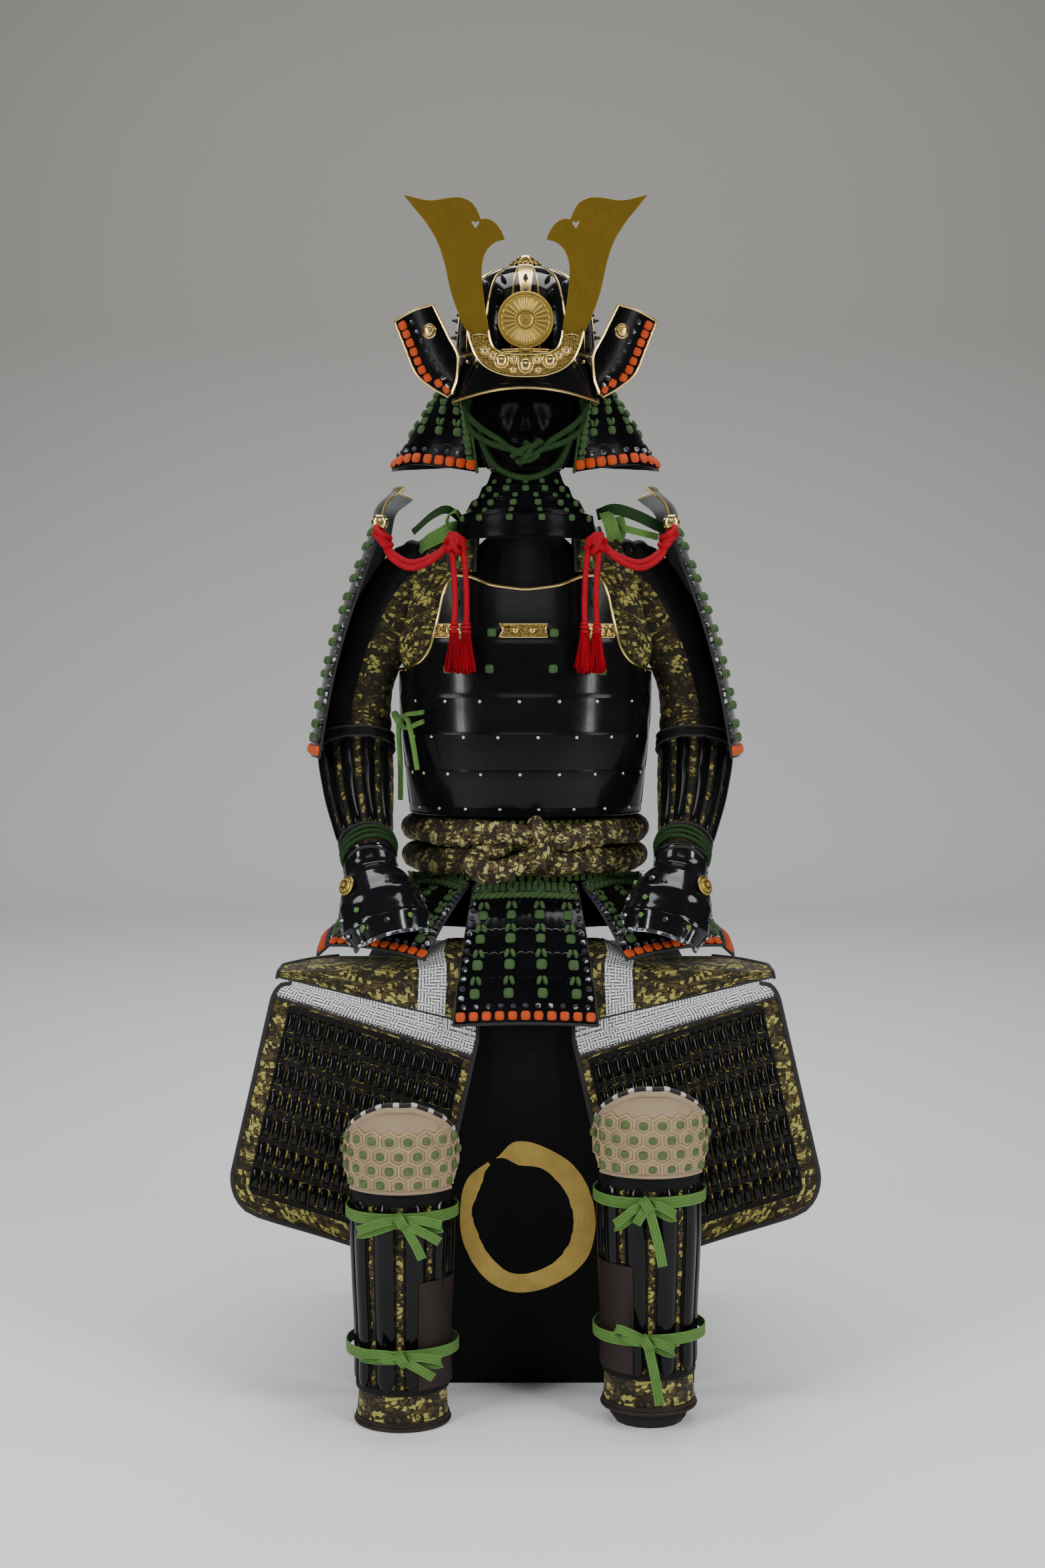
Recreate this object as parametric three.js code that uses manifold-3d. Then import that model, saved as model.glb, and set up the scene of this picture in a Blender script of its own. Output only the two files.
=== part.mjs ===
// A full suit of Japanese armour shown seated on its own storage chest. Millimetres, +Z up, the
// front faces -Y, and the origin is the centre of the chest's underside, on the floor.
// Side R is the wearer's right, at -X; side L is the wearer's left, at +X.
import * as THREE from "three";
import { mergeVertices } from "three/addons/utils/BufferGeometryUtils.js";
import Module from "manifold-3d";

const wasm = await Module();
wasm.setup();

// ---------------------------------------------------------------- driving sizes
const CHEST = { width: 440, depth: 400, body: 440, lid: 85, wall: 12 };
const GAP = 0.3;
const LID_TOP = CHEST.body + GAP + CHEST.lid;
const STEEL = 2.5; // plate of the torso, tassets and guards
const CLOTH = 2.5; // sleeves, thigh apron and shin cloth
const SQUARE = 2.4; // how square the torso's plan is: 2 is an ellipse
const SIDES = [
  { tag: "R", s: -1, lift: 0 },
  { tag: "L", s: 1, lift: 20 }, // the left shin guard stands higher on its foot
];

// torso plan by height
const TORSO = [
  { z: 733, halfX: 157, halfY: 117 },
  { z: 790, halfX: 163, halfY: 126 },
  { z: 840, halfX: 168, halfY: 131 },
  { z: 890, halfX: 171, halfY: 132 },
  { z: 935, halfX: 171, halfY: 129 },
  { z: 990, halfX: 168, halfY: 122 },
  { z: 1053, halfX: 164, halfY: 111 },
  { z: 1080, halfX: 162, halfY: 106 },
];
// top edge of the front and back plates by distance from the middle
const FRONT_TOP = [
  { x: 0, z: 1033 },
  { x: 45, z: 1039 },
  { x: 80, z: 1051 },
  { x: 94, z: 1052 },
  { x: 105, z: 1044 },
  { x: 113, z: 1024 },
  { x: 119, z: 990 },
  { x: 127, z: 956 },
  { x: 140, z: 938 },
  { x: 158, z: 930 },
  { x: 172, z: 927 },
];
const BACK_TOP = [
  { x: 0, z: 1072 },
  { x: 70, z: 1074 },
  { x: 95, z: 1068 },
  { x: 112, z: 1036 },
  { x: 124, z: 975 },
  { x: 148, z: 938 },
  { x: 172, z: 927 },
];
const TORSO_BOTTOM = 733;
// throat guard and mask: half widths and depths by height about a centre
const THROAT = { y: -60, reach: 75 };
const THROAT_ROWS = [
  { z: 1100, rx: 96, ry: 90 },
  { z: 1131, rx: 92, ry: 86 },
  { z: 1134, rx: 84, ry: 80 },
  { z: 1151, rx: 73, ry: 72 },
  { z: 1154, rx: 66, ry: 68 },
  { z: 1169, rx: 59, ry: 62 },
  { z: 1172, rx: 54, ry: 58 },
  { z: 1189, rx: 47, ry: 52 },
];
const MASK = { y: -55, reach: 76 };
const MASK_ROWS = [
  { z: 1193, rx: 50, ry: 74 },
  { z: 1215, rx: 60, ry: 86 },
  { z: 1240, rx: 66, ry: 90 },
  { z: 1265, rx: 69, ry: 91 },
  { z: 1290, rx: 70, ry: 88 },
];
// helmet
const BOWL = { y: -30, rx: 92, ry: 112, wall: 3 };
const BOWL_ROWS = [
  { z: 1322, k: 1.0 },
  { z: 1345, k: 1.0 },
  { z: 1372, k: 0.995 },
  { z: 1398, k: 0.965 },
  { z: 1420, k: 0.89 },
  { z: 1440, k: 0.76 },
  { z: 1454, k: 0.56 },
  { z: 1462, k: 0.32 },
];
const BOWL_TOP = 1465;
const FINIAL = [
  { r: 24, z: 1465.8 },
  { r: 24, z: 1469 },
  { r: 18, z: 1470 },
  { r: 18, z: 1473 },
  { r: 12, z: 1474 },
  { r: 12, z: 1478 },
  { r: 6, z: 1481 },
];
const VISOR = { reach: 58, top: 1338, bottom: 1289, droop: 5, outX: 112, outY: 138 };
// neck guard: its upper ring follows the bowl, its rim flares
const NECK = { y: -10, topZ: 1330, topRx: 97, topRy: 117, topFrom: 62, rimFrom: 40 };
const NECK_RIM = [
  { deg: 40, r: 100, z: 1188 },
  { deg: 60, r: 132, z: 1196 },
  { deg: 75, r: 160, z: 1201 },
  { deg: 95, r: 184, z: 1197 },
  { deg: 120, r: 194, z: 1205 },
  { deg: 150, r: 184, z: 1213 },
  { deg: 180, r: 178, z: 1216 },
];
// turned-back wing of the neck guard: inner and outer edge by share of its height
const WING = [
  { v: 0, inX: 121, inZ: 1403, outX: 172, outZ: 1385 },
  { v: 0.3, inX: 103, inZ: 1366, outX: 159, outZ: 1352 },
  { v: 0.6, inX: 88, inZ: 1332, outX: 144, outZ: 1317 },
  { v: 0.8, inX: 90, inZ: 1308, outX: 123, outZ: 1299 },
  { v: 1, inX: 97, inZ: 1288, outX: 101, outZ: 1286 },
];
const WING_Y = { root: -88, fold: -109, outer: -88 };
// horns and their holder stand in planes in front of the bowl
const HORN = { y: -165.5, thick: 2.2, side: 0.2748, midX: 750, footZ: 1361.6, footY: 740 };
const HOLDER = { y: -169.5, thick: 3 };
const DISC = { z: 1376, r: 36, y: -160, thick: 2.5 };
// shoulder guard: a curved panel outside the arm
const SODE = { front: -98, back: 102, topX: 190, spread: 84, bow: 12, bulge: 20, topZ: 1110, drop: 300 };
// sleeve: centre line from neck side to wrist, half sizes across it
const SLEEVE = [
  { x: 108, y: 5, z: 1064, r1: 44, r2: 46 },
  { x: 150, y: 5, z: 1054, r1: 46, r2: 54 },
  { x: 187, y: 4, z: 1004, r1: 45, r2: 56 },
  { x: 217, y: 0, z: 936, r1: 41, r2: 52 },
  { x: 231, y: -6, z: 866, r1: 46, r2: 50 },
  { x: 230, y: -20, z: 818, r1: 49, r2: 50 },
  { x: 223, y: -62, z: 768, r1: 45, r2: 46 },
  { x: 212, y: -114, z: 718, r1: 37, r2: 40 },
  { x: 203, y: -160, z: 676, r1: 29, r2: 33 },
];
const HAND = [
  { x: 200, y: -172, z: 662, w: 34, h: 24 },
  { x: 190, y: -204, z: 640, w: 49, h: 33 },
  { x: 179, y: -230, z: 611, w: 53, h: 32 },
  { x: 170, y: -246, z: 586, w: 44, h: 22 },
];
const HAND_UP = new THREE.Vector3(0.1, -0.62, 0.78); // back of the hand
// waist
const LACING = { rx: 128, ry: 92, top: 727, bottom: 645 };
const BELT = { rx: 152, ry: 112, r: 19, z: [712, 672.5], lowFront: 3 };
const KNOT = { x: 6, y: -151, z: 693, rx: 78, ry: 16.5, rz: 40 };
// tassets: upper corners (on the waist), lower corners, bulge across and along
const TASSET_TOP = 641;
const TASSETS = [
  { name: "tasset_front", a: [-68, -112], b: [68, -112], c: [-92, -246, 478], d: [92, -246, 478], across: 6, along: 16 },
  { name: "tasset_fore", side: true, a: [76, -106], b: [128, -44], c: [128, -236, 561], d: [262, -150, 567], across: 7, along: 5 },
  { name: "tasset_side", side: true, a: [132, -35], b: [132, 43], c: [276, -118, 549], d: [276, 108, 549], across: 8, along: 8 },
  { name: "tasset_back", side: true, a: [128, 52], b: [8, 112], c: [240, 132, 549], d: [10, 232, 532], across: 12, along: 8 },
];
// thigh apron: corners of the hanging panel and the line where it bends over the seat
const APRON = {
  outTop: [320, -204, 532], inTop: [62, -224, 456],
  outLow: [384, -240, 246], inLow: [126, -252, 168],
  crestY: -204, crestZ: 541, seatY: -185, seatZ: 546, backY: -100, seatOut: 314, seatIn: 66, backOut: 250, backIn: 72,
};
// shin guard
const SHIN = { x: 153, y: -324, reach: 155 };
const SHIN_ROWS = [
  { z: 2, rx: 57, ry: 50 },
  { z: 30, rx: 55, ry: 48 },
  { z: 100, rx: 54, ry: 47 },
  { z: 180, rx: 57, ry: 50 },
  { z: 250, rx: 59, ry: 51 },
  { z: 300, rx: 59, ry: 50 },
];
const KNEE_ROWS = [
  { z: 298, deg: 62, rx: 67, ry: 59 },
  { z: 318, deg: 76, rx: 68, ry: 61 },
  { z: 345, deg: 80, rx: 68, ry: 62 },
  { z: 370, deg: 62, rx: 67, ry: 60 },
  { z: 388, deg: 38, rx: 66, ry: 57 },
  { z: 399, deg: 15, rx: 65, ry: 53 },
];
const TIES = [
  { name: "shin_tie_high", z: 266 },
  { name: "shin_tie_low", z: 97 },
];

// ---------------------------------------------------------------- helpers
const V = (x, y, z) => new THREE.Vector3(x, y, z);
const rad = THREE.MathUtils.degToRad;
const mix = (a, b, t) => a + (b - a) * t;
const mixV = (a, b, t) => V(mix(a[0], b[0], t), mix(a[1], b[1], t), mix(a[2], b[2], t));
const steps = (n, a = 0, b = 1) => Array.from({ length: n + 1 }, (_, i) => mix(a, b, i / n));

// value of a column at x, through the table's rows by a smooth curve
function look(rows, key, col, x) {
  const n = rows.length;
  const up = rows[n - 1][key] > rows[0][key] ? 1 : -1;
  if ((x - rows[0][key]) * up <= 0) return rows[0][col];
  if ((x - rows[n - 1][key]) * up >= 0) return rows[n - 1][col];
  let i = 0;
  while ((x - rows[i + 1][key]) * up > 0) i++;
  const slope = (k) => (rows[k + 1][col] - rows[k][col]) / (rows[k + 1][key] - rows[k][key]);
  const tangent = (k) => {
    if (k === 0) return slope(0);
    if (k === n - 1) return slope(n - 2);
    const a = slope(k - 1), b = slope(k);
    return a * b <= 0 ? 0 : (2 * a * b) / (a + b);
  };
  const h = rows[i + 1][key] - rows[i][key], t = (x - rows[i][key]) / h;
  const t2 = t * t, t3 = t2 * t;
  return (2 * t3 - 3 * t2 + 1) * rows[i][col] + (t3 - 2 * t2 + t) * h * tangent(i) +
    (-2 * t3 + 3 * t2) * rows[i + 1][col] + (t3 - t2) * h * tangent(i + 1);
}

function solid(points, faces) {
  const g = new THREE.BufferGeometry();
  const p = new Float32Array(points.length * 3);
  points.forEach((q, i) => q.toArray(p, i * 3));
  let volume = 0;
  for (const [a, b, c] of faces) volume += points[a].dot(V(0, 0, 0).crossVectors(points[b], points[c]));
  g.setAttribute("position", new THREE.BufferAttribute(p, 3));
  g.setIndex(faces.flatMap(([a, b, c]) => (volume < 0 ? [a, c, b] : [a, b, c])));
  g.computeVertexNormals();
  return g;
}

// a wall on the surface f(u, v): its outer face stands out(u, v) above f and it is wall thick
function shell(f, us, vs, wall, { closed = false, out = () => 0 } = {}) {
  const nu = us.length - (closed ? 0 : 1), nv = vs.length - 1, cols = closed ? nu : nu + 1;
  const P = us.slice(0, cols).map((u) => vs.map((v) => f(u, v)));
  const at = (i, j) => P[closed ? (i + cols) % cols : Math.min(Math.max(i, 0), cols - 1)][Math.min(Math.max(j, 0), nv)];
  const pts = [], outer = [], inner = [];
  let flip = 1;
  { // the wall lies on the inner side: the side nearer the surface's middle
    const mid = at(cols >> 1, nv >> 1), c = V(0, 0, 0);
    P.flat().forEach((p) => c.addScaledVector(p, 1 / (cols * (nv + 1))));
    const n = normal(cols >> 1, nv >> 1);
    if (n.dot(V(0, 0, 0).subVectors(mid, c)) < 0) flip = -1;
  }
  function normal(i, j) {
    const du = V(0, 0, 0).subVectors(at(i + 1, j), at(i - 1, j));
    const dv = V(0, 0, 0).subVectors(at(i, j + 1), at(i, j - 1));
    return du.cross(dv).normalize();
  }
  for (let i = 0; i < cols; i++) {
    outer.push([]); inner.push([]);
    for (let j = 0; j <= nv; j++) {
      const n = normal(i, j).multiplyScalar(flip), o = out(us[i], vs[j]);
      outer[i].push(pts.push(P[i][j].clone().addScaledVector(n, o)) - 1);
      inner[i].push(pts.push(P[i][j].clone().addScaledVector(n, -wall)) - 1);
    }
  }
  const faces = [], quad = (a, b, c, d) => faces.push([a, b, c], [a, c, d]);
  const O = (i, j) => outer[i % cols][j], I = (i, j) => inner[i % cols][j];
  for (let i = 0; i < nu; i++) {
    for (let j = 0; j < nv; j++) {
      quad(O(i, j), O(i + 1, j), O(i + 1, j + 1), O(i, j + 1));
      quad(I(i, j), I(i, j + 1), I(i + 1, j + 1), I(i + 1, j));
    }
    quad(O(i + 1, 0), O(i, 0), I(i, 0), I(i + 1, 0));
    quad(O(i, nv), O(i + 1, nv), I(i + 1, nv), I(i, nv));
  }
  if (!closed)
    for (let j = 0; j < nv; j++) {
      quad(O(0, j), O(0, j + 1), I(0, j + 1), I(0, j));
      quad(O(nu, j + 1), O(nu, j), I(nu, j), I(nu, j + 1));
    }
  return solid(pts, faces);
}

// a filled form through rings of points, closed at both ends
function loft(rings) {
  const n = rings[0].length, pts = rings.flat(), faces = [];
  rings.slice(1).forEach((_, k) => {
    for (let i = 0; i < n; i++) {
      const a = k * n + i, b = k * n + ((i + 1) % n);
      faces.push([a, b, b + n], [a, b + n, a + n]);
    }
  });
  [[0, true], [rings.length - 1, false]].forEach(([k, start]) => {
    const c = V(0, 0, 0);
    rings[k].forEach((p) => c.addScaledVector(p, 1 / n));
    const m = pts.push(c) - 1;
    for (let i = 0; i < n; i++) {
      const a = k * n + i, b = k * n + ((i + 1) % n);
      faces.push(start ? [m, b, a] : [m, a, b]);
    }
  });
  return solid(pts, faces);
}

// an upright oval ring: x and y half sizes about a centre
const oval = (cx, cy, z, rx, ry, n, power = 2) =>
  steps(n - 1, 0, (n - 1) / n).map((t) => {
    const a = 2 * Math.PI * t, c = Math.cos(a), s = Math.sin(a), e = 2 / power;
    return V(cx + rx * Math.sign(s) * Math.abs(s) ** e, cy - ry * Math.sign(c) * Math.abs(c) ** e, z);
  });

// a rope closed on itself along ring(t), r thick
function hoop(ring, r, n, m) {
  const pts = [], faces = [];
  for (let i = 0; i < n; i++) {
    const c = ring(i / n), t = ring((i + 0.5) / n).sub(ring((i - 0.5) / n)).normalize();
    const up = V(0, 0, 1), side = V(0, 0, 0).crossVectors(t, up).normalize();
    up.crossVectors(side, t);
    for (let k = 0; k < m; k++) {
      const a = (2 * Math.PI * k) / m;
      pts.push(c.clone().addScaledVector(side, r * Math.cos(a)).addScaledVector(up, r * Math.sin(a)));
    }
  }
  for (let i = 0; i < n; i++)
    for (let k = 0; k < m; k++) {
      const a = i * m + k, b = i * m + ((k + 1) % m), c = ((i + 1) % n) * m + k, d = ((i + 1) % n) * m + ((k + 1) % m);
      faces.push([a, b, d], [a, d, c]);
    }
  return solid(pts, faces);
}

const toSolid = (geometry) => {
  const g = geometry.index ? geometry.toNonIndexed() : geometry.clone();
  const bare = new THREE.BufferGeometry().setAttribute("position", g.getAttribute("position"));
  const merged = mergeVertices(bare, 1e-3);
  return new wasm.Manifold(new wasm.Mesh({ numProp: 3, vertProperties: merged.attributes.position.array, triVerts: new Uint32Array(merged.index.array) }));
};
const toGeometry = (made) => {
  const m = made.getMesh(), v = new Float32Array(m.numVert * 3);
  for (let i = 0; i < m.numVert; i++) v.set(m.vertProperties.subarray(i * m.numProp, i * m.numProp + 3), i * 3);
  const g = new THREE.BufferGeometry().setAttribute("position", new THREE.BufferAttribute(v, 3));
  g.setIndex(new THREE.BufferAttribute(m.triVerts, 1));
  g.computeVertexNormals();
  return g;
};
const join = (...gs) => toGeometry(gs.map(toSolid).reduce((a, b) => a.add(b)));
const cut = (a, ...gs) => toGeometry(gs.map(toSolid).reduce((m, b) => m.subtract(b), toSolid(a)));
const block = (x0, x1, y0, y1, z0, z1) =>
  new THREE.BoxGeometry(x1 - x0, y1 - y0, z1 - z0).translate((x0 + x1) / 2, (y0 + y1) / 2, (z0 + z1) / 2);
const ball = (x, y, z, rx, ry, rz, n = 10, m = 6) => new THREE.SphereGeometry(1, n, m).rotateX(Math.PI / 2).scale(rx, ry, rz).translate(x, y, z);

// a round cord through the named stops
function cord(stops, r, sides = 8, per = 2.4) {
  const path = new THREE.CatmullRomCurve3(stops.map((p) => V(p.x, p.y, p.z)));
  const shape = new THREE.Shape(steps(sides - 1, 0, (sides - 1) / sides).map((t) => new THREE.Vector2(r * Math.cos(2 * Math.PI * t), r * Math.sin(2 * Math.PI * t))));
  return new THREE.ExtrudeGeometry(shape, { steps: Math.max(4, Math.round(path.getLength() / (2 * r * per))), bevelEnabled: false, extrudePath: path, curveSegments: 1 });
}

// a flat plate standing in an x-z plane, its outline given as [x, z], its front face at y
function standing(outline, holes, y, thick) {
  const turned = (list) => {
    const ring = list.map(([x, z]) => new THREE.Vector2(x, z));
    return THREE.ShapeUtils.isClockWise(ring) ? ring.reverse() : ring;
  };
  const shape = new THREE.Shape(turned(outline));
  holes.forEach((h) => shape.holes.push(new THREE.Path(turned(h))));
  const g = new THREE.ExtrudeGeometry(shape, { depth: thick, bevelEnabled: false, curveSegments: 4 });
  return g.rotateX(Math.PI / 2).translate(0, y + thick, 0);
}

const group = new THREE.Group();
const LOOKS = {
  lacquer: { color: 0x07070a, roughness: 0.22, metalness: 0.0 },
  torso: { color: 0x0b0c0e, roughness: 0.35, metalness: 0.3 },
  wood: { color: 0x0d0d0e, roughness: 0.6, metalness: 0.0 },
  gold: { color: 0x9a7424, roughness: 0.35, metalness: 1.0 },
  brocade: { color: 0x5a4a20, roughness: 0.7, metalness: 0.0 },
  black_cloth: { color: 0x08080a, roughness: 0.9, metalness: 0.0 },
  green_silk: { color: 0x2f6a2a, roughness: 0.7, metalness: 0.0 },
  red_silk: { color: 0x9e0c22, roughness: 0.6, metalness: 0.0 },
  leather: { color: 0xa98d74, roughness: 0.75, metalness: 0.0 },
};
function add(name, look, geometry) {
  const mesh = new THREE.Mesh(geometry, new THREE.MeshStandardMaterial(LOOKS[look]));
  mesh.name = name;
  group.add(mesh);
  return mesh;
}

// ---------------------------------------------------------------- storage chest
const { width: W, depth: D, body: HB, wall } = CHEST;
add("box_body", "wood", cut(
  block(-W / 2, W / 2, -D / 2, D / 2, 0, HB),
  block(-W / 2 + wall, W / 2 - wall, -D / 2 + wall, D / 2 - wall, wall, HB + 20)));
add("box_lid", "wood", cut(
  block(-W / 2, W / 2, -D / 2, D / 2, HB + GAP, LID_TOP),
  block(-W / 2 + wall, W / 2 - wall, -D / 2 + wall, D / 2 - wall, HB - 20, LID_TOP - wall)));

// ---------------------------------------------------------------- stand inside the suit
const FORM = [
  { z: 925, rx: 55, ry: 50, y: 0 },
  { z: 985, rx: 78, ry: 62, y: 0 },
  { z: 1050, rx: 84, ry: 60, y: 0 },
  { z: 1088, rx: 74, ry: 52, y: 0 },
  { z: 1108, rx: 52, ry: 46, y: -2 },
  { z: 1140, rx: 42, ry: 42, y: -8 },
  { z: 1185, rx: 42, ry: 44, y: -18 },
  { z: 1205, rx: 54, ry: 66, y: -30 },
  { z: 1245, rx: 62, ry: 80, y: -34 },
  { z: 1300, rx: 66, ry: 86, y: -34 },
  { z: 1350, rx: 64, ry: 84, y: -32 },
  { z: 1395, rx: 50, ry: 66, y: -31 },
  { z: 1415, rx: 24, ry: 32, y: -30 },
];
add("stand", "black_cloth", join(
  loft(FORM.map((r) => oval(0, r.y, r.z, r.rx, r.ry, 14))),
  block(-25, 25, -25, 25, LID_TOP + GAP, 940),
  block(-80, 80, -70, 70, LID_TOP + GAP, LID_TOP + 13),
  block(-300, 300, -192, -128, LID_TOP + GAP, LID_TOP + 12),
  block(-30, 30, -140, -60, LID_TOP + GAP, LID_TOP + 12)));

// ---------------------------------------------------------------- torso plates
const hoopPoint = (deg, z, grow = 0) => {
  const a = rad(deg), e = 2 / SQUARE, c = Math.cos(a), s = Math.sin(a);
  return V((look(TORSO, "z", "halfX", z) + grow) * Math.sign(s) * Math.abs(s) ** e,
    -(look(TORSO, "z", "halfY", z) + grow) * Math.sign(c) * Math.abs(c) ** e, z);
};
const torsoPlate = (top, facing) => (deg, v) => {
  const x = Math.abs(hoopPoint(deg, 1000).x) * (171 / look(TORSO, "z", "halfX", 1000));
  return hoopPoint(deg + facing, mix(look(top, "x", "z", x), TORSO_BOTTOM, v));
};
const both = (list) => [...list.slice(1).reverse().map((d) => -d), ...list];
const FRONT_COLS = both([0, 12, 23, 30, 35, 40, 47, 58, 72, 87]);
const BACK_COLS = both([0, 14, 27, 36, 46, 60, 75, 87]);
add("torso_front", "torso", shell(torsoPlate(FRONT_TOP, 0), FRONT_COLS, [0, 0.25, 0.5, 0.78, 1], STEEL));
add("torso_back", "torso", shell(torsoPlate(BACK_TOP, 180), BACK_COLS, [0, 0.25, 0.5, 0.78, 1], STEEL));

const STRAP = [
  { t: 0, y: -103, z: 1057 },
  { t: 0.12, y: -97, z: 1074 },
  { t: 0.3, y: -74, z: 1094 },
  { t: 0.5, y: -30, z: 1114 },
  { t: 0.68, y: 20, z: 1121 },
  { t: 0.85, y: 70, z: 1113 },
  { t: 1, y: 104, z: 1084 },
];
const STRAP_X = 84, STRAP_HALF = 17;
for (const { tag, s } of SIDES)
  add("strap_" + tag, "brocade", shell((u, v) => V(s * (STRAP_X + STRAP_HALF * u), look(STRAP, "t", "y", v), look(STRAP, "t", "z", v)),
    [-1, 1], steps(7), 4));

// ---------------------------------------------------------------- throat guard and mask
const about = (rows, cy) => (deg, z) => V(look(rows, "z", "rx", z) * Math.sin(rad(deg)), cy - look(rows, "z", "ry", z) * Math.cos(rad(deg)), z);
add("throat_guard", "lacquer", shell(about(THROAT_ROWS, THROAT.y), steps(10, -THROAT.reach, THROAT.reach), [1100, 1132, 1151, 1170, 1189], STEEL));
add("mask", "lacquer", shell(about(MASK_ROWS, MASK.y), steps(10, -MASK.reach, MASK.reach), steps(4, 1193, 1290), STEEL));

// ---------------------------------------------------------------- helmet
{
  const n = 18, rows = [...BOWL_ROWS], wallAt = (k, z) => oval(0, BOWL.y, z, BOWL.rx * k, BOWL.ry * k, n);
  const outer = rows.map((r) => wallAt(r.k, r.z));
  const shrink = BOWL.wall / BOWL.rx;
  const inner = rows.map((r) => wallAt(r.k - shrink, Math.min(r.z, BOWL_TOP - BOWL.wall - (1 - r.k) * 2)));
  inner[0].forEach((p) => (p.z = rows[0].z));
  const pts = [...outer.flat(), V(0, BOWL.y, BOWL_TOP), ...inner.flat(), V(0, BOWL.y, BOWL_TOP - BOWL.wall)];
  const faces = [], m = rows.length, top = m * n, base = top + 1;
  for (let i = 0; i < n; i++) {
    const j = (i + 1) % n;
    for (let k = 0; k < m - 1; k++) {
      const a = k * n + i, b = k * n + j;
      faces.push([a, b, b + n], [a, b + n, a + n], [base + a, base + b + n, base + b], [base + a, base + a + n, base + b + n]);
    }
    faces.push([(m - 1) * n + i, (m - 1) * n + j, top], [base + (m - 1) * n + j, base + (m - 1) * n + i, base + m * n]);
    faces.push([j, i, base + i], [j, base + i, base + j]);
  }
  add("helmet_bowl", "lacquer", solid(pts, faces));
}
add("helmet_finial", "gold", new THREE.LatheGeometry([
  new THREE.Vector2(0, FINIAL[0].z), ...FINIAL.map((r) => new THREE.Vector2(r.r, r.z)), new THREE.Vector2(0, FINIAL.at(-1).z + 1)], 12)
  .rotateX(Math.PI / 2).translate(0, BOWL.y, 0));
add("helmet_visor", "lacquer", shell((deg, v) => V(
  mix(BOWL.rx + 3.4, VISOR.outX, v) * Math.sin(rad(deg)),
  BOWL.y - mix(BOWL.ry + 3.4, VISOR.outY, v) * Math.cos(rad(deg)),
  mix(VISOR.top, VISOR.bottom - VISOR.droop * (deg / VISOR.reach) ** 2, v)), steps(12, -VISOR.reach, VISOR.reach), [0, 0.5, 1], STEEL));

const neckGuard = (u, v) => {
  const a = mix(NECK.topFrom, 360 - NECK.topFrom, u), b = mix(NECK.rimFrom, 360 - NECK.rimFrom, u), w = b > 180 ? 360 - b : b;
  const r = look(NECK_RIM, "deg", "r", w), z = look(NECK_RIM, "deg", "z", w);
  const top = V(-NECK.topRx * Math.sin(rad(a)), BOWL.y - NECK.topRy * Math.cos(rad(a)), NECK.topZ);
  const rim = V(-r * Math.sin(rad(b)), NECK.y - r * 0.92 * Math.cos(rad(b)), z);
  return top.lerp(rim, v).add(V(0, 0, 7 * Math.sin(Math.PI * v)));
};
add("neck_guard", "lacquer", shell(neckGuard, steps(20), steps(3), STEEL));

const wing = (s) => (u, v) => {
  const at = (c) => look(WING, "v", c, v);
  if (u < 0.25) return V(s * mix(at("inX") + 2, at("inX"), u / 0.25), mix(WING_Y.root, WING_Y.fold, u / 0.25), at("inZ"));
  const t = (u - 0.25) / 0.75;
  return V(s * mix(at("inX"), at("outX"), t), mix(WING_Y.fold, WING_Y.outer, t) - 4 * Math.sin(Math.PI * t), mix(at("inZ"), at("outZ"), t));
};
for (const { tag, s } of SIDES)
  add("turnback_" + tag, "lacquer", shell(wing(s), [0, 0.25, 0.5, 0.75, 1], [0, 0.3, 0.6, 0.8, 1], 2));

// horn outline: top edge from the outer tip to the beak, then down the inner and up the outer edge
const HORN_EDGE = {
  top: [[188, 120], [300, 144], [400, 132], [460, 133], [510, 163], [533, 207], [541, 229], [575, 229], [610, 250], [640, 292], [651, 318]],
  inner: [[600, 335], [560, 376], [545, 430], [545, 500], [555, 600], [568, 680], [580, 745]],
  outer: [[492, 745], [466, 715], [440, 655], [405, 560], [375, 430], [340, 330], [290, 246], [235, 178]],
};
const HORN_EYE = [[500, 243], [508, 236], [516, 241], [526, 236], [533, 244], [528, 256], [518, 268], [508, 258]];
for (const { tag, s } of SIDES) {
  const real = ([x, y]) => [-s * (x - HORN.midX) * HORN.side, HORN.footZ + (HORN.footY - y) * HORN.side];
  const outline = [...HORN_EDGE.top, ...HORN_EDGE.inner, ...HORN_EDGE.outer].map(real);
  add("horn_" + tag, "gold", standing(outline, [HORN_EYE.map(real)], HORN.y, HORN.thick));
}
{ // the holder: a crescent with two points each side
  const half = [[0, 1303], [22, 1304], [44, 1311], [60, 1323], [69, 1341], [75, 1362], [63, 1353], [57, 1357], [49, 1361], [44, 1341], [32, 1334], [0, 1331]];
  const left = half.slice(1, -1).reverse().map(([x, z]) => [-x, z]);
  add("horn_base", "gold", standing([...half, ...left], [], HOLDER.y, HOLDER.thick));
}
add("crest_disc", "gold", join(
  new THREE.CylinderGeometry(DISC.r, DISC.r, DISC.thick, 28).translate(0, DISC.y, DISC.z),
  block(-5, 5, DISC.y - DISC.thick / 2, DISC.y + DISC.thick / 2, 1333, 1345)));

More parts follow.
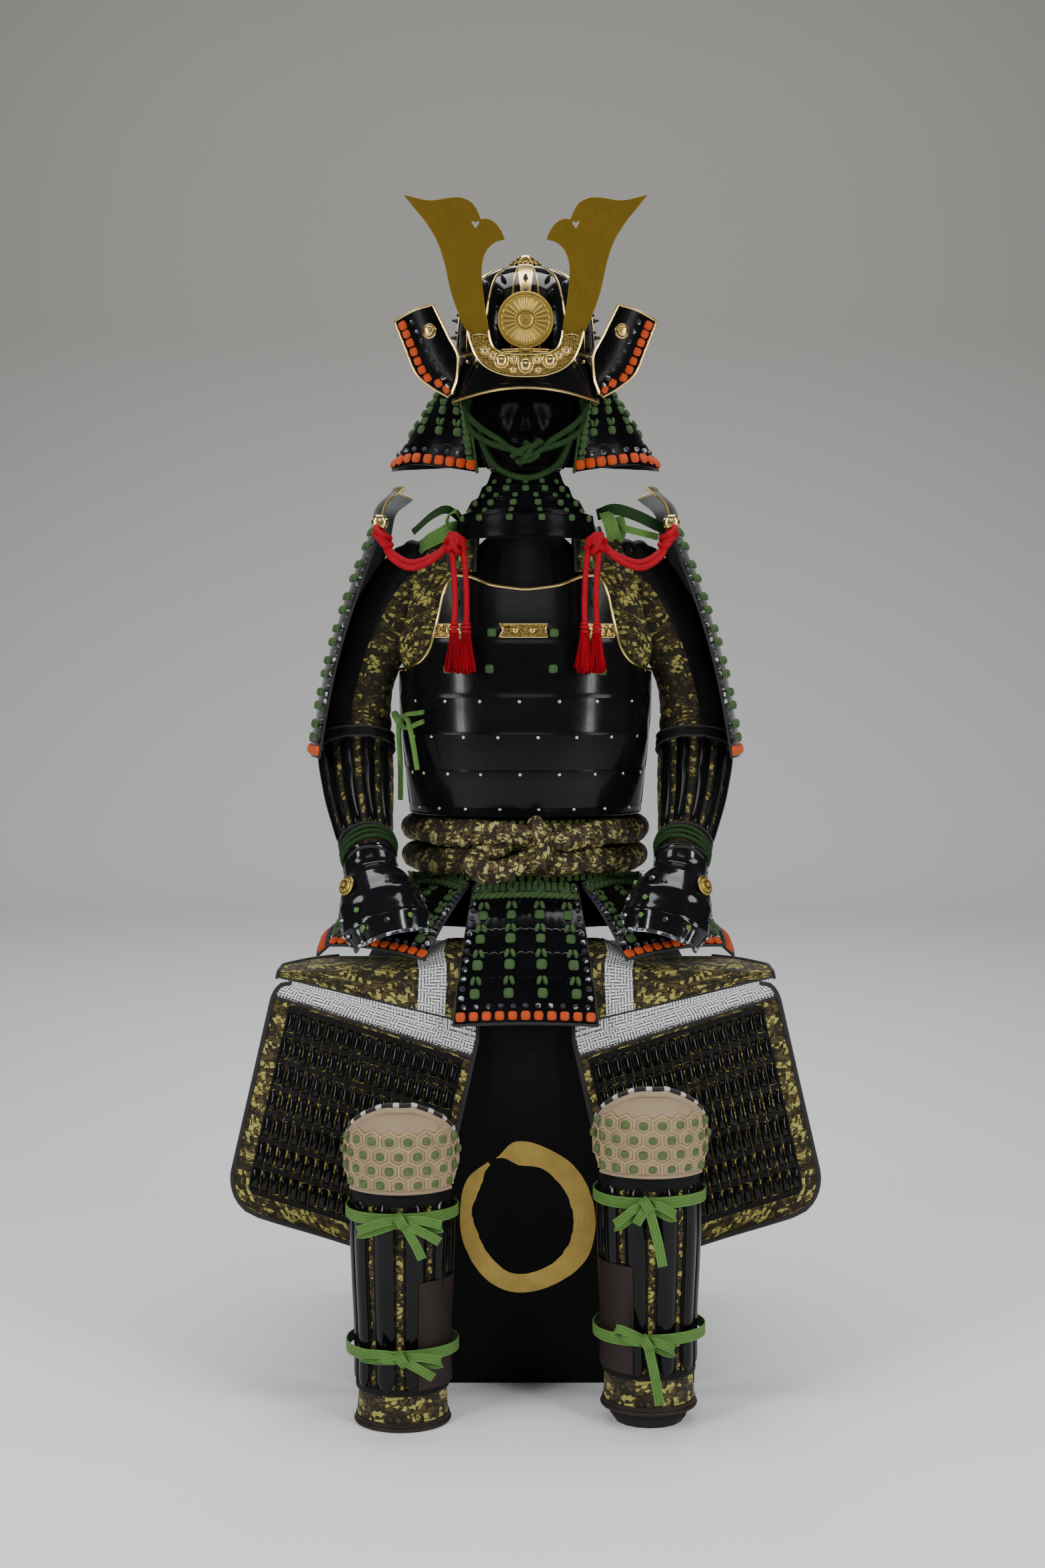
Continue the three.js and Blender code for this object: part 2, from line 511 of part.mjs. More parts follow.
// ---------------------------------------------------------------- shoulder guards
const sode = (s) => (u, v) => V(
  s * (SODE.topX + SODE.spread * v + SODE.bow * Math.sin(Math.PI * v) + SODE.bulge * (1 - (2 * u - 1) ** 2)),
  mix(SODE.front, SODE.back, u), SODE.topZ - SODE.drop * v);
for (const { tag, s } of SIDES) {
  add("shoulder_guard_" + tag, "lacquer", shell(sode(s), steps(6), steps(4), 3));
  const rise = [{ v: 0, dx: 2, z: 1112 }, { v: 0.5, dx: -4, z: 1142 }, { v: 1, dx: -30, z: 1170 }];
  const cap = shell((u, v) => {
    const p = sode(s)(u, 0);
    return V(p.x + s * look(rise, "v", "dx", v), p.y, look(rise, "v", "z", v));
  }, steps(6), steps(3), 2);
  const knob = new THREE.CylinderGeometry(11, 11, 17, 8).translate(s * 192, -103, 1121);
  add("shoulder_cap_" + tag, "gold", join(cap, knob));
}

// ---------------------------------------------------------------- sleeves, forearm splints, hand guards
const sleeveRows = SLEEVE.map((r, i) => ({ i, ...r }));
function across(s, i) {
  const at = (k) => V(s * look(sleeveRows, "i", "x", k), look(sleeveRows, "i", "y", k), look(sleeveRows, "i", "z", k));
  const c = at(i), t = at(Math.min(i + 0.05, 8)).sub(at(Math.max(i - 0.05, 0))).normalize();
  const b = V(0, 1, 0).addScaledVector(t, -t.y).normalize(), n = V(0, 0, 0).crossVectors(b, t).multiplyScalar(s);
  return { c, t, b, n };
}
// deg 0 is the outer side of the arm, 90 the back, 180 the body side, 270 the front
const sleeve = (s, grow = 0) => (deg, i) => {
  const { c, b, n } = across(s, i);
  return c.addScaledVector(n, -(look(sleeveRows, "i", "r1", i) + grow) * Math.cos(rad(deg)))
    .addScaledVector(b, (look(sleeveRows, "i", "r2", i) + grow) * Math.sin(rad(deg)));
};
const ribs = (from, to, count, share) => {
  const pitch = (to - from) / (count - 1 + share), cols = [];
  for (let k = 0; k < count; k++) cols.push(from + k * pitch, from + (k + share) * pitch);
  return cols;
};
for (const { tag, s } of SIDES) {
  const outDeg = 0;
  add("sleeve_" + tag, "brocade", shell(sleeve(s), steps(11, 0, 330), [0, 1, 2, 3, 4, 5, 6, 7, 8], CLOTH, { closed: true }));
  // splints: raised bars joined by a thin backing
  const bars = ribs(outDeg - 158, outDeg + 62, 7, 0.62), edge = 1.5, cols = [];
  bars.forEach((d, k) => cols.push(...(k % 2 ? [d, d + edge] : [d - edge, d])));
  const raised = (d) => bars.some((b, k) => k % 2 === 0 && d >= b - 0.01 && d <= bars[k + 1] + 0.01);
  add("forearm_splints_" + tag, "lacquer", shell(sleeve(s, 2.9), cols, [5.05, 5.9, 6.8, 7.55], 1.2, { out: (d) => (raised(d) ? 2 : 0.2) }));
  const h = (i) => V(s * look(HAND.map((r, k) => ({ k, ...r })), "k", "x", i), look(HAND.map((r, k) => ({ k, ...r })), "k", "y", i), look(HAND.map((r, k) => ({ k, ...r })), "k", "z", i));
  const handRows = HAND.map((r, k) => ({ k, ...r }));
  add("hand_guard_" + tag, "lacquer", shell((deg, i) => {
    const t = h(Math.min(i + 0.05, 3)).sub(h(Math.max(i - 0.05, 0))).normalize();
    const up = V(s * HAND_UP.x, HAND_UP.y, HAND_UP.z); up.addScaledVector(t, -up.dot(t)).normalize();
    const w = V(0, 0, 0).crossVectors(t, up);
    return h(i).addScaledVector(w, look(handRows, "k", "w", i) * Math.sin(rad(deg))).addScaledVector(up, look(handRows, "k", "h", i) * Math.cos(rad(deg)));
  }, steps(8, -96, 96), [0, 0.6, 1.3, 2, 2.6, 3], 2));
  add("wrist_tie_" + tag, "green_silk", shell(sleeve(s, 3.8), steps(11, 0, 330), [7.66, 7.9], 2.4, { closed: true }));
}

// ---------------------------------------------------------------- waist
add("waist_lacing", "green_silk", shell((deg, z) => V(LACING.rx * Math.sin(rad(deg)), -LACING.ry * Math.cos(rad(deg)), z), steps(19, 0, 342), [LACING.bottom, LACING.top], 3, { closed: true }));
["upper", "lower"].forEach((n, k) => add("belt_" + n, "brocade", hoop((t) => {
  const a = 2 * Math.PI * t;
  return V(BELT.rx * Math.sin(a), -BELT.ry * Math.cos(a), BELT.z[k] - BELT.lowFront * Math.cos(a));
}, BELT.r, 24, 8)));
add("belt_knot", "brocade", ball(KNOT.x, KNOT.y, KNOT.z, KNOT.rx, KNOT.ry, KNOT.rz, 12, 8));

for (const t of TASSETS)
  for (const { tag, s } of t.side ? SIDES : [{ tag: "", s: 1 }]) {
    const flip = ([x, y, z]) => [s * x, y, z ?? TASSET_TOP];
    const [a, b, c, d] = [t.a, t.b, t.c, t.d].map(flip);
    const patch = (u, v) => mixV(a, b, u).lerp(mixV(c, d, u), v);
    const e = V(0, 0, 0).subVectors(patch(1, 0.5), patch(0, 0.5)), f = V(0, 0, 0).subVectors(patch(0.5, 1), patch(0.5, 0));
    const n = e.cross(f).normalize();
    if (n.z < 0) n.negate();
    add(t.name + (tag ? "_" + tag : ""), "lacquer", shell((u, v) => patch(u, v)
      .addScaledVector(n, t.across * (1 - (2 * u - 1) ** 2) + t.along * Math.sin(Math.PI * v)), steps(5), steps(4), STEEL));
  }

// ---------------------------------------------------------------- thigh apron
for (const { tag, s } of SIDES) {
  const A = APRON, side = ([x, y, z]) => [s * x, y, z];
  const rows = [
    (u) => V(s * mix(A.backOut, A.backIn, u), A.backY, A.seatZ),
    (u) => V(s * mix(A.seatOut, A.seatIn, u), A.seatY, A.seatZ),
    (u) => V(s * mix(A.seatOut + 4, A.seatIn - 2, u), A.crestY, A.crestZ),
    ...steps(4).map((v) => (u) => mixV(side(A.outTop), side(A.inTop), u).lerp(mixV(side(A.outLow), side(A.inLow), u), v)
      .add(V(0, -7 * Math.sin(Math.PI * v) * Math.sin(Math.PI * u), 0))),
  ];
  add("thigh_apron_" + tag, "brocade", shell((u, k) => rows[k](u), steps(6), rows.map((_, k) => k), CLOTH));
}

// ---------------------------------------------------------------- shin guards
for (const { tag, s, lift } of SIDES) {
  const cx = s * SHIN.x, cy = SHIN.y;
  const leg = (grow) => (deg, z) => V(cx + (look(SHIN_ROWS, "z", "rx", z) + grow) * Math.sin(rad(deg)), cy - (look(SHIN_ROWS, "z", "ry", z) + grow) * Math.cos(rad(deg)), z + lift);
  add("shin_cloth_" + tag, "brocade", shell(leg(0), steps(14, -SHIN.reach, SHIN.reach), [2, 60, 130, 215, 300], CLOTH));
  const bars = ribs(-104, 104, 6, 0.62), cols = [];
  bars.forEach((d, k) => cols.push(...(k % 2 ? [d, d + 1.5] : [d - 1.5, d])));
  const raised = (d) => bars.some((b, k) => k % 2 === 0 && d >= b - 0.01 && d <= bars[k + 1] + 0.01);
  add("shin_splints_" + tag, "lacquer", shell(leg(3.3), cols, [46, 120, 205, 292], 1.2, { out: (d) => (raised(d) ? 2.2 : 0.2) }));
  add("knee_pad_" + tag, "leather", shell((u, z) => {
    const a = rad(u * look(KNEE_ROWS, "z", "deg", z));
    return V(cx + look(KNEE_ROWS, "z", "rx", z) * Math.sin(a), cy - look(KNEE_ROWS, "z", "ry", z) * Math.cos(a), z + lift);
  }, steps(8, -1, 1), [298, 318, 345, 370, 388, 399], 5));
  add("shin_base_" + tag, "black_cloth", loft([
    { z: 0, k: 0.86 }, { z: 8, k: 0.98 }, { z: 60, k: 1 }].map((r) => oval(cx, cy, r.z, 49 * r.k, 42 * r.k, 16))));
  for (const t of TIES) {
    const band = shell((deg, z) => V(cx + 67.5 * Math.sin(rad(deg)), cy - 59 * Math.cos(rad(deg)), z + lift), steps(15, 0, 337.5), [t.z - 7, t.z + 7], 1.4, { closed: true });
    add(t.name + "_" + tag, "green_silk", band);
  }
}

// ---------------------------------------------------------------- cords
add("chin_cord", "green_silk", cord([
  { x: -74, y: -98, z: 1282 }, { x: -76, y: -104, z: 1262 }, { x: -66, y: -127, z: 1236 }, { x: -40, y: -149, z: 1216 }, { x: 0, y: -158, z: 1206 },
  { x: 40, y: -149, z: 1216 }, { x: 66, y: -127, z: 1236 }, { x: 76, y: -104, z: 1262 }, { x: 74, y: -98, z: 1282 }], 3.5, 8, 2.6));
for (const { tag, s } of SIDES) {
  const loop = cord([{ x: s * 184, y: -106, z: 1102 }, { x: s * 176, y: -116, z: 1086 }, { x: s * 152, y: -121, z: 1070 }, { x: s * 122, y: -122, z: 1077 }, { x: s * 98, y: -122, z: 1092 }], 5);
  const fall = (x) => cord([{ x: s * x, y: -124, z: 1090 }, { x: s * (x + 1), y: -131, z: 1060 }, { x: s * (x - 1), y: -134, z: 1020 }, { x: s * x, y: -141, z: 985 }], 3.5, 8, 3.4);
  const tassel = (x, y) => loft([{ z: 993, r: 5 }, { z: 984, r: 8 }, { z: 976, r: 7 }, { z: 955, r: 10 }, { z: 924, r: 13 }].map((r) => oval(s * x, y, r.z, r.r, r.r * 0.7, 8)));
  add("red_cord_" + tag, "red_silk", join(loop, ball(s * 92, -123, 1093, 17, 10, 12, 8, 6), fall(78), fall(93), tassel(76.5, -145), tassel(96.5, -145)));
}
add("side_tie", "green_silk", cord([
  { x: -169, y: -52, z: 752 }, { x: -169, y: -52, z: 800 }, { x: -171, y: -54, z: 846 }, { x: -167, y: -72, z: 864 }, { x: -157, y: -97, z: 862 }, { x: -149, y: -111, z: 832 }, { x: -143, y: -117, z: 796 }], 3, 8, 3));

export default group;
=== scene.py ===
import bpy, math
import numpy as np
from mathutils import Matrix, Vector


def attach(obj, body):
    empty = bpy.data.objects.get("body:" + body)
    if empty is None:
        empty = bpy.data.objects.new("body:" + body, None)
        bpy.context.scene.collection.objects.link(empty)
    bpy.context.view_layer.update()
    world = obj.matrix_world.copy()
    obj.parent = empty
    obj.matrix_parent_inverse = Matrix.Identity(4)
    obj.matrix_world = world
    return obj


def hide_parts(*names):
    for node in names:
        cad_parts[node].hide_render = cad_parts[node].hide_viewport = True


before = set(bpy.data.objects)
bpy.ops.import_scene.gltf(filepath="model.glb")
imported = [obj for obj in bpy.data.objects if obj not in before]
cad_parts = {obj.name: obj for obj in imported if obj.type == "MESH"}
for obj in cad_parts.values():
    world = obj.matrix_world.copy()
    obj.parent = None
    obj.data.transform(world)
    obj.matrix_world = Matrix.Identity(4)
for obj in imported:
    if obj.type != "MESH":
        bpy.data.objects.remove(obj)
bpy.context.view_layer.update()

# Everything below is worked out in millimetres in the frame's own axes and written in metres.
RNG = np.random.default_rng(7)
SIDES = (("R", -1.0, 0.0), ("L", 1.0, 20.0))
T2 = 2 * math.pi


# ------------------------------------------------------------------ curves and grids
def pchip(xs, ys):
    xs, ys = np.array(xs, float), np.array(ys, float)
    if xs[-1] < xs[0]:
        xs, ys = xs[::-1], ys[::-1]
    d = np.diff(ys) / np.diff(xs)
    t = np.zeros(len(xs)); t[0], t[-1] = d[0], d[-1]
    a, b = d[:-1], d[1:]
    with np.errstate(divide="ignore", invalid="ignore"):
        t[1:-1] = np.where(a * b <= 0, 0, 2 * a * b / (a + b))
    def f(x):
        x = np.clip(np.asarray(x, float), xs[0], xs[-1])
        i = np.clip(np.searchsorted(xs, x, side="right") - 1, 0, len(xs) - 2)
        h = xs[i + 1] - xs[i]; s = (x - xs[i]) / h
        return ((2*s**3 - 3*s**2 + 1) * ys[i] + (s**3 - 2*s**2 + s) * h * t[i]
                + (-2*s**3 + 3*s**2) * ys[i + 1] + (s**3 - s**2) * h * t[i + 1])
    return f

def unit(v):
    n = np.linalg.norm(v, axis=-1, keepdims=True)
    return v / np.where(n < 1e-9, 1, n)

def smooth(e0, e1, x):
    t = np.clip((np.asarray(x, float) - e0) / (e1 - e0), 0, 1)
    return t * t * (3 - 2 * t)

def xyz(x, y, z):
    x, y, z = np.broadcast_arrays(np.asarray(x, float), y, z)
    return np.stack([x, y, z], -1)

def spline(pts, n, closed=False):
    """n points along a smooth curve through pts."""
    P = np.array(pts, float)
    if closed:
        P = np.vstack([P[-1], P, P[0], P[1]])
    else:
        P = np.vstack([2 * P[0] - P[1], P, 2 * P[-1] - P[-2]])
    out = []
    segs = len(P) - 3
    for k in range(segs):
        p0, p1, p2, p3 = P[k:k + 4]
        t = np.linspace(0, 1, 24, endpoint=False)[:, None]
        out.append(0.5 * (2*p1 + (p2 - p0)*t + (2*p0 - 5*p1 + 4*p2 - p3)*t**2 + (3*p1 - p0 - 3*p2 + p3)*t**3))
    out = np.vstack(out + [P[-2][None]])
    s = np.r_[0, np.cumsum(np.linalg.norm(np.diff(out, axis=0), axis=1))]
    q = np.linspace(0, s[-1], n + 1 if closed else n)
    R = np.stack([np.interp(q, s, out[:, k]) for k in range(P.shape[1])], 1)
    return R[:-1] if closed else R

def hash2(i, j, k=0):
    x = np.sin(np.asarray(i) * 12.9898 + np.asarray(j) * 78.233 + k * 37.719) * 43758.5453
    return x - np.floor(x)

def vnoise(x, y, z=0.0):
    """smooth value noise from -1 to 1"""
    x, y, z = np.broadcast_arrays(np.asarray(x, float), y, z)
    i, j, k = np.floor(x), np.floor(y), np.floor(z)
    f, g, h = x - i, y - j, z - k
    f, g, h = f*f*(3-2*f), g*g*(3-2*g), h*h*(3-2*h)
    r = 0
    for a in (0, 1):
        for b in (0, 1):
            for c in (0, 1):
                r = r + (f if a else 1-f) * (g if b else 1-g) * (h if c else 1-h) * hash2(i + a, j + b, k + c)
    return 2 * r - 1


class Mesh:
    """a mesh being put together from arrays: points in mm, faces with a material number and a uv per corner, in mm"""
    def __init__(self):
        self.V, self.F, self.n = [], [], 0
    def add(self, V, F, U=None, m=0):
        V = np.asarray(V, float).reshape(-1, 3); F = np.asarray(F, int)
        if U is None:
            U = np.zeros(F.shape + (2,))
        self.V.append(V); self.F.append((F + self.n, U, m)); self.n += len(V)
        return self
    def tris(self):
        return sum(len(F) * (F.shape[1] - 2) for F, _, _ in self.F)
    def join(self, other, m=None):
        for F, U, k in other.F:
            self.F.append((F + self.n, U, k if m is None else m))
        self.V += other.V; self.n += other.n
        return self
    def build(self, name, mats, ride="root", sharp=40, slot=None, replaces=()):
        me = bpy.data.meshes.new(name)
        V = np.vstack(self.V) * 0.001
        me.vertices.add(len(V)); me.vertices.foreach_set("co", V.astype(np.float32).ravel())
        loops = np.concatenate([F.ravel() for F, _, _ in self.F])
        sizes = np.concatenate([np.full(len(F), F.shape[1]) for F, _, _ in self.F])
        uv = np.concatenate([U.reshape(-1, 2) for _, U, _ in self.F])
        mi = np.concatenate([np.full(len(F), m) for F, _, m in self.F])
        me.loops.add(len(loops)); me.loops.foreach_set("vertex_index", loops.astype(np.int32))
        me.polygons.add(len(sizes))
        me.polygons.foreach_set("loop_start", np.r_[0, np.cumsum(sizes)[:-1]].astype(np.int32))
        me.update(calc_edges=True)
        me.polygons.foreach_set("material_index", mi.astype(np.int32))
        me.polygons.foreach_set("use_smooth", np.ones(len(sizes), bool))
        lay = me.uv_layers.new(name="st")
        lay.data.foreach_set("uv", (uv * 0.1).astype(np.float32).ravel())
        me.validate()
        if sharp:
            me.set_sharp_from_angle(angle=math.radians(sharp))
        ob = bpy.data.objects.new(name, me)
        bpy.context.scene.collection.objects.link(ob)
        for k in (mats if isinstance(mats, (list, tuple)) else [mats]):
            me.materials.append(k)
        return finish(ob, ride, replaces)

def finish(ob, ride="root", replaces=()):
    if ride:
        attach(ob, ride)
    if replaces:
        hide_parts(*replaces)
    return ob

def grid_faces(nu, nv, closed=False):
    i = np.arange(nu if closed else nu - 1)[:, None]; j = np.arange(nv - 1)[None, :]
    a, b = (i % nu) * nv + j, ((i + 1) % nu) * nv + j
    F = np.stack([a, b, b + 1, a + 1], -1).reshape(-1, 4)
    ua, ub = i * nv + j, (i + 1) * nv + j
    return F, np.stack([ua, ub, ub + 1, ua + 1], -1).reshape(-1, 4)

def arc_uv(P, closed=False):
    """length along u and v, in mm, at each point of a grid"""
    Q = np.concatenate([P, P[:1]]) if closed else P
    du = np.linalg.norm(np.diff(Q, axis=0), axis=2).mean(1)
    dv = np.linalg.norm(np.diff(Q, axis=1), axis=2).mean(0)
    u, v = np.r_[0, np.cumsum(du)], np.r_[0, np.cumsum(dv)]
    return np.stack(np.meshgrid(u, v, indexing="ij"), -1)

def normals(P, closed=False):
    if closed:
        du = np.roll(P, -1, 0) - np.roll(P, 1, 0)
    else:
        du = np.gradient(P, axis=0)
    return unit(np.cross(du, np.gradient(P, axis=1)))

def outward(P, N):
    mid = (P.shape[0] // 2, P.shape[1] // 2)
    return 1.0 if np.dot(N[mid], P[mid] - P.reshape(-1, 3).mean(0)) >= 0 else -1.0

def thinned(n, share, closed=False):
    """about share of the n grid lines, evenly spread, the edges kept"""
    k = max(8, int(round(n * share)))
    return np.unique(np.round(np.linspace(0, n, k, endpoint=False) if closed else np.linspace(0, n - 1, k)).astype(int))

def wall(mesh, P, t, closed=False, out=0.0, N=None, sgn=None, m=0, m_in=None, uv=None, detail=None):
    """a wall t thick inside the grid P, its outer face out above it"""
    nu, nv = P.shape[:2]
    if detail is None:
        detail = 0.57 if nu * nv > 3000 else 0.68 if nu * nv > 1500 or (nu * nv > 400 and nv > 20) else 1.0
    if N is None:
        N = normals(P, closed)
        sgn = outward(P, N) if sgn is None else sgn
        N = N * sgn
    else:
        sgn = 1.0 if np.mean(np.sum(normals(P, closed) * N, -1)) >= 0 else -1.0
    out = np.asarray(out, float)
    if out.ndim == 2:
        out = out[..., None]
    UV = arc_uv(P, closed) if uv is None else uv
    O, I = P + N * out, P - N * t
    whole = O
    if detail < 1:
        iu, iv = thinned(nu, detail, closed), thinned(nv, detail)
        O, I = O[np.ix_(iu, iv)], I[np.ix_(iu, iv)]
        UV = UV[np.ix_(np.r_[iu, nu] if closed else iu, iv)]
        nu, nv = len(iu), len(iv)
    UVf = UV.reshape(-1, 2)
    F, Fu = grid_faces(nu, nv, closed)
    if sgn < 0:
        F, Fu = F[:, ::-1], Fu[:, ::-1]
    A, B = O.reshape(-1, 3), I.reshape(-1, 3)
    e = np.linalg.norm(np.cross(A[F[:, 2]] - A[F[:, 0]], A[F[:, 3]] - A[F[:, 1]]), axis=1) > 1e-4
    k = nu * nv
    mesh.add(np.vstack([A, B]), F[e], UVf[Fu[e]], m)
    base = mesh.n - 2 * k
    F2, Fu2 = F[e][:, ::-1] + k, Fu[e][:, ::-1]
    mesh.F.append((F2 + base, UVf[Fu2], m if m_in is None else m_in))
    R = []
    iu = np.arange(nu if closed else nu - 1)
    a, b = iu * nv, ((iu + 1) % nu) * nv
    R.append((np.stack([b, a, a + k, b + k], 1), np.stack([(iu + 1) * nv, iu * nv, iu * nv, (iu + 1) * nv], 1)))
    a2, b2 = a + nv - 1, b + nv - 1
    R.append((np.stack([a2, b2, b2 + k, a2 + k], 1), np.stack([iu * nv + nv - 1, (iu + 1) * nv + nv - 1, (iu + 1) * nv + nv - 1, iu * nv + nv - 1], 1)))
    if not closed:
        j = np.arange(nv - 1)
        R.append((np.stack([j, j + 1, j + 1 + k, j + k], 1), np.stack([j, j + 1, j + 1, j], 1)))
        q = (nu - 1) * nv
        R.append((np.stack([q + j + 1, q + j, q + j + k, q + j + 1 + k], 1), np.stack([q + j + 1, q + j, q + j, q + j + 1], 1)))
    for f, u in R:
        if sgn < 0:
            f, u = f[:, ::-1], u[:, ::-1]
        mesh.F.append((f + base, UVf[u], m))
    return whole, N

def frames_along(P, closed=False, up=None):
    P = np.asarray(P, float)
    T = unit(np.roll(P, -1, 0) - np.roll(P, 1, 0)) if closed else unit(np.gradient(P, axis=0))
    if up is not None:
        up = np.broadcast_to(np.asarray(up, float), P.shape)
        N = unit(up - T * np.sum(up * T, -1, keepdims=True))
        return T, N, np.cross(T, N)
    n = np.cross(T[0], [0, 0, 1.0])
    if np.linalg.norm(n) < 0.1:
        n = np.cross(T[0], [1.0, 0, 0])
    N = [unit(n)]
    for k in range(1, len(P)):
        v = N[-1] - T[k] * np.dot(N[-1], T[k])
        N.append(unit(v))
    N = np.array(N)
    if closed:
        last = N[-1] - T[0] * np.dot(N[-1], T[0]); last = unit(last)
        a = math.atan2(np.dot(np.cross(last, N[0]), T[0]), np.dot(last, N[0]))
        k = np.linspace(0, a, len(P), endpoint=False)[:, None]
        B = np.cross(T, N)
        N = N * np.cos(k) + B * np.sin(k)
    return T, N, np.cross(T, N)

def tube(mesh, P, r, sides=8, closed=False, up=None, flat=1.0, caps=True, m=0, twist=0.0, lobes=0, depth=0.0, power=2.0):
    """a round, flat or lobed cord along P; r may vary; flat scales it along up"""
    P = np.asarray(P, float); n = len(P)
    T, N, B = frames_along(P, closed, up)
    s = np.r_[0, np.cumsum(np.linalg.norm(np.diff(P, axis=0), axis=1))]
    r = np.broadcast_to(np.asarray(r, float), (n,))
    if n > 20 and not lobes:
        i = thinned(n, 0.5, closed); P, T, N, B, s, r, n = P[i], T[i], N[i], B[i], s[i], r[i], len(i)
    a = np.linspace(0, T2, sides, endpoint=False)[None, :] + np.zeros((n, 1))
    rr = r[:, None] * (1 + (depth * np.cos(lobes * a + twist * s[:, None]) if lobes else 0))
    e = 2 / power
    c, w = np.sign(np.cos(a)) * abs(np.cos(a)) ** e, np.sign(np.sin(a)) * abs(np.sin(a)) ** e
    V = P[:, None, :] + N[:, None, :] * (rr * c * flat)[..., None] + B[:, None, :] * (rr * w)[..., None]
    V = np.transpose(V, (1, 0, 2))
    F, Fu = grid_faces(sides, n, True)
    circ = T2 * float(r.mean())
    UV = np.stack(np.meshgrid(np.linspace(0, circ, sides + 1), s, indexing="ij"), -1).reshape(-1, 2)
    mesh.add(V.reshape(-1, 3), F, UV[Fu], m)
    if closed:
        base = mesh.n - sides * n
        k = np.arange(sides); q = (k + 1) % sides
        mesh.F.append((np.stack([k * n + n - 1, q * n + n - 1, q * n, k * n], 1) + base,
                       np.stack([UV[k * n + n - 1], UV[(k + 1) * n + n - 1], UV[(k + 1) * n + n - 1], UV[k * n + n - 1]], 1), m))
    elif caps:
        for end, sg in ((0, -1), (n - 1, 1)):
            ring = V[:, end]; c0 = ring.mean(0) + sg * T[end] * float(r[end]) * 0.35
            mesh.add(np.vstack([ring, c0[None]]), [[(k + 1) % sides, k, sides] if sg < 0 else [k, (k + 1) % sides, sides] for k in range(sides)], None, m)
    return mesh

# small shapes that are set down many times: points, quads; z points away from the surface
def pillow(w, h, d, nu=8, nv=4, power=3.2, lift=0.0, cross=0.0):
    a = np.linspace(0, T2, nu, endpoint=False); b = np.linspace(0.0, math.pi / 2, nv + 1)
    e = 2 / power
    V = []
    for k, t in enumerate(b[:-1]):
        q = math.cos(t) ** (2 / 2.6)
        c, s = np.sign(np.cos(a)) * abs(np.cos(a)) ** e, np.sign(np.sin(a)) * abs(np.sin(a)) ** e
        V.append(np.stack([w / 2 * q * c, h / 2 * q * s, np.full(nu, d * math.sin(t) ** 0.8 + lift)], 1))
    V = np.vstack(V + [np.array([[0, 0, d + lift]])])
    F = [[k * nu + i, k * nu + (i + 1) % nu, (k + 1) * nu + (i + 1) % nu, (k + 1) * nu + i] for k in range(nv - 1) for i in range(nu)]
    top = [[(nv - 1) * nu + i, (nv - 1) * nu + (i + 1) % nu, nv * nu] for i in range(nu)]
    return V, np.array(F), np.array(top)

def cone(r, h, n=8, tip=0.25, neck=0.8):
    a = np.linspace(0, T2, n, endpoint=False)
    rows = [(r, 0), (r * 0.97, h * 0.25), (r * neck, h * 0.55), (r * tip * 1.6, h * 0.9)]
    V = np.vstack([np.stack([q * np.cos(a), q * np.sin(a), np.full(n, z)], 1) for q, z in rows] + [[[0, 0, h]]])
    F = [[k * n + i, k * n + (i + 1) % n, (k + 1) * n + (i + 1) % n, (k + 1) * n + i] for k in range(3) for i in range(n)]
    return V, np.array(F), np.array([[3 * n + i, 3 * n + (i + 1) % n, 4 * n] for i in range(n)])

def stamp(mesh, shape, O, X, N, m=0, scale=None):
    """sets shape down at each O, its x along X and its z along N"""
    O = np.atleast_2d(np.asarray(O, float)); N = unit(np.broadcast_to(np.asarray(N, float), O.shape))
    X = np.broadcast_to(np.asarray(X, float), O.shape)
    X = unit(X - N * np.sum(X * N, -1, keepdims=True)); Y = np.cross(N, X)
    V = shape[0]
    s = np.ones(len(O)) if scale is None else np.broadcast_to(scale, (len(O),))
    W = O[:, None] + s[:, None, None] * (V[None, :, 0:1] * X[:, None] + V[None, :, 1:2] * Y[:, None] + V[None, :, 2:3] * N[:, None])
    k = len(V); base = mesh.n
    mesh.V.append(W.reshape(-1, 3)); mesh.n += k * len(O)
    off = (np.arange(len(O)) * k)[:, None, None]
    for F in shape[1:]:
        F = np.asarray(F)
        U = np.broadcast_to(V[F][None, :, :, :2], (len(O),) + F.shape + (2,)) + (hash2(np.arange(len(O)), 3)[:, None, None, None] * 50)
        mesh.F.append(((F[None] + off + base).reshape(-1, F.shape[1]), U.reshape(-1, F.shape[1], 2), m))
    return mesh


